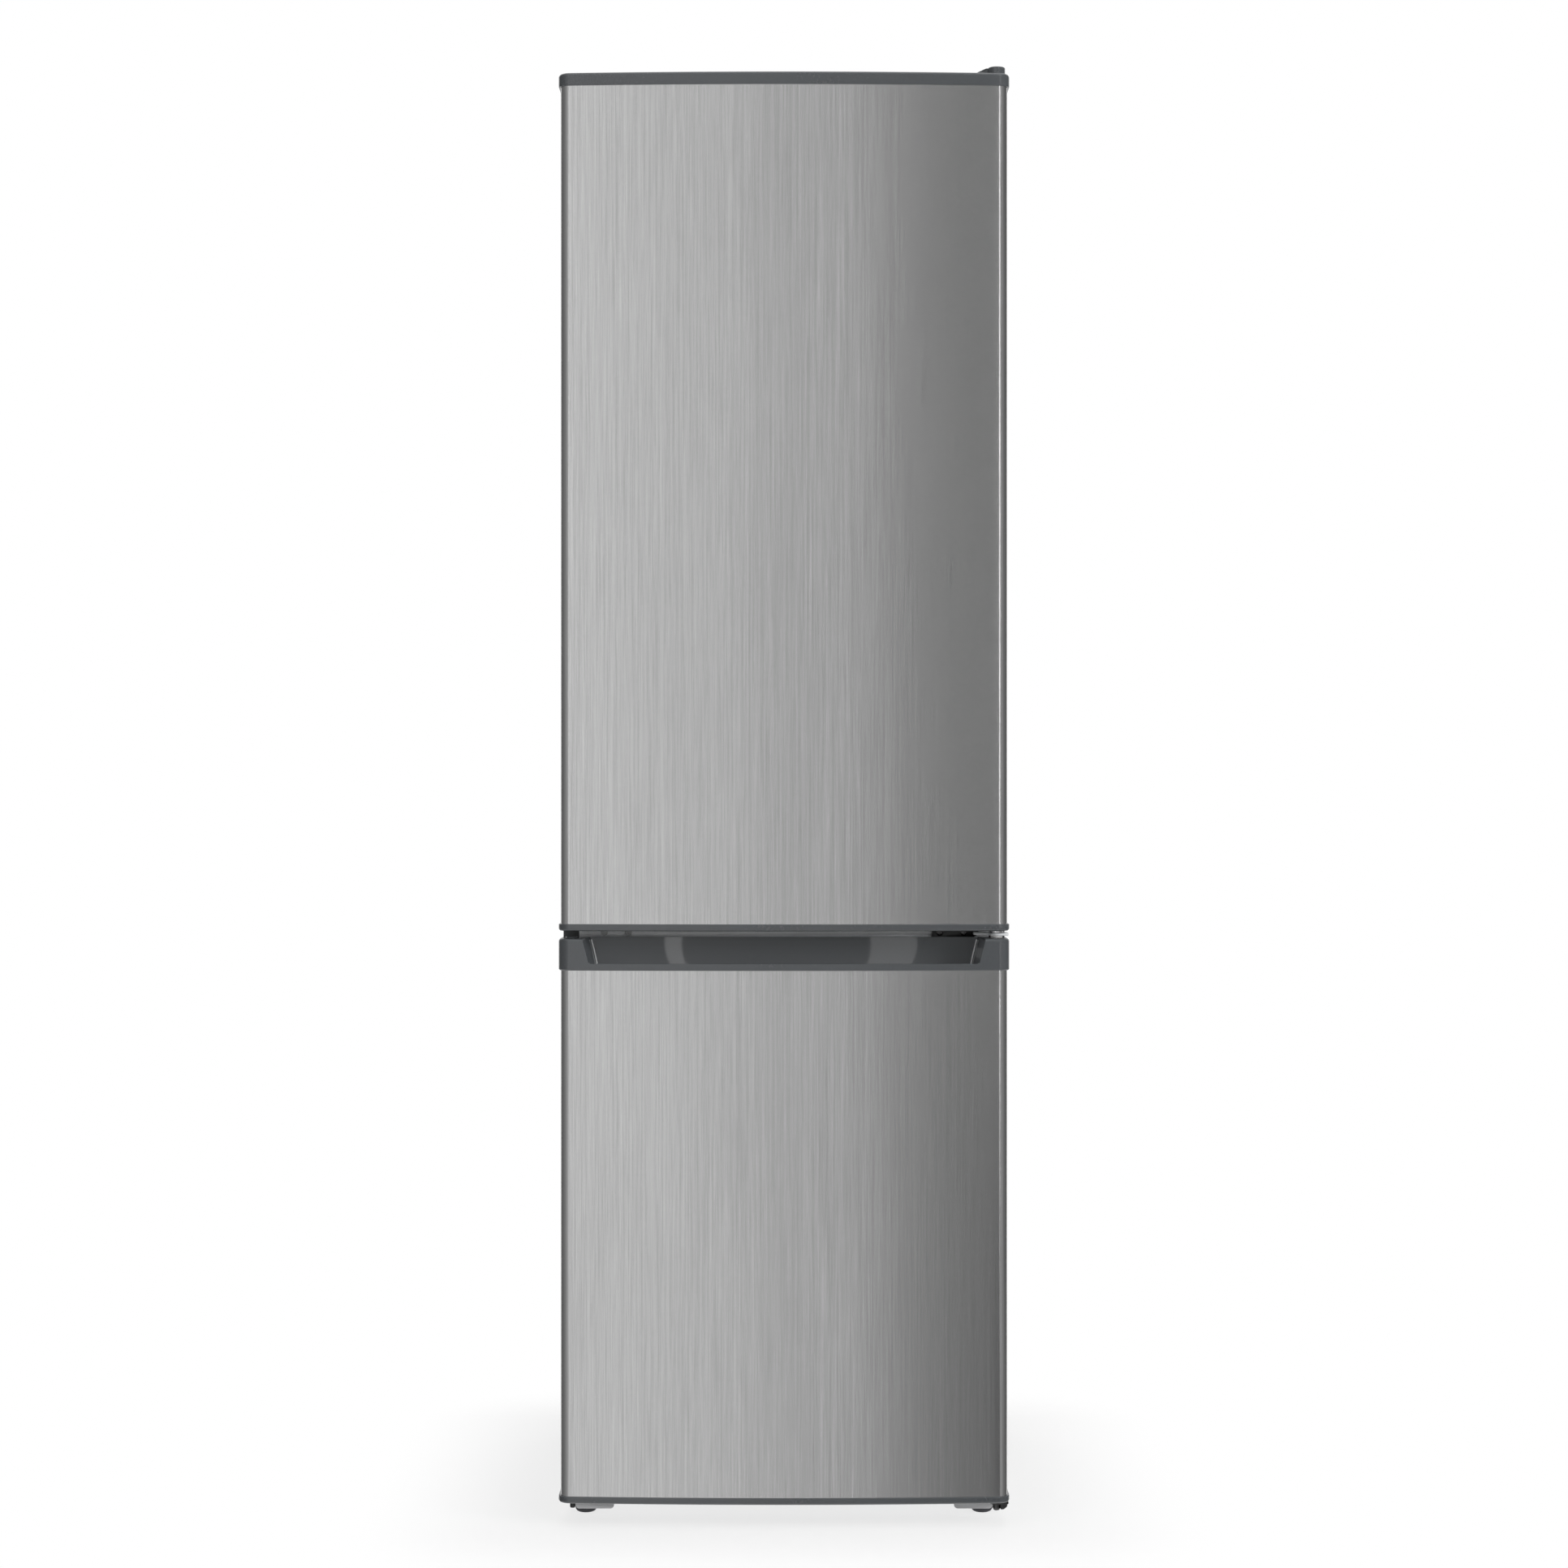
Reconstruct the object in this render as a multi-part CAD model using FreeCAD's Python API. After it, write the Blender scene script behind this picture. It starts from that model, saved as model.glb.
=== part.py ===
import FreeCAD, Part
import math
import os

# Fridge freezer with two doors, hinged on the right.
# X runs to the right, Y to the back, Z up; the floor is at zero.

# Whole appliance
overall_width = 550.0
overall_height = 1780.0
overall_depth = 580.0

# Cabinet heights and planes
cabinet_bottom = 27.0
cabinet_top_drop = 9.5
cap_overhang = 2.5
cap_front_overhang = 1.5
door_depth = 55.0
gasket_depth = 11.0
condenser_space = 28.0
steel_thickness = 1.2
steel_flange_width = 32.0
back_panel_thickness = 1.5
machine_bay_height = 208.0
machine_bay_depth = 190.0
bottom_rail_height = 58.0

# Gaps
seat_gap = 0.3
pin_clearance = 0.05
foot_clearance = 0.1

# Fridge compartment
fridge_side_wall = 42.0
fridge_top_wall = 46.0
fridge_back_wall = 45.0
fridge_floor = 750.0
liner_thickness = 2.0

# Freezer compartment
freezer_side_wall = 60.0
freezer_back_wall = 60.0
freezer_floor = 95.0
freezer_ceiling = 690.0
freezer_step_wall = 58.0
freezer_step_height = 192.0

# Strip between the two compartments
divider_rail_height = 39.0
divider_band_height = 18.0
divider_band_side_gap = 22.0
divider_band_thickness = 1.0
divider_plug_radius = 4.4
divider_plug_head = 1.6
spare_hole_plug_stem = 6.0
divider_plug_stem_radius = 2.6

# Doors
door_bow = 9.0
door_corner_radius = 12.0
door_skin_thickness = 1.0
door_return_width = 10.0
door_top_drop = 1.0
lower_door_bottom = 28.5
lower_door_top = 716.0
upper_door_bottom = 725.0
top_cap_height = 15.8
small_cap_height = 8.6
handle_cap_height = 39.0
cap_edge_radius = 4.0
cap_edge_bevel = 3.0
cap_lower_edge_radius = 2.5
door_liner_sheet = 1.5
door_liner_inset = 4.0

# Handle recess in the top of the lower door
recess_lip_height = 8.4
recess_lip_depth = 13.0
recess_back_wall = 8.0
recess_trough_depth = 26.0
recess_trough_wall = 5.0
recess_top_side = 28.0
recess_bottom_side = 36.0
recess_end_draft = 8.5
recess_scoop_lean = 5.0
recess_body_side = 17.0
recess_body_inset = 3.0
recess_lip_round = 2.0
recess_edge_radius = 1.5

# Door gaskets
gasket_edge_inset = 6.0
gasket_side_inset = 14.5
gasket_width = 16.0
gasket_base_height = 3.0
gasket_head_height = 3.2
gasket_neck_inset = 4.0
gasket_base_inset = 2.0

# Inner door mouldings
door_ring_clearance = 9.0
door_ring_width = 21.5
door_ring_depth = 57.0
freezer_panel_clearance = 22.0
freezer_panel_end_clearance = 15.0
freezer_panel_depth = 12.0

# Door balconies
balcony_floor_shares = (0.02, 0.355, 0.685)
balcony_heights = (112.0, 84.0, 84.0)
balcony_reach = 103.0
balcony_taper = 7.0
balcony_wall = 2.4
balcony_rim = 2.0
balcony_ledge_width = 11.0
balcony_ledge_height = 8.0
balcony_ledge_front = 20.0
balcony_ledge_length = 32.0

# Hinges
pin_radius = 4.0
pin_from_side = 15.0
pin_from_front = 31.0
hinge_plate_thickness = 3.0
hinge_washer_radius = 7.5
upper_pin_drop = 15.0
top_plate_left_reach = 10.0
top_plate_nose_radius = 7.5
top_plate_length = 83.0
top_cover_front_radius = 10.5
top_cover_left_reach = 25.0
top_cover_right_reach = 10.5
top_cover_end_reach = 8.0
top_cover_wall = 2.0
top_cover_ramp_width = 13.0
top_cover_ramp_drop = 6.0
top_cover_edge_radius = 1.8
middle_leaf_above_door = 2.5
middle_leaf_thickness = 3.5
middle_leaf_left_reach = 27.0
hinge_leaf_side_gap = 0.5
hinge_nose_radius = 9.0
hinge_nose_sides = 16
hinge_lug_front = 6.0
hinge_lug_back = 24.0
middle_pin_reach = 16.0
middle_plate_width = 57.4
middle_plate_from_pin = 20.0
middle_plate_height = 16.0
middle_plate_rise = 0.5
bottom_leaf_left_reach = 12.0
bottom_pin_bottom = 10.0
bottom_pin_length = 35.0
bracket_side_gap = 4.0
bracket_width = 66.0
bracket_length = 80.0
bracket_front_gap = 5.0
bracket_flange_width = 47.9
bracket_flange_side = 13.4
bracket_flange_bottom = 12.0
bracket_flange_corner = 5.0
bracket_lug_width = 6.6

# Screws
screw_head_radius = 4.4
screw_head_height = 2.4
screw_stem_radius = 2.4
screw_head_sides = 12
screw_stem_sides = 6
middle_screw_inset = 9.4
middle_screw_spacing = 30.0
top_screw_first = 53.0
top_screw_spacing = 18.0
bottom_screw_insets = ((51.0, 25.0), (31.0, 62.0))

# Levelling feet
foot_from_side = 25.0
foot_from_front = 30.0
foot_sides = 20
foot_radius = 13.5
foot_disc_height = 7.0
foot_stem_radius = 5.0
foot_collar_radius = 8.0
foot_collar_top = 11.0
foot_stem_gap = 0.5

# Rear rollers and the rail that carries the compressor
rail_bottom = 40.0
rail_thickness = 2.0
rail_width = 138.0
rail_back_gap = 12.0
rail_lip_height = 10.0
rail_end_height = 50.0
roller_from_side = 40.0
roller_from_back = 47.0
roller_radius = 18.0
roller_sides = 24
roller_width = 18.0
roller_side_gap = 1.0
roller_axle_radius = 4.0
roller_cheek_thickness = 2.0
roller_cheek_half_length = 12.0
roller_cheek_below_axle = 9.0

# Compressor
compressor_x = 70.0
compressor_from_back = 94.0
compressor_radius = 76.0
compressor_sides = 32
compressor_height = 148.0
compressor_seam_radius = 81.0
compressor_seam_height = 5.0
compressor_foot_half_length = 102.0
compressor_foot_half_width = 52.0
compressor_foot_thickness = 3.0
compressor_body_shares = ((0.8, 0.0), (1.0, 0.14), (1.0, 0.52))
compressor_dome_shares = ((1.0, 0.555), (0.96, 0.8), (0.68, 1.0))
grommet_sides = 8
grommet_radius = 9.0
grommet_neck_radius = 6.0
grommet_height = 10.0
grommet_head_height = 4.0
grommet_head_radius = 8.0
grommet_inset = 12.0
relay_depth = 34.0
relay_width = 58.0
relay_height = 60.0
relay_above_foot = 12.0
relay_edge_bevel = 5.0
drip_tray_half_length = 72.0
drip_tray_half_width = 60.0
drip_tray_behind_middle = 16.0
drip_tray_height = 18.0
drip_tray_taper = 4.0
drip_tray_wall = 2.0

# Drain from the fridge compartment to the drip tray
drain_across = 12.0
drain_behind_liner = 12.0
drain_foam_gap = 1.0
drain_way_sides = 8
drain_above_floor = 22.0
drain_end_above_tray = 6.0

# Condenser on the back
condenser_tube_across = 4.8
condenser_wire_across = 1.6
condenser_side_gap = 39.0
condenser_bottom = 372.0
condenser_pitch = 58.0
condenser_top_gap = 160.0
condenser_wire_count = 26
condenser_wire_overhang = 16.0
condenser_lead_inset = 46.0
condenser_port_height = 64.0
clip_half_width = 9.0
clip_height = 12.0
clip_inset = 36.0
clip_height_shares = (0.048, 0.524, 0.976)

# Pipes in the machine bay
pipe_across = 6.0
pipe_bend = 16.0
liquid_line_side_gap = 21.0
drier_radius = 9.0
drier_length = 92.0
drier_height = 84.0
drier_from_back = 26.0
drier_x = -120.0
liquid_line_turn = 200.0
suction_port_height = 96.0
suction_x = -60.0
suction_from_back = 47.0

# Evaporator shelves in the freezer
evaporator_ledge_tops = (296.0, 480.0, 664.0)
freezer_ledge_width = 10.0
freezer_ledge_height = 8.0
freezer_ledge_setback = 32.0
evaporator_tube_across = 8.0
evaporator_side_gap = 4.5
evaporator_setback = 40.0
evaporator_back_gap = 14.0
evaporator_run_count = 6
evaporator_wire_across = 1.8
evaporator_wire_count = 13
evaporator_wire_side_inset = 16.0
evaporator_wire_overhang = 6.0

# Freezer drawers
drawer_setback = 19.0
drawer_front_thickness = 6.0
drawer_side_gap = 7.5
drawer_back_gap = 10.0
drawer_height = 160.0
bottom_drawer_height = 186.0
drawer_taper = 6.0
drawer_wall = 2.6
drawer_rim = 3.0
grip_half_width = 90.0
grip_height = 26.0
grip_depth = 14.0
grip_drop = 34.0
grip_wall = 2.4

# Shelves and crisper in the fridge
shelf_height_shares = (0.255, 0.508, 0.762)
crisper_cover_gap = 18.7
glass_thickness = 4.0
glass_side_gap = 1.0
glass_setback = 134.0
glass_back_gap = 5.0
shelf_rib_width = 8.0
shelf_rib_height = 6.0
shelf_rib_setback = 8.0
trim_depth = 12.0
trim_front_reach = 5.0
trim_lip = 2.2
crisper_forward = 2.0
crisper_back_gap = 67.0
crisper_side_gap = 25.5
crisper_height = 186.0
crisper_taper = 9.0
crisper_wall = 2.6
crisper_rim = 4.0

# Ceiling control housing
housing_half_width = 140.0
housing_setback = 59.0
housing_depth = 205.0
housing_height = 40.0
housing_edge_radius = 6.0
lamp_sides = 12
lamp_bay_inset = 28.0
lamp_bay_width = 140.0
lamp_bay_front_wall = 25.0
lamp_bay_back_wall = 20.0
lamp_bay_depth = 30.0
lamp_cover_drop = 8.0
lamp_cover_wall = 1.6
lamp_radius = 11.0
lamp_length = 62.0
lamp_neck_radius = 8.0
lamp_neck_length = 24.0
knob_inset = 48.0
knob_behind_front = 53.0
knob_sides = 20
knob_radius = 15.0
knob_height = 12.0
knob_disc_height = 4.0
knob_bar_half_width = 3.0
knob_bar_reach = 13.0
knob_stem_radius = 4.0
knob_stem_length = 8.0
switch_from_lamp = 12.0
switch_below_ceiling = 21.5
switch_radius = 4.0
switch_hole_depth = 22.0
switch_tail = 8.0

# Small shapes
bend_steps = 2
overrun = 5.0

# Planes and levels that follow from the sizes above
half_width = overall_width / 2
front_y = -overall_depth / 2
back_y = overall_depth / 2
cabinet_back = back_y - condenser_space
skin_half_width = half_width - cap_overhang
cabinet_top = overall_height - cabinet_top_drop
upper_door_top = cabinet_top - door_top_drop
door_back = front_y + door_depth
cabinet_front = door_back + gasket_depth
steel_inside = skin_half_width - steel_thickness
foam_front = cabinet_front + steel_thickness
flange_inside = skin_half_width - steel_flange_width
fridge_half_width = skin_half_width - fridge_side_wall
fridge_ceiling = cabinet_top - fridge_top_wall
fridge_back = cabinet_back - fridge_back_wall
freezer_half_width = skin_half_width - freezer_side_wall
freezer_back = cabinet_back - freezer_back_wall
freezer_step_top = freezer_floor + freezer_step_height
flange_overlap = flange_inside - fridge_half_width
pan_top = cabinet_bottom + machine_bay_height
bay_front = cabinet_back - machine_bay_depth
freezer_step_y = bay_front - freezer_step_wall
pin_x = half_width - pin_from_side
pin_y = front_y + pin_from_front
gasket_face = cabinet_front - seat_gap
liner_face = door_back + door_liner_sheet
ring_face = door_back + door_ring_depth
condenser_y = back_y - condenser_tube_across / 2 - condenser_wire_across
back_panel_face = cabinet_back + back_panel_thickness
rail_top = rail_bottom + rail_thickness
compressor_base = rail_top + grommet_height
divider_face = cabinet_front - divider_band_thickness
housing_bottom = fridge_ceiling - housing_height
divider_middle = (lower_door_top + upper_door_bottom) / 2
divider_band_half_width = half_width - divider_band_side_gap
middle_plate_middle = divider_middle + middle_plate_rise
middle_plate_right = pin_x - middle_plate_from_pin
middle_plate_left = middle_plate_right - middle_plate_width
middle_screw_x = (middle_plate_left + middle_screw_inset,
                  middle_plate_left + middle_screw_inset + middle_screw_spacing)
middle_leaf_bottom = lower_door_top + middle_leaf_above_door
hinge_leaf_right = half_width - hinge_leaf_side_gap
bracket_front_y = cabinet_front - bracket_front_gap
bracket_outer = half_width - bracket_side_gap
foot_x = bracket_outer - foot_from_side
foot_y = bracket_front_y + foot_from_front
rail_back = cabinet_back - rail_back_gap
roller_x = half_width - roller_from_side
roller_y = cabinet_back - roller_from_back
compressor_y = cabinet_back - compressor_from_back
compressor_side = compressor_radius * math.cos(math.pi / compressor_sides)
drain_y = fridge_back + drain_behind_liner
drain_top = fridge_floor + drain_above_floor
drain_bend = drain_across / 2 + drain_foam_gap
condenser_half_width = half_width - condenser_side_gap
condenser_run_count = 2 + 2 * int((cabinet_top - condenser_top_gap - condenser_bottom) / condenser_pitch / 2)
condenser_top = condenser_bottom + (condenser_run_count - 1) * condenser_pitch
liquid_line_x = half_width - liquid_line_side_gap
drier_y = cabinet_back - drier_from_back
suction_y = cabinet_back - suction_from_back
freezer_ledge_front = cabinet_front + freezer_ledge_setback
evaporator_half_width = freezer_half_width - evaporator_side_gap
evaporator_front = cabinet_front + evaporator_setback
evaporator_pitch = (freezer_back - evaporator_back_gap - evaporator_front) / (evaporator_run_count - 1)
drawer_front = cabinet_front + drawer_setback
glass_front = cabinet_front + glass_setback
shelf_rib_front = glass_front + shelf_rib_setback
crisper_front = glass_front - crisper_forward
crisper_back = fridge_back - crisper_back_gap
crisper_cover_height = fridge_floor + crisper_height + crisper_cover_gap
shelf_heights = tuple(crisper_cover_height + share * (housing_bottom - crisper_cover_height)
                      for share in shelf_height_shares)
housing_front = cabinet_front + housing_setback
housing_back = housing_front + housing_depth
lamp_bay_front = housing_front + lamp_bay_front_wall
lamp_bay_back = housing_back - lamp_bay_back_wall
lamp_y = (lamp_bay_front + lamp_bay_back) / 2
lamp_bay_left = lamp_bay_inset - housing_half_width
lamp_bay_right = lamp_bay_left + lamp_bay_width
knob_x = housing_half_width - knob_inset
knob_y = housing_front + knob_behind_front
switch_x = lamp_bay_right + switch_from_lamp
switch_height = fridge_ceiling - switch_below_ceiling
recess_top_half_width = half_width - recess_top_side
recess_bottom_half_width = half_width - recess_bottom_side
recess_body_half_width = half_width - recess_body_side


def block(x0, x1, y0, y1, z0, z1):
    """Box between two corners."""
    return Part.makeBox(x1 - x0, y1 - y0, z1 - z0, FreeCAD.Vector(x0, y0, z0))


def wide_block(half, y0, y1, z0, z1):
    """Box that is centred in X."""
    return block(-half, half, y0, y1, z0, z1)


def rod(x, y, z, radius, length, direction):
    """Round bar from a point along a direction."""
    return Part.makeCylinder(radius, length, FreeCAD.Vector(x, y, z), direction)


def up():
    return FreeCAD.Vector(0, 0, 1)


def turned(outline, start, direction, sides):
    """Many-sided turned piece, outline given as radius and place along the axis."""
    across = FreeCAD.Vector(direction.z, direction.x, direction.y)
    upward = direction.cross(across)
    rings = []
    for radius, along in outline:
        ring = []
        for index in range(sides):
            angle = 2 * math.pi * (index + 1 / 2) / sides
            spoke = across * math.cos(angle) + upward * math.sin(angle)
            ring.append(start + direction * along + spoke * radius)
        rings.append(ring)
    return skinned(rings)


def bar(start, radius, length, direction, sides):
    """Straight many-sided bar."""
    return turned([(radius, 0), (radius, length)], start, direction, sides)


def clear_bar(start, radius, length, direction, sides):
    """Many-sided bar with room for a round one inside it."""
    return bar(start, radius / math.cos(math.pi / sides), length, direction, sides)


def mirrored(shape):
    """Same shape on the other side of the middle plane."""
    return shape.mirror(FreeCAD.Vector(0, 0, 0), FreeCAD.Vector(1, 0, 0))


def both_sides(shape):
    return [shape, mirrored(shape)]


def side_profile(outline, x0, x1):
    """Profile drawn in Y and Z, drawn out along X."""
    points = [FreeCAD.Vector(x0, y, z) for y, z in outline]
    face = Part.Face(Part.makePolygon(points + points[:1]))
    return face.extrude(FreeCAD.Vector(x1 - x0, 0, 0))


def rounded(shape, radius, choose):
    """Round the edges that a rule picks out."""
    return shape.makeFillet(radius, [edge for edge in shape.Edges if choose(edge.BoundBox)])


def chamfered(shape, size, choose):
    """Bevel the edges that a rule picks out."""
    return shape.makeChamfer(size, [edge for edge in shape.Edges if choose(edge.BoundBox)])


def flat(length):
    """True where a length is nothing beside the whole appliance."""
    return abs(length) < overall_height / 1e6


def upright(box):
    return flat(box.XLength) and flat(box.YLength)


def skinned(rings):
    """Solid with flat faces between matching rings of points and a face at each end."""
    loops = [rings[0], rings[-1]]
    for low, high in zip(rings, rings[1:]):
        for index in range(len(low)):
            loops.append([low[index - 1], low[index], high[index], high[index - 1]])
    shell = Part.makeShell([Part.Face(Part.makePolygon(loop + loop[:1])) for loop in loops])
    shell.sewShape()
    solid = Part.makeSolid(shell)
    return solid.reversed() if solid.Volume < 0 else solid


# Tubes and wires

def rounded_path(corners, radius):
    """Points along a bent tube, each bend laid out in short straight steps."""
    path = [corners[0]]
    for before, corner, after in zip(corners, corners[1:], corners[2:]):
        inward = (before - corner).normalize()
        outward = (after - corner).normalize()
        half_angle = inward.getAngle(outward) / 2
        middle = (inward + outward).normalize()
        centre = corner + middle * (radius / math.sin(half_angle))
        start = corner + inward * (radius / math.tan(half_angle)) - centre
        end = corner + outward * (radius / math.tan(half_angle)) - centre
        sweep = math.pi - 2 * half_angle
        for step in range(bend_steps + 1):
            turn = sweep * step / bend_steps
            mix = start * math.sin(sweep - turn) + end * math.sin(turn)
            path.append(centre + mix * (1 / math.sin(sweep)))
    path.append(corners[-1])
    return [point for point, last in zip(path, [None] + path)
            if last is None or not flat((point - last).Length)]


def tube(corners, across, radius, flat_side):
    """Six-sided tube with mitred bends, one flat turned to a given side."""
    path = rounded_path(corners, radius)
    along = (path[1] - path[0]).normalize()
    sideways = along.cross(flat_side)
    reach = across / 2 / math.cos(math.pi / 6)
    ring = []
    for index in range(6):
        angle = math.pi * (2 * index + 1) / 6
        ring.append(path[0] + flat_side * (reach * math.cos(angle)) + sideways * (reach * math.sin(angle)))
    rings = [ring]
    for before, here, after in zip(path, path[1:], path[2:] + [path[-1] * 2 - path[-2]]):
        along = (here - before).normalize()
        normal = along + (after - here).normalize()
        ring = [point + along * ((here - point).dot(normal) / along.dot(normal)) for point in ring]
        rings.append(ring)
    return skinned(rings)


def wire(x, y, z, across, run):
    """Straight wire, drawn square, from its start along X, Y or Z."""
    half = across / 2
    low = [start - (0 if length else half) for start, length in zip((x, y, z), run)]
    high = [start + (length or half) for start, length in zip((x, y, z), run)]
    return block(low[0], high[0], low[1], high[1], low[2], high[2])


def tray(half, y0, y1, z0, z1, taper, wall, rim):
    """Open moulded tub, narrower at the bottom, with a turned-out rim."""
    def shell(inset, low, high):
        def loop(z):
            grow = taper * (z1 - z) / (z1 - z0) + inset
            return [FreeCAD.Vector(-half + grow, y0 + grow, z), FreeCAD.Vector(half - grow, y0 + grow, z),
                    FreeCAD.Vector(half - grow, y1 - grow, z), FreeCAD.Vector(-half + grow, y1 - grow, z)]
        return skinned([loop(low), loop(high)])
    body = shell(rim, z0, z1)
    lip = wide_block(half, y0, y1, z1 - wall, z1)
    return body.fuse(lip).cut(shell(rim + wall, z0 + wall, z1 + overrun)).removeSplitter()


# Screws of the hinges

def screw_spots():
    """Head seat, direction and stem length of every hinge screw; stems end in the steel behind."""
    plate = hinge_plate_thickness
    back = FreeCAD.Vector(0, 1, 0)
    spots = []
    for x in middle_screw_x:
        spots.append((FreeCAD.Vector(x, divider_face - plate, middle_plate_middle), back,
                      plate + divider_band_thickness + steel_thickness))
    for y in (pin_y + top_screw_first, pin_y + top_screw_first + top_screw_spacing):
        spots.append((FreeCAD.Vector(pin_x, y, cabinet_top + plate), up() * -1, plate + steel_thickness))
    for inward, backward in bottom_screw_insets:
        for side in (1, -1):
            seat = FreeCAD.Vector(side * (bracket_outer - inward), bracket_front_y + backward,
                                  cabinet_bottom - plate)
            spots.append((seat, up(), plate + steel_thickness))
    return spots


def drilled(shape):
    """Shape with the holes of the hinge screws."""
    stems = [bar(seat, screw_stem_radius, length, direction, screw_stem_sides)
             for seat, direction, length in screw_spots()]
    return shape.cut(stems[0].multiFuse(stems[1:]))


def hinge_screws():
    screws = []
    for seat, direction, length in screw_spots():
        head = bar(seat, screw_head_radius, screw_head_height, direction * -1, screw_head_sides)
        screws.append(head.fuse(bar(seat, screw_stem_radius, length, direction, screw_stem_sides)))
    return Part.makeCompound(screws)


# Cabinet

def fridge_space(grow):
    """Room of the fridge compartment, grown outward for the outside of its liner."""
    return wide_block(fridge_half_width + grow, cabinet_front - overrun, fridge_back + grow,
                      fridge_floor - grow, fridge_ceiling + grow)


def freezer_space(grow):
    """Room of the freezer compartment with the step over the machine bay."""
    whole = wide_block(freezer_half_width + grow, cabinet_front - overrun, freezer_back + grow,
                       freezer_floor - grow, freezer_ceiling + grow)
    step = wide_block(half_width, freezer_step_y + grow, cabinet_back,
                      freezer_floor - grow - overrun, freezer_step_top - grow)
    return whole.cut(step)


def cabinet_shell():
    outside = wide_block(skin_half_width, cabinet_front, cabinet_back, cabinet_bottom, cabinet_top)
    inside = wide_block(steel_inside, foam_front, cabinet_back + overrun,
                        cabinet_bottom - overrun, cabinet_top - steel_thickness)
    window = wide_block(flange_inside, cabinet_front - overrun, foam_front,
                        cabinet_bottom - overrun, fridge_ceiling + flange_overlap)
    return drilled(outside.cut(inside.fuse(window)))


def back_panel():
    return wide_block(skin_half_width, cabinet_back, back_panel_face, pan_top, cabinet_top)


def base_pan():
    whole = wide_block(steel_inside, foam_front, cabinet_back, cabinet_bottom, pan_top)
    above = wide_block(half_width, foam_front - overrun, bay_front,
                       cabinet_bottom + steel_thickness, pan_top + overrun)
    bay = wide_block(half_width, bay_front + steel_thickness, cabinet_back + overrun,
                     cabinet_bottom - overrun, pan_top - steel_thickness)
    rail = wide_block(flange_inside, cabinet_front, foam_front,
                      cabinet_bottom, cabinet_bottom + bottom_rail_height)
    pan = whole.cut(above.fuse(bay)).fuse(rail)
    return drilled(pan).cut(drain_way()).removeSplitter()


def cabinet_insulation():
    whole = wide_block(steel_inside, foam_front, cabinet_back,
                       cabinet_bottom + steel_thickness, cabinet_top - steel_thickness)
    bay = wide_block(half_width, bay_front, cabinet_back + overrun, 0, pan_top)
    foam = whole.cut(bay).cut(fridge_space(liner_thickness)).cut(freezer_space(liner_thickness))
    return foam.cut(drain_way())


def liner(space, half, bottom, top):
    """Moulded liner with the flange around its opening."""
    frame = wide_block(flange_inside, cabinet_front, foam_front, bottom - flange_overlap, top + flange_overlap)
    inside = space(0)
    trimmed = wide_block(half_width, cabinet_front, cabinet_back, 0, overall_height)
    return space(liner_thickness).common(trimmed).fuse(frame).cut(inside)


def fridge_liner():
    shell = liner(fridge_space, fridge_half_width, fridge_floor, fridge_ceiling)
    ribs = []
    for height in shelf_heights + (crisper_cover_height,):
        rib = block(fridge_half_width - shelf_rib_width, fridge_half_width, shelf_rib_front, fridge_back,
                    height - shelf_rib_height, height)
        ribs += both_sides(rib)
    return shell.multiFuse(ribs).cut(drain_way()).removeSplitter()


def freezer_liner():
    shell = liner(freezer_space, freezer_half_width, freezer_floor, freezer_ceiling)
    ledges = []
    for height in evaporator_ledge_tops:
        ledge = block(freezer_half_width - freezer_ledge_width, freezer_half_width,
                      freezer_ledge_front, freezer_back, height - freezer_ledge_height, height)
        ledges += both_sides(ledge)
    return shell.multiFuse(ledges).removeSplitter()


def divider_plug_stems():
    stems = [bar(FreeCAD.Vector(-x, divider_face, middle_plate_middle), divider_plug_stem_radius,
                 divider_band_thickness + steel_thickness, FreeCAD.Vector(0, 1, 0), screw_stem_sides)
             for x in middle_screw_x]
    return stems


def divider_strip():
    rail = wide_block(flange_inside, cabinet_front, foam_front,
                      divider_middle - divider_rail_height / 2, divider_middle + divider_rail_height / 2)
    band = wide_block(divider_band_half_width, divider_face, cabinet_front,
                      divider_middle - divider_band_height / 2, divider_middle + divider_band_height / 2)
    return drilled(rail.fuse(band)).cut(divider_plug_stems())


def divider_plugs():
    """Plugs in the two holes that the hinge would use on the other side."""
    plugs = []
    for x, stem in zip(middle_screw_x, divider_plug_stems()):
        head = bar(FreeCAD.Vector(-x, divider_face, middle_plate_middle), divider_plug_radius,
                   divider_plug_head, FreeCAD.Vector(0, -1, 0), screw_head_sides)
        plugs.append(head.fuse(stem))
    return Part.makeCompound(plugs)


# Hinges

def hinge_leaf(left, rear, bottom, thickness):
    """Flat leaf with a round nose about the pin and a lug at its outer side."""
    outline = [(left, rear), (left, pin_y + hinge_lug_back - hinge_nose_radius),
               (pin_x - hinge_nose_radius, pin_y), (hinge_leaf_right, pin_y - hinge_lug_front),
               (hinge_leaf_right, pin_y + hinge_lug_back), (pin_x + hinge_nose_radius, rear)]
    points = [FreeCAD.Vector(x, y, bottom) for x, y in outline]
    sheet = Part.Face(Part.makePolygon(points + points[:1])).extrude(up() * thickness)
    nose = bar(FreeCAD.Vector(pin_x, pin_y, bottom), hinge_nose_radius, thickness, up(), hinge_nose_sides)
    return sheet.fuse(nose)


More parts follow.
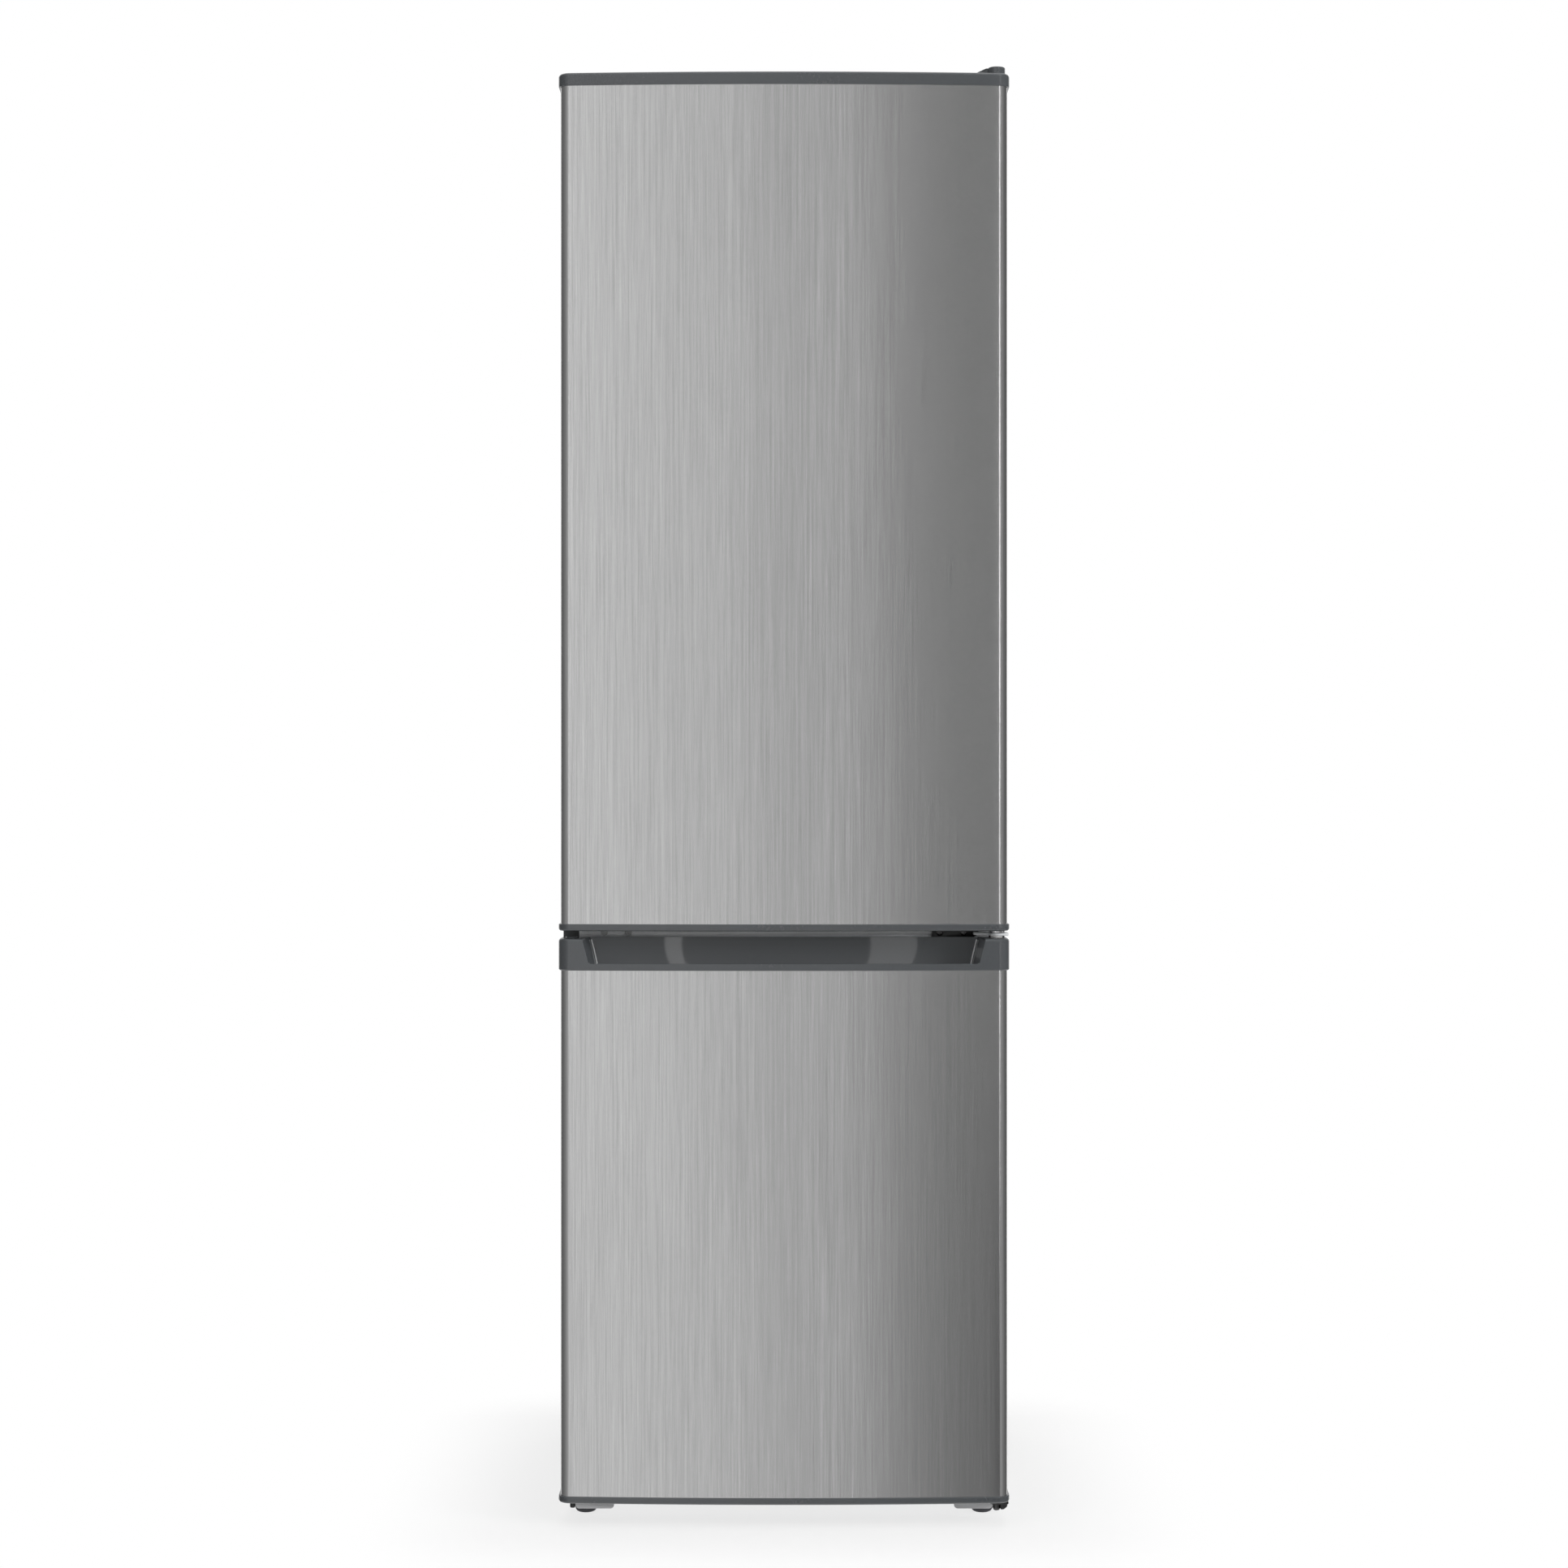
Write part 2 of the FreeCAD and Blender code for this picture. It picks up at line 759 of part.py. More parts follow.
def top_hinge_bracket():
    plate = block(pin_x - top_plate_left_reach, pin_x + top_plate_nose_radius, pin_y, pin_y + top_plate_length,
                  cabinet_top, cabinet_top + hinge_plate_thickness)
    nose = bar(FreeCAD.Vector(pin_x, pin_y, cabinet_top), top_plate_nose_radius, hinge_plate_thickness,
               up(), hinge_nose_sides)
    pin = rod(pin_x, pin_y, cabinet_top - upper_pin_drop, pin_radius,
              upper_pin_drop + hinge_plate_thickness, up())
    return drilled(plate.fuse(nose)).fuse(pin).removeSplitter()


def cover_form(inset, low, high):
    """Outline of the hinge cover: straight behind, round about the pin in front."""
    nose = bar(FreeCAD.Vector(pin_x, pin_y, low), top_cover_front_radius - inset, high - low, up(),
               hinge_nose_sides)
    body = block(pin_x - top_cover_left_reach + inset, pin_x + top_cover_right_reach - inset, pin_y,
                 pin_y + top_plate_length + top_cover_end_reach - inset, low, high)
    return body.fuse(nose).removeSplitter()


def top_hinge_cover():
    outside = cover_form(0, cabinet_top, overall_height)
    ramp_right = pin_x - top_cover_left_reach + top_cover_ramp_width
    ramp_left = ramp_right - top_cover_ramp_width - overrun
    foot = overall_height - top_cover_ramp_drop
    slope = top_cover_ramp_drop / top_cover_ramp_width
    high = overall_height + overrun
    outline = [(ramp_left, foot - overrun * slope),
               (ramp_right + overrun, overall_height + overrun * slope),
               (ramp_left, high + overrun)]
    points = [FreeCAD.Vector(x, front_y, z) for x, z in outline]
    ramp = Part.Face(Part.makePolygon(points + points[:1])).extrude(FreeCAD.Vector(0, overall_depth, 0))
    form = outside.cut(ramp)
    form = chamfered(form, top_cover_edge_radius,
                     lambda box: flat(box.ZMin - overall_height) and flat(box.ZMax - overall_height))
    hollow = cover_form(top_cover_wall, cabinet_top - overrun, foot - top_cover_wall)
    high_hollow = cover_form(top_cover_wall, cabinet_top, overall_height - top_cover_wall)
    right_side = block(ramp_right, half_width, front_y, 0, 0, overall_height)
    return form.cut(hollow).cut(high_hollow.common(right_side))


def middle_hinge_bracket():
    plate = block(middle_plate_left, middle_plate_right, divider_face - hinge_plate_thickness, divider_face,
                  middle_plate_middle - middle_plate_height / 2, middle_plate_middle + middle_plate_height / 2)
    leaf = hinge_leaf(pin_x - middle_leaf_left_reach, divider_face, middle_leaf_bottom, middle_leaf_thickness)
    pin = rod(pin_x, pin_y, middle_leaf_bottom - middle_pin_reach, pin_radius,
              middle_leaf_thickness + 2 * middle_pin_reach, up())
    return drilled(plate).fuse(leaf).fuse(pin).removeSplitter()


def hinge_washers():
    """Washers on the pins, between the leaves and the doors."""
    leaf_top = middle_leaf_bottom + middle_leaf_thickness
    levels = ((cabinet_bottom, lower_door_bottom), (lower_door_top, middle_leaf_bottom),
              (leaf_top, upper_door_bottom), (upper_door_top, cabinet_top))
    washers = []
    for low, high in levels:
        on_leaf = low in (cabinet_bottom, leaf_top)
        start = low if on_leaf else low + seat_gap
        height = high - low - seat_gap
        ring = bar(FreeCAD.Vector(pin_x, pin_y, start), hinge_washer_radius, height, up(), hinge_nose_sides)
        washers.append(ring.cut(clear_bar(FreeCAD.Vector(pin_x, pin_y, start - overrun), pin_radius,
                                          height + 2 * overrun, up(), screw_head_sides)))
    return Part.makeCompound(washers)


def foot_bracket():
    """Pressed plate under the cabinet with its front flange and the hole of the foot."""
    bottom = cabinet_bottom - hinge_plate_thickness
    plate = block(bracket_outer - bracket_width, bracket_outer, bracket_front_y,
                  bracket_front_y + bracket_length, bottom, cabinet_bottom)
    flange_right = bracket_outer - bracket_flange_side
    flange = block(flange_right - bracket_flange_width, flange_right, bracket_front_y,
                   bracket_front_y + hinge_plate_thickness, bracket_flange_bottom, bottom)
    flange = chamfered(flange, bracket_flange_corner, lambda box: flat(box.XLength) and flat(
        box.ZLength) and flat(box.ZMin - bracket_flange_bottom))
    hole = rod(foot_x, foot_y, bottom - overrun, foot_stem_radius + foot_clearance,
               hinge_plate_thickness + 2 * overrun, up())
    return drilled(plate.fuse(flange)).cut(hole).removeSplitter()


def bottom_hinge_bracket():
    bottom = cabinet_bottom - hinge_plate_thickness
    leaf = hinge_leaf(pin_x - bottom_leaf_left_reach, bracket_front_y, bottom, hinge_plate_thickness)
    pin = rod(pin_x, pin_y, bottom_pin_bottom, pin_radius, bottom_pin_length, up())
    return foot_bracket().fuse(leaf).fuse(pin).removeSplitter()


def left_foot_bracket():
    left = bracket_outer - bracket_flange_side
    lug = block(left, left + bracket_lug_width, bracket_front_y, bracket_front_y + 2 * hinge_plate_thickness,
                bracket_flange_bottom, cabinet_bottom)
    lug = chamfered(lug, bracket_lug_width / 3, lambda box: upright(box) and flat(box.YMin - bracket_front_y))
    return mirrored(foot_bracket().fuse(lug).removeSplitter())


# Feet, rail and rollers

def levelling_foot():
    """Foot with a many-sided rim to turn it by and a round stem."""
    outline = [(foot_radius, 0), (foot_radius, foot_disc_height), (foot_collar_radius, foot_collar_top)]
    disc = turned(outline, FreeCAD.Vector(foot_x, foot_y, 0), up(), foot_sides)
    stem = rod(foot_x, foot_y, foot_collar_top, foot_stem_radius,
               cabinet_bottom - foot_stem_gap - foot_collar_top, up())
    return disc.fuse(stem).removeSplitter()


def roller_cheek(x):
    return block(x, x + roller_cheek_thickness, roller_y - roller_cheek_half_length,
                 roller_y + roller_cheek_half_length, roller_radius - roller_cheek_below_axle, rail_bottom)


def compressor_rail():
    rail_front = rail_back - rail_width
    plate = wide_block(steel_inside, rail_front, rail_back, rail_bottom, rail_top)
    front_lip = wide_block(steel_inside, rail_front, rail_front + rail_thickness,
                           rail_top, rail_top + rail_lip_height)
    pieces = [front_lip]
    reach = roller_width / 2 + roller_side_gap
    for piece in (block(steel_inside - rail_thickness, steel_inside, rail_front, rail_back,
                        rail_top, rail_bottom + rail_end_height),
                  roller_cheek(roller_x - reach - roller_cheek_thickness),
                  roller_cheek(roller_x + reach),
                  rod(roller_x - reach - roller_cheek_thickness, roller_y, roller_radius, roller_axle_radius,
                      2 * (reach + roller_cheek_thickness), FreeCAD.Vector(1, 0, 0))):
        pieces += both_sides(piece)
    return plate.multiFuse(pieces).removeSplitter()


def roller():
    start = roller_x - roller_width / 2
    across = FreeCAD.Vector(1, 0, 0)
    wheel = bar(FreeCAD.Vector(start, roller_y, roller_radius), roller_radius / math.cos(math.pi / roller_sides),
                roller_width, across, roller_sides)
    return wheel.cut(rod(start - overrun, roller_y, roller_radius, roller_axle_radius + pin_clearance,
                         roller_width + 2 * overrun, across))


# Machine bay

def grommet_spots():
    length = compressor_foot_half_length - grommet_inset
    width = compressor_foot_half_width - grommet_inset
    return [(compressor_x + along * length, compressor_y + across * width)
            for along in (-1, 1) for across in (-1, 1)]


def compressor():
    seam = compressor_height * compressor_body_shares[-1][1]
    outline = [(compressor_radius * wide, compressor_height * high) for wide, high in compressor_body_shares]
    outline += [(compressor_seam_radius, seam), (compressor_seam_radius, seam + compressor_seam_height)]
    outline += [(compressor_radius * wide, compressor_height * high) for wide, high in compressor_dome_shares]
    seat = FreeCAD.Vector(compressor_x, compressor_y, compressor_base + compressor_foot_thickness)
    body = turned(outline, seat, up(), compressor_sides)
    foot = block(compressor_x - compressor_foot_half_length, compressor_x + compressor_foot_half_length,
                 compressor_y - compressor_foot_half_width, compressor_y + compressor_foot_half_width,
                 compressor_base, compressor_base + compressor_foot_thickness)
    for x, y in grommet_spots():
        hole = bar(FreeCAD.Vector(x, y, compressor_base - overrun), grommet_neck_radius,
                   compressor_foot_thickness + 2 * overrun, up(), grommet_sides)
        foot = foot.cut(hole)
    return body.fuse(foot).removeSplitter()


def compressor_grommets():
    neck_top = grommet_height + compressor_foot_thickness
    outline = [(grommet_radius, 0), (grommet_radius, grommet_height), (grommet_neck_radius, grommet_height),
               (grommet_neck_radius, neck_top), (grommet_head_radius, neck_top),
               (grommet_neck_radius, neck_top + grommet_head_height)]
    return Part.makeCompound([turned(outline, FreeCAD.Vector(x, y, rail_top), up(), grommet_sides)
                              for x, y in grommet_spots()])


def relay_cover():
    right = compressor_x - compressor_side
    bottom = compressor_base + relay_above_foot
    case = block(right - relay_depth, right, compressor_y - relay_width / 2, compressor_y + relay_width / 2,
                 bottom, bottom + relay_height)
    return chamfered(case, relay_edge_bevel, lambda box: upright(box) and flat(box.XMax - right + relay_depth))


def drip_tray():
    bottom = compressor_base + compressor_foot_thickness + compressor_height
    pan = tray(drip_tray_half_length, -drip_tray_half_width, drip_tray_half_width,
               bottom, bottom + drip_tray_height, drip_tray_taper, drip_tray_wall, drip_tray_wall)
    pan.translate(FreeCAD.Vector(compressor_x, compressor_y + drip_tray_behind_middle, 0))
    return pan


def drain_path():
    tray_floor = compressor_base + compressor_foot_thickness + compressor_height + drip_tray_wall
    return [FreeCAD.Vector(compressor_x, fridge_back, drain_top),
            FreeCAD.Vector(compressor_x, drain_y, drain_top),
            FreeCAD.Vector(compressor_x, drain_y, tray_floor + drain_end_above_tray)]


def drain_way():
    """Room of the drain tube through the foam."""
    start, turn, end = drain_path()
    radius = drain_across / 2 + drain_foam_gap
    level = clear_bar(start, radius, drain_y - fridge_back + radius, (turn - start).normalize(), drain_way_sides)
    fall = clear_bar(end, radius, drain_top - end.z + radius, up(), drain_way_sides)
    return level.fuse(fall)


def drain_tube():
    return tube(drain_path(), drain_across, drain_bend, FreeCAD.Vector(1, 0, 0))


# Cooling circuit

def serpentine(count, pitch, half, place):
    """Corners of a tube that runs to and fro."""
    corners = []
    for index in range(count):
        ends = (half, -half) if index % 2 == 0 else (-half, half)
        corners += [place(end, index * pitch) for end in ends]
    return corners


def condenser_tube():
    port = compressor_base + condenser_port_height
    lead_x = condenser_half_width - condenser_lead_inset
    lead = [FreeCAD.Vector(compressor_x + compressor_side, compressor_y, port),
            FreeCAD.Vector(lead_x, compressor_y, port),
            FreeCAD.Vector(lead_x, condenser_y, port),
            FreeCAD.Vector(lead_x, condenser_y, condenser_bottom)]
    runs = serpentine(condenser_run_count, condenser_pitch, condenser_half_width,
                      lambda x, rise: FreeCAD.Vector(x, condenser_y, condenser_bottom + rise))
    runs[-1] = FreeCAD.Vector(liquid_line_x, condenser_y, condenser_top)
    corners = lead + runs[1:]
    return tube(corners, condenser_tube_across, condenser_pitch / 2, up())


def condenser_wires():
    low = condenser_bottom - condenser_wire_overhang
    span = 2 * (condenser_half_width - condenser_pitch / 2)
    offset = condenser_tube_across / 2 + condenser_wire_across / 2
    wires = []
    for index in range(condenser_wire_count):
        x = -span / 2 + span * index / (condenser_wire_count - 1)
        for side in (-1, 1):
            wires.append(wire(x, condenser_y + side * offset, low, condenser_wire_across,
                              (0, 0, condenser_top + condenser_wire_overhang - low)))
    return Part.makeCompound(wires)


def condenser_clips():
    face = condenser_y - condenser_tube_across / 2 - condenser_wire_across
    clips = []
    middle = condenser_half_width - clip_inset
    for share in clip_height_shares:
        height = condenser_bottom + share * (condenser_top - condenser_bottom)
        clip = block(middle - clip_half_width, middle + clip_half_width, back_panel_face, face,
                     height, height + clip_height)
        clips += both_sides(clip)
    return Part.makeCompound(clips)


def refrigerant_pipes():
    """Line from the condenser to the filter drier, the drier, and the suction line."""
    top = condenser_top - condenser_tube_across / 2
    drier_top = drier_height + drier_length
    port = compressor_base + suction_port_height
    side = liquid_line_x + pipe_across / 2
    liquid = [FreeCAD.Vector(side, condenser_y, top), FreeCAD.Vector(side, condenser_y, liquid_line_turn),
              FreeCAD.Vector(drier_x, drier_y, liquid_line_turn), FreeCAD.Vector(drier_x, drier_y, drier_top)]
    suction = [FreeCAD.Vector(compressor_x - compressor_radius / 2, compressor_y + compressor_radius / 2, port),
               FreeCAD.Vector(suction_x, suction_y, port),
               FreeCAD.Vector(suction_x, suction_y, pan_top - steel_thickness)]
    liquid_line = tube(liquid, pipe_across, pipe_bend, FreeCAD.Vector(1, 0, 0))
    suction_line = tube(suction, pipe_across, pipe_bend, up()).cut(compressor())
    drier = rod(drier_x, drier_y, drier_height, drier_radius, drier_length, up())
    return Part.makeCompound([liquid_line, suction_line, drier])


# Evaporator shelves

def evaporator_shelf(height):
    """Tube that runs to and fro with wires across it."""
    middle = height + evaporator_tube_across / 2
    runs = serpentine(evaporator_run_count, evaporator_pitch, evaporator_half_width,
                      lambda x, rise: FreeCAD.Vector(x, evaporator_front + rise, middle))
    coil = tube(runs, evaporator_tube_across, evaporator_pitch / 2, up())
    length = (evaporator_run_count - 1) * evaporator_pitch + 2 * evaporator_wire_overhang
    level = height + evaporator_tube_across + evaporator_wire_across / 2
    wires = []
    for index in range(evaporator_wire_count):
        x = (evaporator_half_width - evaporator_wire_side_inset) * (2 * index / (evaporator_wire_count - 1) - 1)
        wires.append(wire(x, evaporator_front - evaporator_wire_overhang, level, evaporator_wire_across,
                          (0, length, 0)))
    return [coil] + wires


def evaporator_shelves():
    pieces = []
    for height in evaporator_ledge_tops:
        pieces += evaporator_shelf(height)
    return Part.makeCompound(pieces)


# Fridge fittings

def glass_sheet(height):
    return wide_block(fridge_half_width - glass_side_gap, glass_front, fridge_back - glass_back_gap,
                      height, height + glass_thickness)


def shelf_trims():
    trims = []
    for height in shelf_heights + (crisper_cover_height,):
        front = glass_front - trim_front_reach
        strip = wide_block(fridge_half_width - glass_side_gap, front, front + trim_depth,
                           height - trim_lip, height + glass_thickness + trim_lip)
        strip = chamfered(strip, trim_lip, lambda box: flat(box.YMax - front) and flat(box.ZLength))
        trims.append(strip.cut(glass_sheet(height)))
    return Part.makeCompound(trims)


def grip(front, top):
    """Hooked finger grip on the front panel of a drawer."""
    outline = [(front - grip_depth, top), (front, top), (front, top - grip_wall),
               (front - grip_depth + grip_wall, top - grip_wall),
               (front - grip_depth + grip_wall, top - grip_height), (front - grip_depth, top - grip_height)]
    return side_profile(outline, -grip_half_width, grip_half_width)


def drawer(front, back, bottom, height, half, taper, wall, rim):
    """Tub with a thick upright front and a grip on it."""
    top = bottom + height
    tub = tray(half, front, back, bottom, top, taper, wall, rim)
    panel = wide_block(half, front, front + drawer_front_thickness, bottom + wall, top)
    return tub.fuse([panel, grip(front, top - grip_drop)]).removeSplitter()


def freezer_drawer(index):
    half = freezer_half_width - drawer_side_gap
    if index == 0:
        return drawer(drawer_front, freezer_step_y - drawer_back_gap, freezer_floor + seat_gap,
                      bottom_drawer_height, half, drawer_taper, drawer_wall, drawer_rim)
    floor = evaporator_ledge_tops[index - 1] + evaporator_tube_across + evaporator_wire_across + seat_gap
    return drawer(drawer_front, freezer_back - drawer_back_gap, floor, drawer_height, half,
                  drawer_taper, drawer_wall, drawer_rim)


def crisper_drawer():
    return drawer(crisper_front, crisper_back, fridge_floor + seat_gap, crisper_height,
                  fridge_half_width - crisper_side_gap, crisper_taper, crisper_wall, crisper_rim)


def control_housing():
    case = wide_block(housing_half_width, housing_front, housing_back, housing_bottom, fridge_ceiling)
    case = rounded(case, housing_edge_radius,
                   lambda box: flat(box.ZLength) and flat(box.YLength) and flat(box.ZMin - housing_bottom))
    bay = block(lamp_bay_left, lamp_bay_right, lamp_bay_front, lamp_bay_back,
                housing_bottom - overrun, housing_bottom + lamp_bay_depth)
    stem = rod(knob_x, knob_y, housing_bottom - overrun, knob_stem_radius + pin_clearance,
               overrun + knob_stem_length + seat_gap, up())
    plunger = rod(switch_x, housing_front - overrun, switch_height, switch_radius + pin_clearance,
                  overrun + switch_hole_depth, FreeCAD.Vector(0, 1, 0))
    return case.cut(bay).cut(stem).cut(plunger)


def lamp_cover():
    case = block(lamp_bay_left, lamp_bay_right, lamp_bay_front, lamp_bay_back,
                 housing_bottom - lamp_cover_drop, housing_bottom)
    case = chamfered(case, lamp_cover_wall,
                     lambda box: flat(box.ZLength) and flat(box.ZMax - housing_bottom + lamp_cover_drop))
    room = block(lamp_bay_left + lamp_cover_wall, lamp_bay_right - lamp_cover_wall,
                 lamp_bay_front + lamp_cover_wall, lamp_bay_back - lamp_cover_wall,
                 housing_bottom - lamp_cover_drop + lamp_cover_wall, housing_bottom + overrun)
    return case.cut(room)


def lamp():
    middle = housing_bottom + lamp_bay_depth / 2
    tip = lamp_length - lamp_radius
    outline = [(lamp_neck_radius, 0), (lamp_neck_radius, lamp_neck_length), (lamp_radius, lamp_neck_length),
               (lamp_radius, lamp_neck_length + tip), (lamp_radius / 2, lamp_neck_length + lamp_length)]
    return turned(outline, FreeCAD.Vector(lamp_bay_left, lamp_y, middle), FreeCAD.Vector(1, 0, 0), lamp_sides)


def thermostat_knob():
    """Disc with a grip bar across it and its stem."""
    top = housing_bottom - seat_gap
    disc = bar(FreeCAD.Vector(knob_x, knob_y, top - knob_disc_height), knob_radius, knob_disc_height, up(),
               knob_sides)
    stem = rod(knob_x, knob_y, top, knob_stem_radius, knob_stem_length, up())
    handle = block(knob_x - knob_bar_half_width, knob_x + knob_bar_half_width, knob_y - knob_bar_reach,
                   knob_y + knob_bar_reach, top - knob_height, top - knob_disc_height)
    handle = chamfered(handle, knob_bar_half_width / 2, upright)
    return disc.fuse(stem).fuse(handle).removeSplitter()


def light_switch():
    tip = ring_face + seat_gap
    length = housing_front - tip + switch_tail
    return rod(switch_x, tip, switch_height, switch_radius, length, FreeCAD.Vector(0, 1, 0))


# Doors

def door_form(half, front, bow, corner, low, high, rear):
    """Bowed front with round corners, straight sides and a flat back."""
    side = front + bow
    left = FreeCAD.Vector(-half, side, low)
    right = FreeCAD.Vector(half, side, low)
    bowed = Part.Arc(left, FreeCAD.Vector(0, front, low), right).toShape()
    rest = Part.makePolygon([right, FreeCAD.Vector(half, rear, low), FreeCAD.Vector(-half, rear, low), left])
    form = Part.Face(Part.Wire([bowed] + rest.Edges)).extrude(up() * (high - low))
    return rounded(form, corner, lambda box: upright(box) and flat(box.YMin - side))


def door_skin(low, high):
    front = front_y + cap_front_overhang
    outside = door_form(skin_half_width, front, door_bow, door_corner_radius, low, high, door_back)
    inside = foam_form(low - overrun, high + overrun)
    window = wide_block(skin_half_width - door_return_width, door_back - 2 * door_skin_thickness,
                        door_back + overrun, low - overrun, high + overrun)
    return outside.cut(inside).cut(window)


def foam_form(low, high):
    """Inside of the door skin."""
    return door_form(skin_half_width - door_skin_thickness, front_y + cap_front_overhang + door_skin_thickness,
                     door_bow, door_corner_radius - door_skin_thickness, low, high,
                     door_back - door_skin_thickness)


def cap_form(low, high):
    """Outline of the moulded caps, a little wider than the skin."""
    return door_form(half_width, front_y, door_bow, door_corner_radius + cap_overhang, low, high, door_back)


def rim_at(level):
    """Rule for the edges round a cap at one level, its back edge left out."""
    return lambda box: flat(box.ZMin - level) and flat(box.ZMax - level) and not flat(box.YMin - door_back)


def pin_holes(low, high, radius):
    """Round hole for the hinge pin and a many-sided spare one, as the door can hang either way."""
    spare = clear_bar(FreeCAD.Vector(-pin_x, pin_y, low), radius, high - low, up(), screw_head_sides)
    return rod(pin_x, pin_y, low, radius, high - low, up()).fuse(spare)


def pin_hole_radius():
    return pin_radius + pin_clearance


def pin_wells(low, high):
    """Square wells in the foam round the hinge pins."""
    half = hinge_washer_radius
    well = block(pin_x - half, pin_x + half, pin_y - half, pin_y + half, low, high)
    return well.fuse(mirrored(well))


def upper_door_top_cap():
    low = upper_door_top - top_cap_height
    cap = chamfered(cap_form(low, upper_door_top), cap_edge_bevel, rim_at(upper_door_top))
    return cap.cut(pin_holes(low - overrun, upper_door_top + overrun, pin_hole_radius()))


def bottom_cap(low):
    """Lower end cap of a door."""
    cap = chamfered(cap_form(low, low + small_cap_height), cap_lower_edge_radius, rim_at(low))
    return cap.cut(pin_holes(low - overrun, low + small_cap_height + overrun, pin_hole_radius()))


def recess_sill():
    return lower_door_top - handle_cap_height + recess_lip_height


def recess_body_bottom():
    return recess_sill() - recess_trough_depth - recess_trough_wall


def recess_form():
    """Room of the scooped handle: open in front and above, with a finger trough behind the lip."""
    lip = front_y + recess_lip_depth
    rear = door_back - recess_back_wall
    floor = recess_sill() - recess_trough_depth
    radius = (rear - recess_scoop_lean - lip) / 2
    above = lower_door_top + overrun
    trough_left = FreeCAD.Vector(0, lip, floor + radius)
    trough_low = FreeCAD.Vector(0, lip + radius, floor)
    trough_right = FreeCAD.Vector(0, lip + 2 * radius, floor + radius)
    bowl = Part.Arc(trough_left, trough_low, trough_right).toShape()
    back_top = FreeCAD.Vector(0, rear, above)
    back_middle = (trough_right + back_top) / 2 + FreeCAD.Vector(0, recess_scoop_lean / 2, 0)
    scoop = Part.Arc(trough_right, back_middle, back_top).toShape()
    lip_front = FreeCAD.Vector(0, lip - recess_lip_round, recess_sill())
    lip_rear = FreeCAD.Vector(0, lip, recess_sill() - recess_lip_round)
    chord = recess_lip_round * math.sin(math.pi / 4)
    lip_middle = lip_front + FreeCAD.Vector(0, chord, chord - recess_lip_round)
    nose = Part.Arc(lip_front, lip_middle, lip_rear).toShape()
    front = Part.makePolygon([back_top, FreeCAD.Vector(0, front_y - overrun, above),
                              FreeCAD.Vector(0, front_y - overrun, recess_sill()), lip_front])
    trough_front = Part.makeLine(lip_rear, trough_left)
    profile = Part.Face(Part.Wire([bowl, scoop] + front.Edges + [nose, trough_front]))
    profile.translate(FreeCAD.Vector(-half_width, 0, 0))
    room = profile.extrude(FreeCAD.Vector(overall_width, 0, 0))
    slope = (recess_top_half_width - recess_bottom_half_width) / (lower_door_top - recess_sill())

    def section(y, inset):
        high = recess_top_half_width - inset + slope * overrun
        low = recess_bottom_half_width - inset - slope * (recess_sill() - floor + overrun)
        return [FreeCAD.Vector(-high, y, above), FreeCAD.Vector(high, y, above),
                FreeCAD.Vector(low, y, floor - overrun), FreeCAD.Vector(-low, y, floor - overrun)]
    draft = recess_end_draft * overrun / (rear - front_y)
    ends = skinned([section(front_y - overrun, -draft), section(rear + overrun, recess_end_draft + draft)])
    return room.common(ends)


def handle_cap():
    low = lower_door_top - handle_cap_height
    cap = rounded(cap_form(low, lower_door_top), cap_edge_radius, rim_at(lower_door_top))
    body = foam_form(recess_body_bottom(), low).common(
        wide_block(recess_body_half_width, front_y, door_back - recess_body_inset, 0, overall_height))
    cap = cap.fuse(body).cut(recess_form())
    sill = recess_sill()
    cap = cap.removeSplitter()
    lip_edges = [edge for edge in cap.Edges if flat(edge.BoundBox.ZMin - sill) and flat(edge.BoundBox.ZMax - sill)
                 and edge.BoundBox.XLength > recess_bottom_half_width
                 and edge.BoundBox.YMin < front_y + recess_lip_round]
    cap = cap.makeFillet(recess_edge_radius, lip_edges)
    hole_bottom = middle_leaf_bottom - middle_pin_reach - seat_gap
    return cap.cut(pin_holes(hole_bottom, lower_door_top + overrun, pin_hole_radius()))


def handle_cap_plug():
    """Plug in the spare pin hole."""
    seat = FreeCAD.Vector(-pin_x, pin_y, lower_door_top)
    head = bar(seat, hinge_washer_radius, divider_plug_head, up(), hinge_nose_sides)
    return head.fuse(bar(seat, pin_radius, spare_hole_plug_stem, up() * -1, screw_head_sides))


def ring(outer, inner_inset, y0, y1, low, high):
    """Four-sided ring seen from the front."""
    outside = wide_block(outer, y0, y1, low, high)
    inside = wide_block(outer - inner_inset, y0 - overrun, y1 + overrun, low + inner_inset, high - inner_inset)
    return outside.cut(inside)


def upper_ring(inset):
    """Raised ring of the fridge door liner."""
    outer = fridge_half_width - door_ring_clearance - inset
    low = fridge_floor + door_ring_clearance + inset
    high = fridge_ceiling - door_ring_clearance - inset
    return ring(outer, door_ring_width - 2 * inset, door_back - seat_gap * inset / door_liner_sheet,
                ring_face - inset, low, high)


def lower_bulge(inset):
    """Raised field of the freezer door liner."""
    return wide_block(freezer_half_width - freezer_panel_clearance - inset, door_back,
                      door_back + freezer_panel_depth - inset,
                      freezer_floor + freezer_panel_end_clearance + inset,
                      freezer_ceiling - freezer_panel_end_clearance - inset)


def liner_sheet(low, high):
    return wide_block(skin_half_width - door_liner_inset, door_back, liner_face,
                      low + door_liner_inset, high - door_liner_inset)


def balcony_floors():
    """Floor heights within the raised ring of the fridge door."""
    low = fridge_floor + door_ring_clearance + door_ring_width
    high = fridge_ceiling - door_ring_clearance - door_ring_width
    return [low + share * (high - low) for share in balcony_floor_shares]


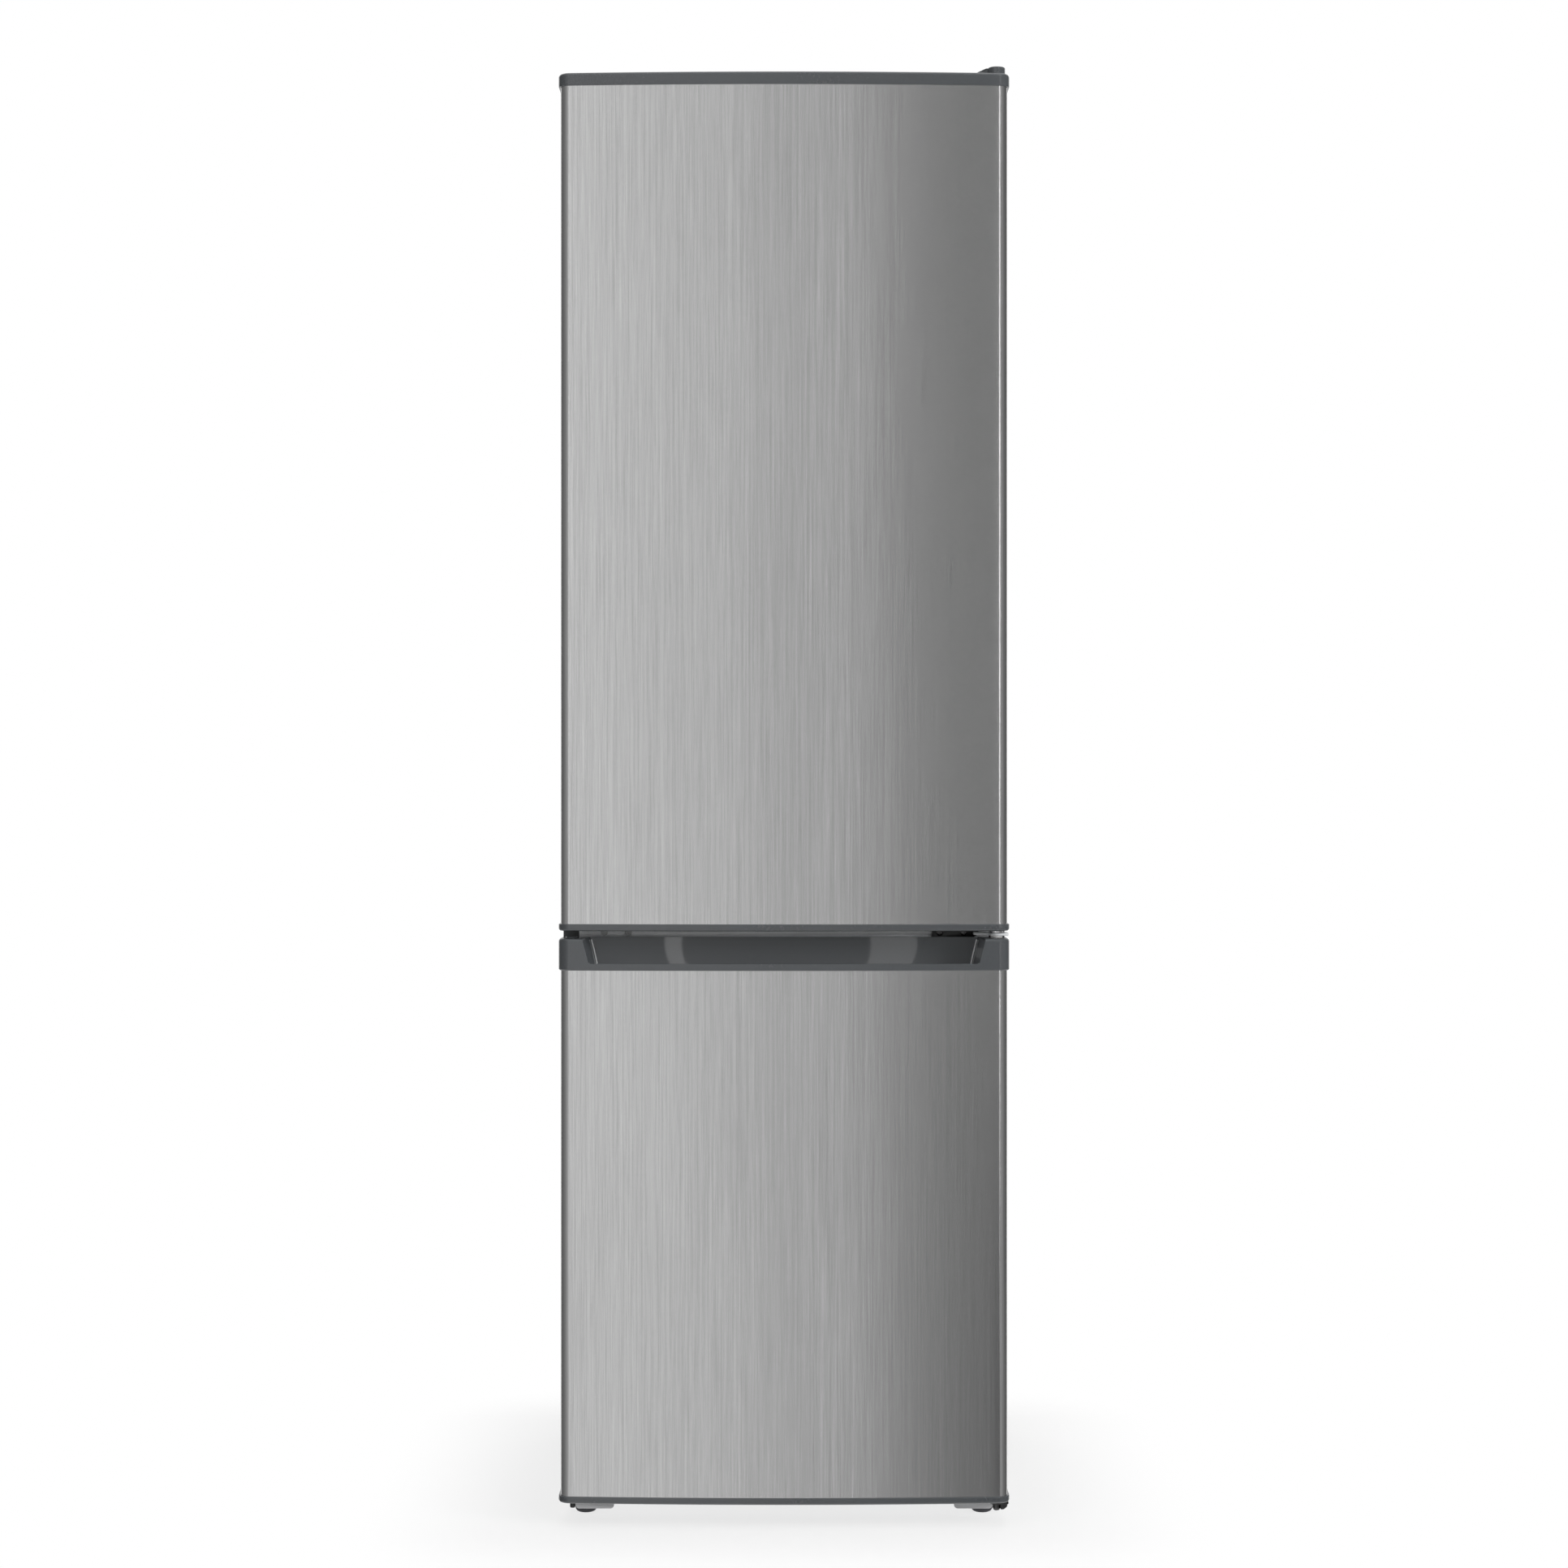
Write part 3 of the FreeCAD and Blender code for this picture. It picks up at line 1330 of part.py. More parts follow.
def balcony_ledge(floor):
    inner = fridge_half_width - door_ring_clearance - door_ring_width
    return block(inner - balcony_ledge_width, inner, door_back + balcony_ledge_front,
                 door_back + balcony_ledge_front + balcony_ledge_length, floor - balcony_ledge_height, floor)


def upper_door_liner():
    sheet = liner_sheet(upper_door_bottom, upper_door_top)
    ledges = []
    for floor in balcony_floors():
        ledges += both_sides(balcony_ledge(floor))
    return sheet.fuse(upper_ring(0)).multiFuse(ledges).cut(upper_ring(door_liner_sheet)).removeSplitter()


def lower_door_liner():
    sheet = liner_sheet(lower_door_bottom, lower_door_top)
    return sheet.fuse(lower_bulge(0)).cut(lower_bulge(door_liner_sheet)).removeSplitter()


def door_foam(low, high):
    return foam_form(low, high).fuse(wide_block(skin_half_width - door_return_width,
                                                door_back - 2 * door_skin_thickness, door_back, low, high))


def upper_door_insulation():
    low = upper_door_bottom + small_cap_height
    high = upper_door_top - top_cap_height
    foam = door_foam(low, high).fuse(upper_ring(door_liner_sheet))
    reach = middle_leaf_bottom + middle_leaf_thickness + middle_pin_reach + seat_gap
    top_reach = cabinet_top - upper_pin_drop - seat_gap
    foam = foam.cut(pin_wells(low - overrun, reach))
    return foam.cut(pin_wells(top_reach, high + overrun)).removeSplitter()


def lower_door_insulation():
    low = lower_door_bottom + small_cap_height
    high = lower_door_top - handle_cap_height
    foam = door_foam(low, high).fuse(lower_bulge(door_liner_sheet))
    room = wide_block(recess_body_half_width, front_y, door_back - recess_body_inset,
                      recess_body_bottom(), lower_door_top)
    foam = foam.cut(room)
    return foam.cut(pin_wells(low - overrun, bottom_pin_bottom + bottom_pin_length + seat_gap)).removeSplitter()


def gasket(low, high):
    """Magnetic seal: foot on the door, thin bellows, broad head on the cabinet side."""
    outer = skin_half_width - gasket_side_inset
    neck = gasket_neck_inset
    base_inset = gasket_base_inset
    base_top = liner_face + gasket_base_height
    head_low = gasket_face - gasket_head_height
    low = low + gasket_edge_inset
    high = high - gasket_edge_inset
    foot = ring(outer - base_inset, gasket_width - 2 * base_inset, liner_face, base_top,
                low + base_inset, high - base_inset)
    bellows = ring(outer - neck, gasket_width - 2 * neck, base_top, head_low, low + neck, high - neck)
    head = ring(outer, gasket_width, head_low, gasket_face, low, high)
    return foot.fuse(bellows).fuse(head).removeSplitter()


def balcony(index):
    floor = balcony_floors()[index]
    half = fridge_half_width - door_ring_clearance - door_ring_width - seat_gap
    return tray(half, liner_face + seat_gap, door_back + balcony_reach, floor, floor + balcony_heights[index],
                balcony_taper, balcony_wall, balcony_rim)


skin_top_low = upper_door_bottom + small_cap_height
skin_top_high = upper_door_top - top_cap_height
skin_low_low = lower_door_bottom + small_cap_height
skin_low_high = lower_door_top - handle_cap_height

shapes = {
    "cabinet_shell": cabinet_shell(),
    "back_panel": back_panel(),
    "base_pan": base_pan(),
    "cabinet_insulation": cabinet_insulation(),
    "fridge_liner": fridge_liner(),
    "freezer_liner": freezer_liner(),
    "divider_strip": divider_strip(),
    "divider_plugs": divider_plugs(),
    "top_hinge_bracket": top_hinge_bracket(),
    "top_hinge_cover": top_hinge_cover(),
    "middle_hinge_bracket": middle_hinge_bracket(),
    "hinge_washers": hinge_washers(),
    "hinge_screws": hinge_screws(),
    "bottom_hinge_bracket": bottom_hinge_bracket(),
    "left_foot_bracket": left_foot_bracket(),
    "levelling_foot_right": levelling_foot(),
    "levelling_foot_left": mirrored(levelling_foot()),
    "compressor_rail": compressor_rail(),
    "roller_right": roller(),
    "roller_left": mirrored(roller()),
    "compressor": compressor(),
    "compressor_grommets": compressor_grommets(),
    "relay_cover": relay_cover(),
    "drip_tray": drip_tray(),
    "drain_tube": drain_tube(),
    "condenser_tube": condenser_tube(),
    "condenser_wires": condenser_wires(),
    "condenser_clips": condenser_clips(),
    "refrigerant_pipes": refrigerant_pipes(),
    "evaporator_shelves": evaporator_shelves(),
    "glass_shelf_1": glass_sheet(shelf_heights[0]),
    "glass_shelf_2": glass_sheet(shelf_heights[1]),
    "glass_shelf_3": glass_sheet(shelf_heights[2]),
    "crisper_cover": glass_sheet(crisper_cover_height),
    "shelf_trims": shelf_trims(),
    "crisper_drawer": crisper_drawer(),
    "freezer_drawer_1": freezer_drawer(0),
    "freezer_drawer_2": freezer_drawer(1),
    "freezer_drawer_3": freezer_drawer(2),
    "control_housing": control_housing(),
    "lamp_cover": lamp_cover(),
    "lamp": lamp(),
    "thermostat_knob": thermostat_knob(),
    "light_switch": light_switch(),
    "upper_door_skin": door_skin(skin_top_low, skin_top_high),
    "upper_door_top_cap": upper_door_top_cap(),
    "upper_door_bottom_cap": bottom_cap(upper_door_bottom),
    "upper_door_liner": upper_door_liner(),
    "upper_door_insulation": upper_door_insulation(),
    "upper_door_gasket": gasket(upper_door_bottom, upper_door_top),
    "balcony_1": balcony(0),
    "balcony_2": balcony(1),
    "balcony_3": balcony(2),
    "lower_door_skin": door_skin(skin_low_low, skin_low_high),
    "lower_door_handle_cap": handle_cap(),
    "lower_door_bottom_cap": bottom_cap(lower_door_bottom),
    "lower_door_liner": lower_door_liner(),
    "lower_door_insulation": lower_door_insulation(),
    "lower_door_gasket": gasket(lower_door_bottom, lower_door_top),
    "handle_cap_plug": handle_cap_plug(),
}

os.makedirs("parts", exist_ok=True)
for name, shape in shapes.items():
    shape.exportStep("parts/" + name + ".step")
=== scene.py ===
"""Fridge freezer with two brushed doors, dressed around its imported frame."""
import sys

import logging
import math
from collections.abc import Callable, Sequence
from dataclasses import dataclass
from enum import Enum
from functools import cache

import bmesh
import bpy
from mathutils import Matrix, Vector


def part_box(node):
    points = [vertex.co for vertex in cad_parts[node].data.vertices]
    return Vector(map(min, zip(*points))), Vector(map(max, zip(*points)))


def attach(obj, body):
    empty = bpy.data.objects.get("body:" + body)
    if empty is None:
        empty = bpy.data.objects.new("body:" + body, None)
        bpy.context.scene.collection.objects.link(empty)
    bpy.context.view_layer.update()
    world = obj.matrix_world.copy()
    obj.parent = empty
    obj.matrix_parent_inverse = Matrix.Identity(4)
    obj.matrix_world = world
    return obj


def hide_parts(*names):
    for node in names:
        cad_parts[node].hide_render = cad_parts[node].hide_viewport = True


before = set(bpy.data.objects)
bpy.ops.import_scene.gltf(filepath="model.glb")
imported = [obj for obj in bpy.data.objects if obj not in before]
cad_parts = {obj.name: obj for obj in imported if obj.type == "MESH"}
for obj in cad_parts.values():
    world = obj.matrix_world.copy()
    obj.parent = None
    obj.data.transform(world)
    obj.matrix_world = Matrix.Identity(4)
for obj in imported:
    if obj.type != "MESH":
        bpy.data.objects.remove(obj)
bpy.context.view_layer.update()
LOG = logging.getLogger("fridge_freezer")

Outline = list[tuple[float, float]]
Ring = list[Vector]
Colour = tuple[float, float, float]
Piece = bpy.types.Object
Tree = bpy.types.NodeTree
Socket = bpy.types.NodeSocket

SHARP_ANGLE = 32.0
FLAT_ANGLE = 0.5
MERGE_DISTANCE = 1e-6
LEAST_CORNER = 0.0004
LEAST_RADIUS = 1e-7
WHITE = (1, 1, 1, 1)
UP, DOWN, FORWARD = Vector((0, 0, 1)), Vector((0, 0, -1)), Vector((0, -1, 0))
BALCONIES = ("balcony_1", "balcony_2", "balcony_3")
SHELVES = ("glass_shelf_1", "glass_shelf_2", "glass_shelf_3", "crisper_cover")


def grey(level: float, blue: float = 0.0) -> Colour:
    """Linear colour of a neutral tone.

    Args:
        level: Display level from 0 to 255.
        blue: How many levels the blue stands above the red.

    Returns:
        Red, green and blue in linear light.
    """
    def linear(value: float) -> float:
        """Display level to linear light."""
        share = value / 255
        return share / 12.92 if share <= 0.04045 else ((share + 0.055) / 1.055) ** 2.4
    return linear(level - blue / 2), linear(level), linear(level + blue / 2)


class Axis(Enum):
    """Direction that an outline is drawn out along, with the plane of the outline."""
    X = "x"
    Y = "y"
    Z = "z"

    def point(self, across: float, rise: float, along: float) -> Vector:
        """Point from its place in the outline and its place along the axis.

        Args:
            across: First coordinate of the outline.
            rise: Second coordinate of the outline.
            along: Place along the axis.

        Returns:
            The point in the frame.
        """
        if self is Axis.X:
            return Vector((along, across, rise))
        if self is Axis.Y:
            return Vector((across, along, rise))
        return Vector((across, rise, along))


# Outlines

def arc(centre: tuple[float, float], radius: float, start: float, end: float, steps: int) -> Outline:
    """Points along an arc between two angles in degrees, one more than it has chords."""
    turns = [math.radians(start + (end - start) * step / steps) for step in range(steps + 1)]
    return [(centre[0] + radius * math.cos(turn), centre[1] + radius * math.sin(turn)) for turn in turns]


def rounded_rectangle(x0: float, x1: float, z0: float, z1: float, radius: float, steps: int = 6) -> Outline:
    """Rectangle with round corners, always with the same number of points.

    Args:
        x0: Left side.
        x1: Right side.
        z0: Lower side.
        z1: Upper side.
        radius: Radius of the corners.
        steps: Chords in each corner.

    Returns:
        Points counter-clockwise from the lower right corner.
    """
    corners = (((x1 - radius, z0 + radius), -90), ((x1 - radius, z1 - radius), 0),
               ((x0 + radius, z1 - radius), 90), ((x0 + radius, z0 + radius), 180))
    points: Outline = []
    for centre, start in corners:
        points += arc(centre, radius, start, start + 90, steps)
    return points


def round_corners(points: Outline, radii: float | Sequence[float], steps: int = 5,
                  closed: bool = True) -> Outline:
    """Outline with each corner replaced by an arc.

    Args:
        points: Corners in order.
        radii: One radius for all corners, or one for each.
        steps: Chords in each arc.
        closed: False keeps both ends of an open line.

    Returns:
        The rounded outline.
    """
    sizes = [radii] * len(points) if isinstance(radii, (int, float)) else list(radii)
    result: Outline = []
    for index, (corner, radius) in enumerate(zip(points, sizes)):
        if radius <= 0 or (not closed and index in (0, len(points) - 1)):
            result.append(corner)
            continue
        here = Vector(corner)
        inward = (Vector(points[index - 1]) - here).normalized()
        outward = (Vector(points[(index + 1) % len(points)]) - here).normalized()
        half = inward.angle(outward) / 2
        if half > math.radians(89):
            result.append(corner)
            continue
        reach = radius / math.tan(half)
        centre = here + (inward + outward).normalized() * (radius / math.sin(half))
        first = here + inward * reach - centre
        last = here + outward * reach - centre
        turn = first.angle_signed(last)
        for step in range(steps + 1):
            spot = centre + Matrix.Rotation(-turn * step / steps, 2) @ first
            result.append((spot.x, spot.y))
    return result


# Meshes

def linked(name: str, data: bpy.types.ID) -> Piece:
    """Object linked to the scene.

    Args:
        name: Name of the object.
        data: Its mesh, camera or lamp.

    Returns:
        The object.
    """
    obj = bpy.data.objects.new(name, data)
    bpy.context.scene.collection.objects.link(obj)
    return obj


def shaded(mesh: bpy.types.Mesh, sharp: float = SHARP_ANGLE) -> None:
    """Shade a mesh smooth, with hard edges where it turns by more degrees than sharp."""
    mesh.shade_smooth()
    mesh.set_sharp_from_angle(angle=math.radians(sharp))


def mesh_object(name: str, verts: Sequence[Vector], faces: Sequence[Sequence[int]],
                sharp: float = SHARP_ANGLE) -> Piece:
    """Closed smooth mesh with normals outward and hard edges where it turns sharply.

    Args:
        name: Name of the piece.
        verts: Points.
        faces: Indices of each face.
        sharp: Angle in degrees past which an edge stays hard.

    Returns:
        The object, linked to the scene.
    """
    mesh = bpy.data.meshes.new(name)
    mesh.from_pydata([tuple(vert) for vert in verts], [], faces)
    work = bmesh.new()
    work.from_mesh(mesh)
    bmesh.ops.remove_doubles(work, verts=work.verts, dist=MERGE_DISTANCE)
    bmesh.ops.dissolve_degenerate(work, edges=work.edges, dist=MERGE_DISTANCE)
    bmesh.ops.recalc_face_normals(work, faces=work.faces)
    work.to_mesh(mesh)
    work.free()
    shaded(mesh, sharp)
    return linked(name, mesh)


def loft(name: str, rings: Sequence[Ring], closed: bool = False, sharp: float = SHARP_ANGLE) -> Piece:
    """Skin through rings of equal length.

    Args:
        name: Name of the piece.
        rings: Rings in order.
        closed: True joins the last ring to the first, otherwise both ends get a face.
        sharp: Angle in degrees past which an edge stays hard.

    Returns:
        The object.
    """
    count = len(rings[0])
    verts = [point for ring in rings for point in ring]
    faces: list[list[int]] = []
    for index in range(len(rings) if closed else len(rings) - 1):
        low = index * count
        high = (index + 1) % len(rings) * count
        for step in range(count):
            after = (step + 1) % count
            faces.append([low + step, low + after, high + after, high + step])
    if not closed:
        faces.append(list(range(count)))
        faces.append([(len(rings) - 1) * count + step for step in range(count)])
    return mesh_object(name, verts, faces, sharp)


def prism(name: str, outline: Outline, axis: Axis, low: float, high: float) -> Piece:
    """Outline drawn out along an axis from low to high."""
    return loft(name, [[axis.point(a, b, along) for a, b in outline] for along in (low, high)])


def lathe(name: str, profile: Outline, centre: Vector, axis: Axis = Axis.Z, steps: int = 48) -> Piece:
    """Profile turned about an axis.

    Args:
        name: Name of the piece.
        profile: Radius and place along the axis, from one end of the shape to the other.
        centre: Point that the axis goes through.
        axis: Axis of the turn.
        steps: Number of sides.

    Returns:
        The object.
    """
    rings = []
    for radius, along in profile:
        ring = arc((0, 0), max(radius, LEAST_RADIUS), 0, 360 - 360 / steps, steps - 1)
        rings.append([axis.point(a, b, along) + centre for a, b in ring])
    hollow = profile[0] == profile[-1]
    return loft(name, rings[:-1] if hollow else rings, closed=hollow)


def rod(name: str, radius: float, low: float, high: float, centre: Vector, axis: Axis = Axis.Z,
        steps: int = 48) -> Piece:
    """Round rod about an axis from low to high."""
    return lathe(name, [(0, low), (radius, low), (radius, high), (0, high)], centre, axis, steps)


def rounded_box(name: str, low: Sequence[float], high: Sequence[float], radius: float,
                steps: int = 3) -> Piece:
    """Box with all its edges rounded.

    Args:
        name: Name of the piece.
        low: Lowest corner.
        high: Highest corner.
        radius: Radius of the edges.
        steps: Chords in each round.

    Returns:
        The object.
    """
    x0, y0, z0 = low
    x1, y1, z1 = high
    verts = [Vector((x, y, z)) for x in (x0, x1) for y in (y0, y1) for z in (z0, z1)]
    faces = [[0, 1, 3, 2], [4, 6, 7, 5], [0, 4, 5, 1], [2, 3, 7, 6], [0, 2, 6, 4], [1, 5, 7, 3]]
    return softened(mesh_object(name, verts, faces), radius, steps)


def softened(obj: Piece, radius: float, steps: int = 2, angle: float = SHARP_ANGLE) -> Piece:
    """Round the hard edges of a piece.

    Args:
        obj: The piece.
        radius: Width of the round.
        steps: Chords in each round.
        angle: Edges that turn by more degrees than this are rounded.

    Returns:
        The same piece with its mesh finished.
    """
    bevel = obj.modifiers.new("edges", "BEVEL")
    bevel.width = radius
    bevel.segments = steps
    bevel.limit_method = "ANGLE"
    bevel.angle_limit = math.radians(angle)
    bevel.use_clamp_overlap = True
    bevel.miter_outer = "MITER_ARC"
    shading = obj.modifiers.new("shading", "WEIGHTED_NORMAL")
    shading.keep_sharp = False
    shading.weight = 80
    settle(obj)
    return obj


def settle(obj: Piece) -> None:
    """Make the mesh of a piece what its modifiers show, and take them off.

    Args:
        obj: The piece.
    """
    bpy.context.view_layer.update()
    graph = bpy.context.evaluated_depsgraph_get()
    mesh = bpy.data.meshes.new_from_object(obj.evaluated_get(graph), depsgraph=graph)
    old = obj.data
    obj.modifiers.clear()
    obj.data = mesh
    mesh.name = old.name
    bpy.data.meshes.remove(old)


def carve(obj: Piece, *cutters: Piece) -> Piece:
    """Take the cutters out of a piece and remove them.

    Args:
        obj: The piece.
        *cutters: What is cut away.

    Returns:
        The same piece.
    """
    for cutter in cutters:
        cut = obj.modifiers.new("cut", "BOOLEAN")
        cut.operation = "DIFFERENCE"
        cut.solver = "EXACT"
        cut.object = cutter
        cut.material_mode = "TRANSFER"
        settle(obj)
        remove(cutter)
    shaded(obj.data)
    return obj


def joined(name: str, *objects: Piece) -> Piece:
    """One piece from several meshes.

    Args:
        name: Name of the piece.
        *objects: Meshes that become one.

    Returns:
        The new object; the others are gone.
    """
    work = bmesh.new()
    materials: list[bpy.types.Material] = []
    for obj in objects:
        start = len(work.faces)
        work.from_mesh(obj.data)
        work.faces.ensure_lookup_table()
        slots = list(obj.data.materials)
        for material in slots:
            if material not in materials:
                materials.append(material)
        for face in work.faces[start:]:
            if slots:
                face.material_index = materials.index(slots[min(face.material_index, len(slots) - 1)])
    mesh = bpy.data.meshes.new(name)
    work.to_mesh(mesh)
    work.free()
    for material in materials:
        mesh.materials.append(material)
    for obj in objects:
        remove(obj)
    shaded(mesh)
    return linked(name, mesh)


def mirrored(obj: Piece, name: str) -> Piece:
    """Copy of a piece on the other side of the middle plane.

    Args:
        obj: The piece.
        name: Name of the copy.

    Returns:
        The copy.
    """
    mesh = obj.data.copy()
    mesh.transform(Matrix.Scale(-1, 4, (1, 0, 0)))
    mesh.flip_normals()
    return linked(name, mesh)


def remove(obj: Piece) -> None:
    """Take an object and its mesh out of the file.

    Args:
        obj: The object.
    """
    mesh = obj.data
    bpy.data.objects.remove(obj)
    bpy.data.meshes.remove(mesh)


@dataclass(frozen=True)
class Pocket:
    """Rounded rectangle that a profile is swept round, for tubs, liners, rings and seals.

    Attributes:
        axis: Direction square to the rectangle.
        low: Lowest corner of the rectangle.
        high: Highest corner of the rectangle.
        corner: Radius of its corners.
        steps: Chords in each corner.
    """
    axis: Axis
    low: tuple[float, float]
    high: tuple[float, float]
    corner: float
    steps: int = 6

    def ring(self, inset: float, along: float, lift: float = 0.0) -> Ring:
        """Rectangle drawn in by an inset at a place along the axis, its lower side raised by a lift."""
        outline = rounded_rectangle(self.low[0] + inset, self.high[0] - inset, self.low[1] + inset + lift,
                                    self.high[1] - inset, max(self.corner - inset, LEAST_CORNER), self.steps)
        return [self.axis.point(a, b, along) for a, b in outline]

    def swept(self, name: str, profile: Outline, closed: bool = False) -> Piece:
        """Skin of a profile of insets and places along the axis; a closed one makes a ring."""
        return loft(name, [self.ring(inset, along) for inset, along in profile], closed)


def merged(node: str) -> bmesh.types.BMesh:
    """Mesh of a node with its triangles merged to whole flat faces.

    Args:
        node: Name of the node.

    Returns:
        The mesh, in the frame; the caller frees it.
    """
    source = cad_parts[node]
    work = bmesh.new()
    work.from_mesh(source.data)
    work.transform(source.matrix_world)
    bmesh.ops.remove_doubles(work, verts=work.verts, dist=MERGE_DISTANCE)
    bmesh.ops.dissolve_limit(work, angle_limit=math.radians(FLAT_ANGLE), verts=work.verts, edges=work.edges)
    return work


def refined(node: str, radius: float, steps: int = 2) -> Piece:
    """Copy of a node with whole flat faces and rounded edges.

    Args:
        node: Name of the node.
        radius: Width of the round.
        steps: Chords in each round.

    Returns:
        The copy.
    """
    work = merged(node)
    verts = [vert.co.copy() for vert in work.verts]
    faces = [[vert.index for vert in face.verts] for face in work.faces]
    work.free()
    return softened(mesh_object(node + "_finished", verts, faces), radius, steps)


def shrunk(node: str, distance: float) -> Piece:
    """Copy of a node whose faces all stand back into it.

    Args:
        node: Name of the node.
        distance: How far they stand back.

    Returns:
        The copy.
    """
    same_way = 0.97
    work = merged(node)
    work.normal_update()
    verts = []
    for vert in work.verts:
        normals: list[Vector] = []
        for face in vert.link_faces:
            if all(face.normal.dot(other) < same_way for other in normals):
                normals.append(face.normal.copy())
        verts.append(vert.co - sum(normals, Vector()) * distance)
    faces = [[vert.index for vert in face.verts] for face in work.faces]
    work.free()
    return mesh_object(node + "_filling", verts, faces)


def tub(name: str, low: Vector, high: Vector, taper: float, wall: float, rim: float,
        corner: float, fillet: float, lip: float = 0.0) -> Piece:
    """Open moulded tub with round corners, a turned-out rim and a filleted floor.

    Args:
        name: Name of the piece.
        low: Lowest corner.
        high: Highest corner.
        taper: How much narrower each side is at the bottom.
        wall: Thickness of the wall.
        rim: How far the rim stands out.
        corner: Radius of the upright corners at the rim.
        fillet: Radius round the floor.
        lip: Height of the rim, or 0 for the thickness of the wall.

    Returns:
        The object.
    """
    pocket = Pocket(Axis.Z, (low.x, low.y), (high.x, high.y), corner)
    inner = rim + wall
    rise = lip or wall
    far = taper + inner + 2 * fillet
    points = [(far, low.z), (taper + rim, low.z), (rim, high.z - rise), (0, high.z - rise), (0, high.z),
              (inner, high.z), (taper + inner, low.z + wall), (far, low.z + wall)]
    small = min(wall, rise) * 0.45
    radii = (0, fillet, small, small, small, small, max(fillet - wall, small), 0)
    return pocket.swept(name, round_corners(points, radii, 4, closed=False))


# Finishes

class NodeBench:
    """Short way to place and link the nodes of one tree."""

    def __init__(self, tree: Tree) -> None:
        """Start on a tree."""
        self.tree = tree

    def node(self, kind: str, inputs: dict | None = None, **settings: object) -> bpy.types.Node:
        """Place a node.

        Args:
            kind: Type of the node.
            inputs: Values or links of its inputs, by name or number.
            **settings: Properties to set on it.

        Returns:
            The node.
        """
        node = self.tree.nodes.new(kind)
        for key, value in settings.items():
            setattr(node, key, value)
        for key, value in (inputs or {}).items():
            self.feed(node.inputs[key], value)
        return node

    def feed(self, socket: Socket, value: object) -> None:
        """Link a socket, or set its value.

        Args:
            socket: Input socket.
            value: Output socket or plain value.
        """
        if isinstance(value, Socket):
            self.tree.links.new(value, socket)
        else:
            socket.default_value = value

    def math(self, operation: str, *values: object) -> Socket:
        """Output of a math node."""
        return self.node("ShaderNodeMath", dict(enumerate(values)), operation=operation).outputs[0]

    def vector(self, operation: str, *values: object) -> Socket:
        """Output of a vector math node."""
        return self.node("ShaderNodeVectorMath", dict(enumerate(values)), operation=operation).outputs[0]

    def spread(self, value: object, low: float, high: float) -> Socket:
        """Map a value from 0 and 1 to two ends."""
        inputs = {"Value": value, "To Min": low, "To Max": high}
        return self.node("ShaderNodeMapRange", inputs, clamp=True).outputs["Result"]

    def blend(self, factor: object, first: Colour, second: Colour) -> Socket:
        """Mix of two colours."""
        inputs = {0: factor, 6: (*first, 1), 7: (*second, 1)}
        return self.node("ShaderNodeMix", inputs, data_type="RGBA").outputs[2]

    def group(self, tree: Tree, **values: object) -> bpy.types.Node:
        """Place a shared group; _ stands for a space in the names of its inputs."""
        inputs = {name.replace("_", " "): value for name, value in values.items()}
        return self.node("ShaderNodeGroup", inputs, node_tree=tree)


def cleared(owner: bpy.types.Material | bpy.types.World) -> NodeBench:
    """Empty the node tree of a material or world.

    Args:
        owner: The material or world.

    Returns:
        The bench of its tree.
    """
    owner.use_nodes = True
    owner.node_tree.nodes.clear()
    return NodeBench(owner.node_tree)


def shader_group(name: str, inputs: dict[str, str], outputs: dict[str, str]) -> tuple[NodeBench, dict, dict]:
    """Empty shader node group.

    Args:
        name: Name of the group.
        inputs: Socket type of each input name.
        outputs: Socket type of each output name.

    Returns:
        The bench, the sockets that bring the inputs and the sockets that take the outputs.
    """
    tree = bpy.data.node_groups.new(name, "ShaderNodeTree")
    for label, kind in inputs.items():
        tree.interface.new_socket(label, in_out="INPUT", socket_type=kind)
    for label, kind in outputs.items():
        tree.interface.new_socket(label, in_out="OUTPUT", socket_type=kind)
    bench = NodeBench(tree)
    source = bench.node("NodeGroupInput")
    sink = bench.node("NodeGroupOutput")
    return bench, {key: source.outputs[key] for key in inputs}, {key: sink.inputs[key] for key in outputs}


@cache
def grain_group() -> Tree:
    """Fine pattern stretched along one direction, for brushing, moulding texture and rolled sheet.

    Returns:
        The group, with a coarse and a fine value.
    """
    bench, given, out = shader_group("surface_grain", {"Place": "NodeSocketVector", "Cells": "NodeSocketVector"},
                                     {"Coarse": "NodeSocketFloat", "Fine": "NodeSocketFloat"})
    place = bench.vector("MULTIPLY", given["Place"], given["Cells"])
    for label, scale, detail in (("Coarse", 0.23, 2.0), ("Fine", 1.0, 1.0)):
        noise = bench.node("ShaderNodeTexNoise", {"Vector": place, "Scale": scale, "Detail": detail},
                           noise_dimensions="3D")
        bench.feed(out[label], bench.spread(bench.math("MULTIPLY_ADD", noise.outputs["Fac"], 2.0, -0.5), 0, 1))
    return bench.tree


@cache
def drift_group() -> Tree:
    """Broad uneven pattern, for handling marks, settled dust and uneven paint.

    Returns:
        The group, with one value.
    """
    bench, given, out = shader_group("surface_drift", {"Place": "NodeSocketVector", "Cells": "NodeSocketFloat"},
                                     {"Drift": "NodeSocketFloat"})
    noise = bench.node("ShaderNodeTexNoise", {"Vector": given["Place"], "Scale": given["Cells"], "Detail": 4.0,
                                              "Roughness": 0.55, "Distortion": 0.4}, noise_dimensions="3D")
    bench.feed(out["Drift"], bench.spread(bench.math("MULTIPLY_ADD", noise.outputs["Fac"], 2.2, -0.6), 0, 1))
    return bench.tree


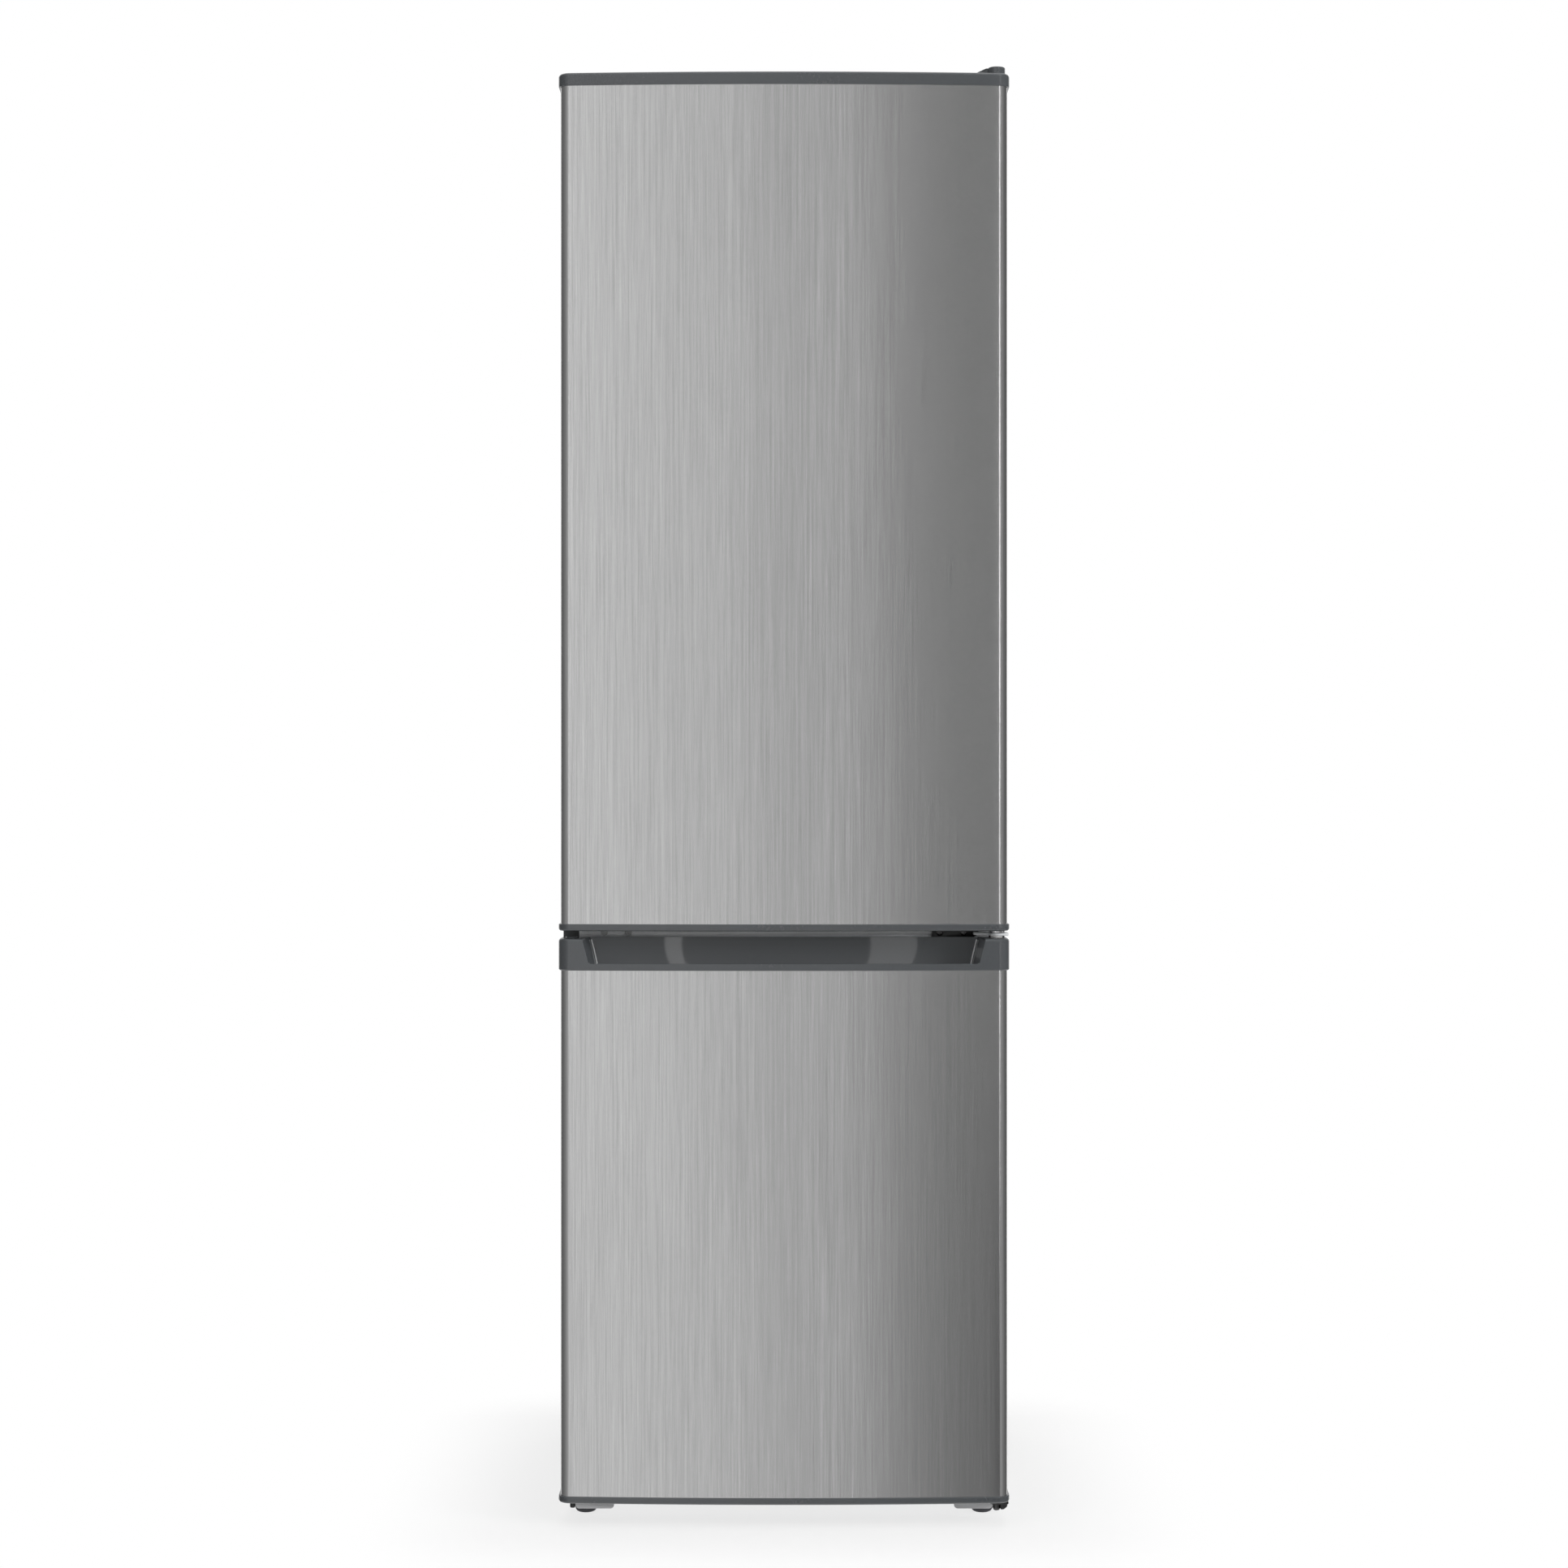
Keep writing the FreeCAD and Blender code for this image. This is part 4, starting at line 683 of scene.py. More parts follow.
@dataclass(frozen=True)
class Finish:
    """Procedural finish of one kind of surface.

    Attributes:
        name: Plain name of the finish.
        colour: Main colour.
        drift_colour: Colour that the pattern drifts to.
        roughness: Least and most roughness.
        cells: Cells of the fine pattern per metre along X, Y and Z.
        relief: Height of the fine pattern in metres.
        drift_cells: Cells of the broad pattern per metre.
        drift_share: Share of the colour that follows the broad pattern.
        metallic: 1 on bare metal.
        specular: Specular level.
        anisotropic: How far gloss is drawn out across the grain.
        ior: Index of refraction.
        subsurface: Weight of the light that goes under the surface.
        subsurface_reach: How far that light goes in metres.
        alpha: Less than 1 on thin clear sheet.
    """
    name: str
    colour: Colour
    drift_colour: Colour
    roughness: tuple[float, float]
    cells: tuple[float, float, float] = (900.0, 900.0, 900.0)
    relief: float = 0.00001
    drift_cells: float = 6.0
    drift_share: float = 0.5
    metallic: float = 0.0
    specular: float = 0.5
    anisotropic: float = 0.0
    ior: float = 1.5
    subsurface: float = 0.0
    subsurface_reach: float = 0.004
    alpha: float = 1.0

    def material(self) -> bpy.types.Material:
        """Build the material, unless there is one of that name.

        A material that the frame brings under the same name is used as it is.

        Returns:
            The material.
        """
        if self.name in bpy.data.materials:
            return bpy.data.materials[self.name]
        material = bpy.data.materials.new(self.name)
        bench = cleared(material)
        place = bench.node("ShaderNodeTexCoord").outputs["Object"]
        grain = bench.group(grain_group(), Place=place, Cells=self.cells)
        drift = bench.group(drift_group(), Place=place, Cells=self.drift_cells).outputs["Drift"]
        fine = bench.math("MULTIPLY", bench.math("ADD", grain.outputs["Coarse"], grain.outputs["Fine"]), 0.5)
        mixed = bench.math("ADD", bench.math("MULTIPLY", drift, self.drift_share),
                           bench.math("MULTIPLY", fine, 1 - self.drift_share))
        bump = bench.node("ShaderNodeBump", {"Strength": 1.0, "Distance": self.relief, "Height": fine})
        shader = bench.node("ShaderNodeBsdfPrincipled", {
            "Base Color": bench.blend(mixed, self.colour, self.drift_colour),
            "Roughness": bench.spread(mixed, *self.roughness), "Normal": bump.outputs[0],
            "Metallic": self.metallic, "Specular IOR Level": self.specular, "IOR": self.ior,
            "Subsurface Weight": self.subsurface, "Subsurface Radius": (self.subsurface_reach,) * 3,
            "Alpha": self.alpha})
        if self.anisotropic:
            tangent = bench.node("ShaderNodeTangent", direction_type="RADIAL", axis="Z")
            bench.feed(shader.inputs["Anisotropic"], self.anisotropic)
            bench.feed(shader.inputs["Tangent"], tangent.outputs[0])
        bench.node("ShaderNodeOutputMaterial", {0: shader.outputs[0]})
        return material


BRUSHED_STEEL = Finish("brushed_door_steel", grey(220), grey(185), (0.15, 0.21), (2000, 2000, 17), 0.0000008,
                       2.0, 0.1, metallic=1.0, anisotropic=0.6)
CAP_PLASTIC = Finish("grey_cap_plastic", grey(86, 6), grey(78, 6), (0.22, 0.3), (1300, 1300, 1300), 0.0000015,
                     specular=0.8)
# Pale like the lightened strip, so that the plugs in the shaded gap between the doors look lit: painted light.
PLUG_PLASTIC_PAINTED_LIGHT = Finish("grey_plug_plastic", grey(196, 2), grey(188, 2), (0.3, 0.4), (2200, 2200, 2200), 0.000003)
RECESS_PLASTIC = Finish("dark_recess_plastic", grey(97, 6), grey(90, 6), (0.01, 0.02), (2600, 2600, 2600),
                        0.0000003)
# Near white, for beads that stand in for the highlight lines on the ends of the handle recess: painted highlight.
HIGHLIGHT_BEAD_PLASTIC = Finish("pale_recess_edge", grey(250, 2), grey(244, 2), (0.2, 0.3), (900, 900, 900), 0.000003)
CABINET_STEEL = Finish("painted_cabinet_steel", grey(72, 3), grey(66, 3), (0.38, 0.5), (420, 420, 420),
                       0.000012)
ZINC_STEEL = Finish("zinc_steel", grey(188), grey(160), (0.28, 0.5), (160, 160, 160), 0.000004, 24.0, 0.7,
                    metallic=1.0)
# Near white, brighter than the grey steel, so that the strip and the hinge leaf in the shaded gap between the doors
# look lit: painted light.
STRIP_STEEL_PAINTED_LIGHT = Finish("painted_strip_steel", grey(250, 4), grey(242, 4), (0.2, 0.28), (700, 700, 700), 0.000004,
                     specular=1.0)
HINGE_STEEL = Finish("black_hinge_steel", grey(44), grey(34), (0.26, 0.42), (900, 900, 900), 0.000008)
BRACKET_STEEL = Finish("bracket_steel", grey(172), grey(154), (0.32, 0.46), (300, 300, 300), 0.000006, 20.0, 0.6,
                       metallic=0.8)
SCREW_STEEL = Finish("screw_steel", grey(196), grey(170), (0.22, 0.4), (800, 800, 800), 0.000004, 90.0, 0.6,
                     metallic=1.0)
DARK_SCREW_STEEL = Finish("dark_screw_steel", grey(96), grey(76), (0.22, 0.4), (800, 800, 800), 0.000004, 90.0,
                          0.6, metallic=1.0)
WASHER_PLASTIC = Finish("nylon_washer", grey(244, -2), grey(236, -4), (0.4, 0.55), subsurface=0.1)
FOOT_PLASTIC = Finish("foot_plastic", grey(40), grey(30), (0.42, 0.6), (1800, 1800, 1800), 0.00001)
LINER_PLASTIC = Finish("white_liner", grey(236, -2), grey(230, -3), (0.26, 0.36), (1400, 1400, 1400), 0.000003)
TRIM_PLASTIC = Finish("white_trim", grey(230), grey(222), (0.3, 0.42), (2200, 2200, 2200), 0.000004)
CLEAR_PLASTIC = Finish("clear_drawer_plastic", grey(244, 2), grey(236, 3), (0.06, 0.14), (1200, 1200, 1200),
                       0.000002, ior=1.49, alpha=0.34)
SHELF_GLASS = Finish("shelf_glass", (0.9, 0.97, 0.94), (0.86, 0.95, 0.91), (0.02, 0.05), (60, 60, 60), 0.000001,
                     ior=1.52, alpha=0.2)
LAMP_GLASS = Finish("lamp_glass", grey(250), grey(244), (0.08, 0.16), (900, 900, 900), 0.000002,
                    ior=1.5, alpha=0.55)
SEAL_RUBBER = Finish("grey_seal_rubber", grey(170), grey(158), (0.5, 0.66), (1800, 1800, 1800), 0.00001)
BLACK_RUBBER = Finish("black_rubber", grey(34), grey(26), (0.6, 0.78), (2200, 2200, 2200), 0.00002)
FOAM = Finish("insulation_foam", grey(222, -34), grey(206, -44), (0.7, 0.88), (700, 700, 700), 0.0002)
BLACK_ENAMEL = Finish("black_enamel", grey(30), grey(22), (0.2, 0.34), (500, 500, 500), 0.00002, 18.0)
COPPER = Finish("copper_pipe", (0.62, 0.29, 0.17), (0.5, 0.2, 0.11), (0.24, 0.42), (240, 240, 240), 0.000004,
                30.0, 0.7, metallic=1.0)
WHITE_ENAMEL = Finish("white_enamel_wire", grey(232), grey(222), (0.3, 0.44), (900, 900, 900), 0.00001)
DARK_PLASTIC = Finish("dark_plastic", grey(36), grey(28), (0.36, 0.5), (2000, 2000, 2000), 0.00001)


def painted(obj: Piece, finish: Finish) -> Piece:
    """Give a mesh its finish before it is joined to others.

    Args:
        obj: The piece.
        finish: Its finish.

    Returns:
        The same piece.
    """
    obj.data.materials.clear()
    obj.data.materials.append(finish.material())
    return obj


# Geometry node trees

def growth_tree(name: str, inputs: dict[str, str]) -> tuple[NodeBench, dict, Socket]:
    """Empty geometry node tree that ends in real geometry with a material.

    Args:
        name: Name of the tree.
        inputs: Socket type of each input name, besides the geometry and the material.

    Returns:
        The bench, the sockets that bring the inputs and the socket that takes the shape.
    """
    tree = bpy.data.node_groups.new(name, "GeometryNodeTree")
    tree.interface.new_socket("Geometry", in_out="OUTPUT", socket_type="NodeSocketGeometry")
    tree.interface.new_socket("Geometry", in_out="INPUT", socket_type="NodeSocketGeometry")
    for label, kind in (inputs | {"Material": "NodeSocketMaterial"}).items():
        tree.interface.new_socket(label, in_out="INPUT", socket_type=kind)
    bench = NodeBench(tree)
    source = bench.node("NodeGroupInput")
    given = {socket.name: socket for socket in source.outputs if socket.name}
    smooth = bench.node("GeometryNodeSetShadeSmooth")
    real = bench.node("GeometryNodeRealizeInstances", {0: smooth.outputs[0]})
    paint = bench.node("GeometryNodeSetMaterial", {0: real.outputs[0], "Material": given["Material"]})
    bench.node("NodeGroupOutput", {0: paint.outputs[0]})
    return bench, given, smooth.inputs[0]


@cache
def tube_tree() -> Tree:
    """Tree that turns a line of corners into a bent round tube.

    Returns:
        The tree.
    """
    bench, given, shape = growth_tree("bent_tube", {"Radius": "NodeSocketFloat", "Bend": "NodeSocketFloat",
                                                    "Bend Steps": "NodeSocketInt", "Sides": "NodeSocketInt"})
    line = bench.node("GeometryNodeMeshToCurve", {"Mesh": given["Geometry"]})
    bent = bench.node("GeometryNodeFilletCurve", {"Curve": line.outputs[0], "Count": given["Bend Steps"],
                                                  "Radius": given["Bend"], "Limit Radius": True}, mode="POLY")
    circle = bench.node("GeometryNodeCurvePrimitiveCircle", {"Resolution": given["Sides"],
                                                             "Radius": given["Radius"]})
    sweep = bench.node("GeometryNodeCurveToMesh", {"Curve": bent.outputs[0], "Profile Curve": circle.outputs[0],
                                                   "Fill Caps": True})
    bench.feed(shape, sweep.outputs[0])
    return bench.tree


@cache
def row_tree() -> Tree:
    """Tree that lays straight round bars in a row.

    Returns:
        The tree.
    """
    bench, given, shape = growth_tree("bar_row", {
        "Count": "NodeSocketInt", "Start": "NodeSocketVector", "Pitch": "NodeSocketVector",
        "Turn": "NodeSocketVector", "Length": "NodeSocketFloat", "Radius": "NodeSocketFloat",
        "Sides": "NodeSocketInt"})
    row = bench.node("GeometryNodeMeshLine", {"Count": given["Count"], "Start Location": given["Start"],
                                              "Offset": given["Pitch"]})
    bar = bench.node("GeometryNodeMeshCylinder", {"Vertices": given["Sides"], "Radius": given["Radius"],
                                                  "Depth": given["Length"]})
    placed = bench.node("GeometryNodeInstanceOnPoints", {"Points": row.outputs[0], "Instance": bar.outputs["Mesh"],
                                                         "Rotation": given["Turn"]})
    bench.feed(shape, placed.outputs[0])
    return bench.tree


@cache
def scatter_tree() -> Tree:
    """Tree that sets copies of a piece on points, each turned to the direction kept with its point.

    Returns:
        The tree.
    """
    bench, given, shape = growth_tree("set_pieces", {"Piece": "NodeSocketObject", "Size": "NodeSocketFloat"})
    piece = bench.node("GeometryNodeObjectInfo", {"Object": given["Piece"]})
    aim = bench.node("GeometryNodeInputNamedAttribute", {"Name": "aim"}, data_type="FLOAT_VECTOR")
    turn = bench.node("FunctionNodeAlignRotationToVector", {"Vector": aim.outputs[0]}, axis="Z")
    placed = bench.node("GeometryNodeInstanceOnPoints", {
        "Points": given["Geometry"], "Instance": piece.outputs["Geometry"], "Rotation": turn.outputs[0],
        "Scale": given["Size"]})
    bench.feed(shape, placed.outputs[0])
    return bench.tree


def grown(name: str, tree: Tree, mesh: bpy.types.Mesh | None, **values: object) -> Piece:
    """Plain mesh that a geometry node tree makes.

    Args:
        name: Name of the piece.
        tree: The tree.
        mesh: Points or lines that it starts from, if any.
        **values: Values of its named inputs, with _ for a space.

    Returns:
        The object.
    """
    obj = linked(name, mesh or bpy.data.meshes.new(name))
    growth = obj.modifiers.new("growth", "NODES")
    growth.node_group = tree
    keys = {item.name: item.identifier for item in tree.interface.items_tree if item.in_out == "INPUT"}
    for label, value in values.items():
        growth[keys[label.replace("_", " ")]] = tuple(value) if isinstance(value, Vector) else value
    settle(obj)
    return obj


def tube(name: str, corners: Sequence[Vector], radius: float, bend: float, finish: Finish,
         sides: int = 14, bend_steps: int = 7) -> Piece:
    """Bent tube through corners.

    Args:
        name: Name of the piece.
        corners: Corners of its middle line.
        radius: Radius of the tube.
        bend: Radius of the bends.
        finish: Its finish.
        sides: Sides of the tube.
        bend_steps: Chords in each bend.

    Returns:
        The object.
    """
    line = bpy.data.meshes.new(name)
    line.from_pydata([tuple(corner) for corner in corners],
                     [(index, index + 1) for index in range(len(corners) - 1)], [])
    return grown(name, tube_tree(), line, Radius=radius, Bend=bend, Bend_Steps=bend_steps, Sides=sides,
                 Material=finish.material())


def bars(name: str, count: int, start: Vector, pitch: Vector, turn: Vector, length: float, radius: float,
         finish: Finish, sides: int = 8) -> Piece:
    """Row of straight round bars, from the middle of the first, each turned from upright."""
    return grown(name, row_tree(), None, Count=count, Start=start, Pitch=pitch, Turn=turn, Length=length,
                 Radius=radius, Sides=sides, Material=finish.material())


def copies(name: str, piece: Piece, spots: Sequence[tuple[Vector, Vector]],
           finish: Finish) -> Piece:
    """Copies of a piece that is drawn about the origin with its axis up.

    Args:
        name: Name of the piece.
        piece: What is copied; it is removed.
        spots: Place and direction of each copy.
        finish: Their finish.

    Returns:
        The object.
    """
    points = bpy.data.meshes.new(name)
    points.from_pydata([tuple(place) for place, _ in spots], [], [])
    aims = points.attributes.new("aim", "FLOAT_VECTOR", "POINT")
    for entry, (_, aim) in zip(aims.data, spots):
        entry.vector = aim
    result = grown(name, scatter_tree(), points, Piece=piece, Size=1.0, Material=finish.material())
    remove(piece)
    result.data.set_sharp_from_angle(angle=math.radians(SHARP_ANGLE))
    return result


@dataclass
class Assembly:
    """Base of the sub-assemblies: dresses the pieces and says what they ride on."""
    body: str = "cabinet"
    foam_gap: float = 0.003

    def add(self, obj: Piece, finish: Finish | None, slot: str, *nodes: str,
            body: str = "") -> Piece:
        """Dress a finished piece, put it on its body and report it.

        Args:
            obj: The piece.
            finish: Its finish, or None where the mesh has its materials already.
            slot: Not used.
            *nodes: Nodes that it stands for.
            body: Body that it rides on, if not that of the sub-assembly.

        Returns:
            The same piece.
        """
        if finish is not None:
            painted(obj, finish)
        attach(obj, body or self.body)
        if nodes:
            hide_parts(*nodes)
        LOG.info("%s: %d faces", obj.name, len(obj.data.polygons))
        return obj

    def refine(self, node: str, finish: Finish, slot: str, radius: float) -> None:
        """Stand in for a node with a copy whose edges are rounded."""
        self.add(refined(node, radius), finish, slot, node)

    def fill(self, node: str) -> None:
        """Stand in for the foam of a node with a copy that stands back from the sheets round it."""
        self.add(shrunk(node, self.foam_gap), FOAM, "foam", node)


# Doors

@dataclass(frozen=True)
class DoorPlan:
    """Plan of a door: bowed front, round front corners and a flat back.

    Attributes:
        half_width: Half of the width.
        front: Front of the bow.
        bow: How far the sides stand behind the middle.
        corner: Radius of the front corners.
        rear: Back plane.
        rear_corner: Radius of the back corners.
    """
    half_width: float
    front: float
    bow: float
    corner: float
    rear: float
    rear_corner: float = 0.0012

    def right_half(self, inset: float, front_steps: int = 24, corner_steps: int = 12) -> Outline:
        """Right half of the plan, from the middle of the front to the back corner.

        Args:
            inset: How far the outline is drawn in.
            front_steps: Chords from the middle to the corner.
            corner_steps: Chords in the corner.

        Returns:
            The points.
        """
        half = self.half_width - inset
        front = self.front + inset
        corner = max(self.corner - inset, LEAST_CORNER)
        rear = self.rear - inset
        big = (half * half + self.bow * self.bow) / (2 * self.bow)
        depth = front + big - math.sqrt((big - corner) ** 2 - (half - corner) ** 2)
        lean = math.degrees(math.atan2(half - corner, front + big - depth))
        points = [(big * math.sin(math.radians(lean * step / front_steps)),
                   front + big - big * math.cos(math.radians(lean * step / front_steps)))
                  for step in range(front_steps)]
        points += arc((half - corner, depth), corner, lean - 90, 0, corner_steps)
        points += arc((half - self.rear_corner, rear - self.rear_corner), self.rear_corner, 0, 90, 3)
        return points

    def outline(self, inset: float = 0.0) -> Outline:
        """Whole plan, drawn in by an inset."""
        right = self.right_half(inset)
        return [(-x, y) for x, y in right[:0:-1]] + right

    def ring(self, height: float, inset: float = 0.0) -> Ring:
        """Plan at a height, drawn in by an inset."""
        return [Vector((x, y, height)) for x, y in self.outline(inset)]

    def rim(self, level: float, radius: float, side: int, steps: int = 6) -> list[Ring]:
        """Rings of a rounded rim, from below upwards.

        Args:
            level: Height of the face that the rim leads to.
            radius: Radius of the rim.
            side: 1 for an upper rim, -1 for a lower one.
            steps: Chords in the round.

        Returns:
            The rings.
        """
        turns = [math.pi / 2 * step / steps for step in range(steps + 1)]
        rings = [self.ring(level - side * radius * (1 - math.sin(turn)), radius * (1 - math.cos(turn)))
                 for turn in turns]
        return rings[::side]


@dataclass
class Door(Assembly):
    """What both doors share: skin, caps, liner and foam; each gasket is built apart."""
    sheet: float = 0.001
    bow: float = 0.009
    skin_corner: float = 0.012
    cap_corner: float = 0.0145
    return_width: float = 0.010
    pin_x: float = 0.260
    pin_y: float = -0.259
    pin_hole_radius: float = 0.0041
    rim: float = 0.004
    small_rim: float = 0.0012
    lower_rim: float = 0.0032
    cap_sharp: float = 50.0
    liner_sheet: float = 0.0015
    liner_corner: float = 0.004

    def plan(self, node: str, corner: float) -> DoorPlan:
        """Plan of the skin or of a cap, with the radius of its front corners."""
        low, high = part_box(node)
        return DoorPlan(high.x, low.y, self.bow, corner, high.y)

    def build_skin(self) -> None:
        """Folded steel skin, open towards the liner."""
        name = self.body + "_skin"
        low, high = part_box(name)
        plan = self.plan(name, self.skin_corner)
        outer = plan.outline()
        inner = plan.outline(self.sheet)
        opening = plan.half_width - self.return_width
        outline = [(-opening, plan.rear)] + outer + [(opening, plan.rear), (opening, plan.rear - self.sheet)]
        outline += inner[::-1] + [(-opening, plan.rear - self.sheet)]
        self.add(prism(name + "_sheet", outline, Axis.Z, low.z, high.z), BRUSHED_STEEL, "door_steel", name)

    def pin_holes(self, low: float, high: float) -> list[Piece]:
        """Cutters for the hinge pin, on the hinge side and on the other."""
        return [rod("pin_hole", self.pin_hole_radius, low, high, Vector((side * self.pin_x, self.pin_y, 0)), steps=32)
                for side in (1, -1)]

    def build_cap(self, node: str, low_round: float, high_round: float) -> None:
        """Moulded end cap with a hole for the pin on both sides.

        Args:
            node: Node of the cap.
            low_round: Radius of the lower rim.
            high_round: Radius of the upper rim.
        """
        low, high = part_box(node)
        plan = self.plan(node, self.cap_corner)
        rings = plan.rim(low.z, low_round, -1) + plan.rim(high.z, high_round, 1)
        reach = high.z - low.z
        cap = loft(node + "_moulding", rings, sharp=self.cap_sharp)
        self.add(carve(cap, *self.pin_holes(low.z - reach, high.z + reach)), CAP_PLASTIC, "cap_plastic", node)

    def liner_form(self, name: str, raised: Pocket, far: float, profile: Outline,
                   radii: Sequence[float]) -> Piece:
        """Thin sheet of a liner that runs into a raised form.

        Args:
            name: Name of the piece.
            raised: Rectangle of the raised form.
            far: How far both faces reach in from the border.
            profile: Inset and depth of the points of the raised form.
            radii: Radius at each of them.

        Returns:
            The piece.
        """
        low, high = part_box(self.body + "_liner")
        sheet = Pocket(Axis.Y, (low.x, low.z), (high.x, high.z), self.liner_corner)
        rings = [sheet.ring(far, low.y), sheet.ring(0, low.y), sheet.ring(0, low.y + self.liner_sheet)]
        rings += [raised.ring(*spot) for spot in round_corners(profile, radii, 5, closed=False)]
        return loft(name, rings)


@dataclass
class Gasket(Assembly):
    """Magnetic seal: foot on the door, pleated bellows, broad head on the cabinet side."""
    width: float = 0.016
    foot_inset: float = 0.002
    foot_height: float = 0.003
    neck_inset: float = 0.004
    pleat: float = 0.0012
    head_height: float = 0.0032
    corner: float = 0.002

    def build(self) -> None:
        """Sweep the profile round the door."""
        node = self.body + "_gasket"
        low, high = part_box(node)
        pocket = Pocket(Axis.Y, (low.x, low.z), (high.x, high.z), self.corner, 3)
        foot, neck, width = self.foot_inset, self.neck_inset, self.width
        foot_top = low.y + self.foot_height
        head = high.y - self.head_height
        fold = (foot_top + head) / 2
        points = [(foot, low.y), (width - foot, low.y), (width - foot, foot_top), (width - neck, foot_top),
                  (width - neck + self.pleat, fold), (width - neck, head), (width, head), (width, high.y),
                  (0, high.y), (0, head), (neck, head), (neck - self.pleat, fold), (neck, foot_top),
                  (foot, foot_top)]
        small = 0.0006
        radii = (small, small, small, small / 2, small, small / 2, small * 2, small * 2, small * 2, small * 2,
                 small / 2, small, small / 2, small)
        self.add(pocket.swept(node + "_seal", round_corners(points, radii, 3), closed=True), SEAL_RUBBER,
                 "seal_rubber", node)


@dataclass
class UpperDoor(Door):
    """Door of the fridge compartment."""
    body: str = "upper_door"
    ring_inset: tuple[float, float, float, float] = (0.2215, 0.759, 0.2215, 1.7155)
    ring_width: float = 0.0215
    ring_corner: float = 0.016
    ring_round: float = 0.005
    ledge_width: float = 0.011
    ledge_height: float = 0.008
    ledge_ends: tuple[float, float] = (-0.215, -0.183)
    tub_taper: float = 0.007
    tub_wall: float = 0.0024
    tub_rim: float = 0.002
    tub_corner: float = 0.014
    tub_fillet: float = 0.008
    tub_lip: float = 0.006

    def build(self) -> None:
        """Make and dress every piece of the door."""
        self.build_skin()
        self.build_cap("upper_door_top_cap", self.small_rim, self.rim)
        self.build_cap("upper_door_bottom_cap", self.lower_rim, self.small_rim)
        self.build_liner()
        self.fill("upper_door_insulation")
        for node in BALCONIES:
            low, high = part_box(node)
            balcony = tub(node + "_tub", low, high, self.tub_taper, self.tub_wall, self.tub_rim, self.tub_corner,
                          self.tub_fillet, self.tub_lip)
            self.add(balcony, CLEAR_PLASTIC, "clear_plastic", node)

    def build_liner(self) -> None:
        """Moulded liner with its raised ring and the ledges of the balconies."""
        low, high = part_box("upper_door_liner")
        left, bottom, right, top = self.ring_inset
        face = low.y + self.liner_sheet
        ring = Pocket(Axis.Y, (-left, bottom), (right, top), self.ring_corner)
        far = left * 0.8
        width = self.ring_width
        profile = [(-0.002, face), (0.0, face + 0.001), (self.ring_round * 0.4, high.y), (width, high.y),
                   (width, face), (far, face)]
        radii = (0, 0.0008, self.ring_round, self.ring_round, self.ring_round, 0)
        pieces = [self.liner_form("liner", ring, far, profile, radii)]
        inner = left - width
        for node in BALCONIES:
            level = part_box(node)[0].z
            ledge = rounded_box("ledge", (inner - self.ledge_width, self.ledge_ends[0], level - self.ledge_height),
                                (inner + 0.001, self.ledge_ends[1], level), 0.0018)
            pieces += [ledge, mirrored(ledge, "ledge_left")]
        self.add(joined("upper_door_moulding", *pieces), LINER_PLASTIC, "liner_plastic", "upper_door_liner")


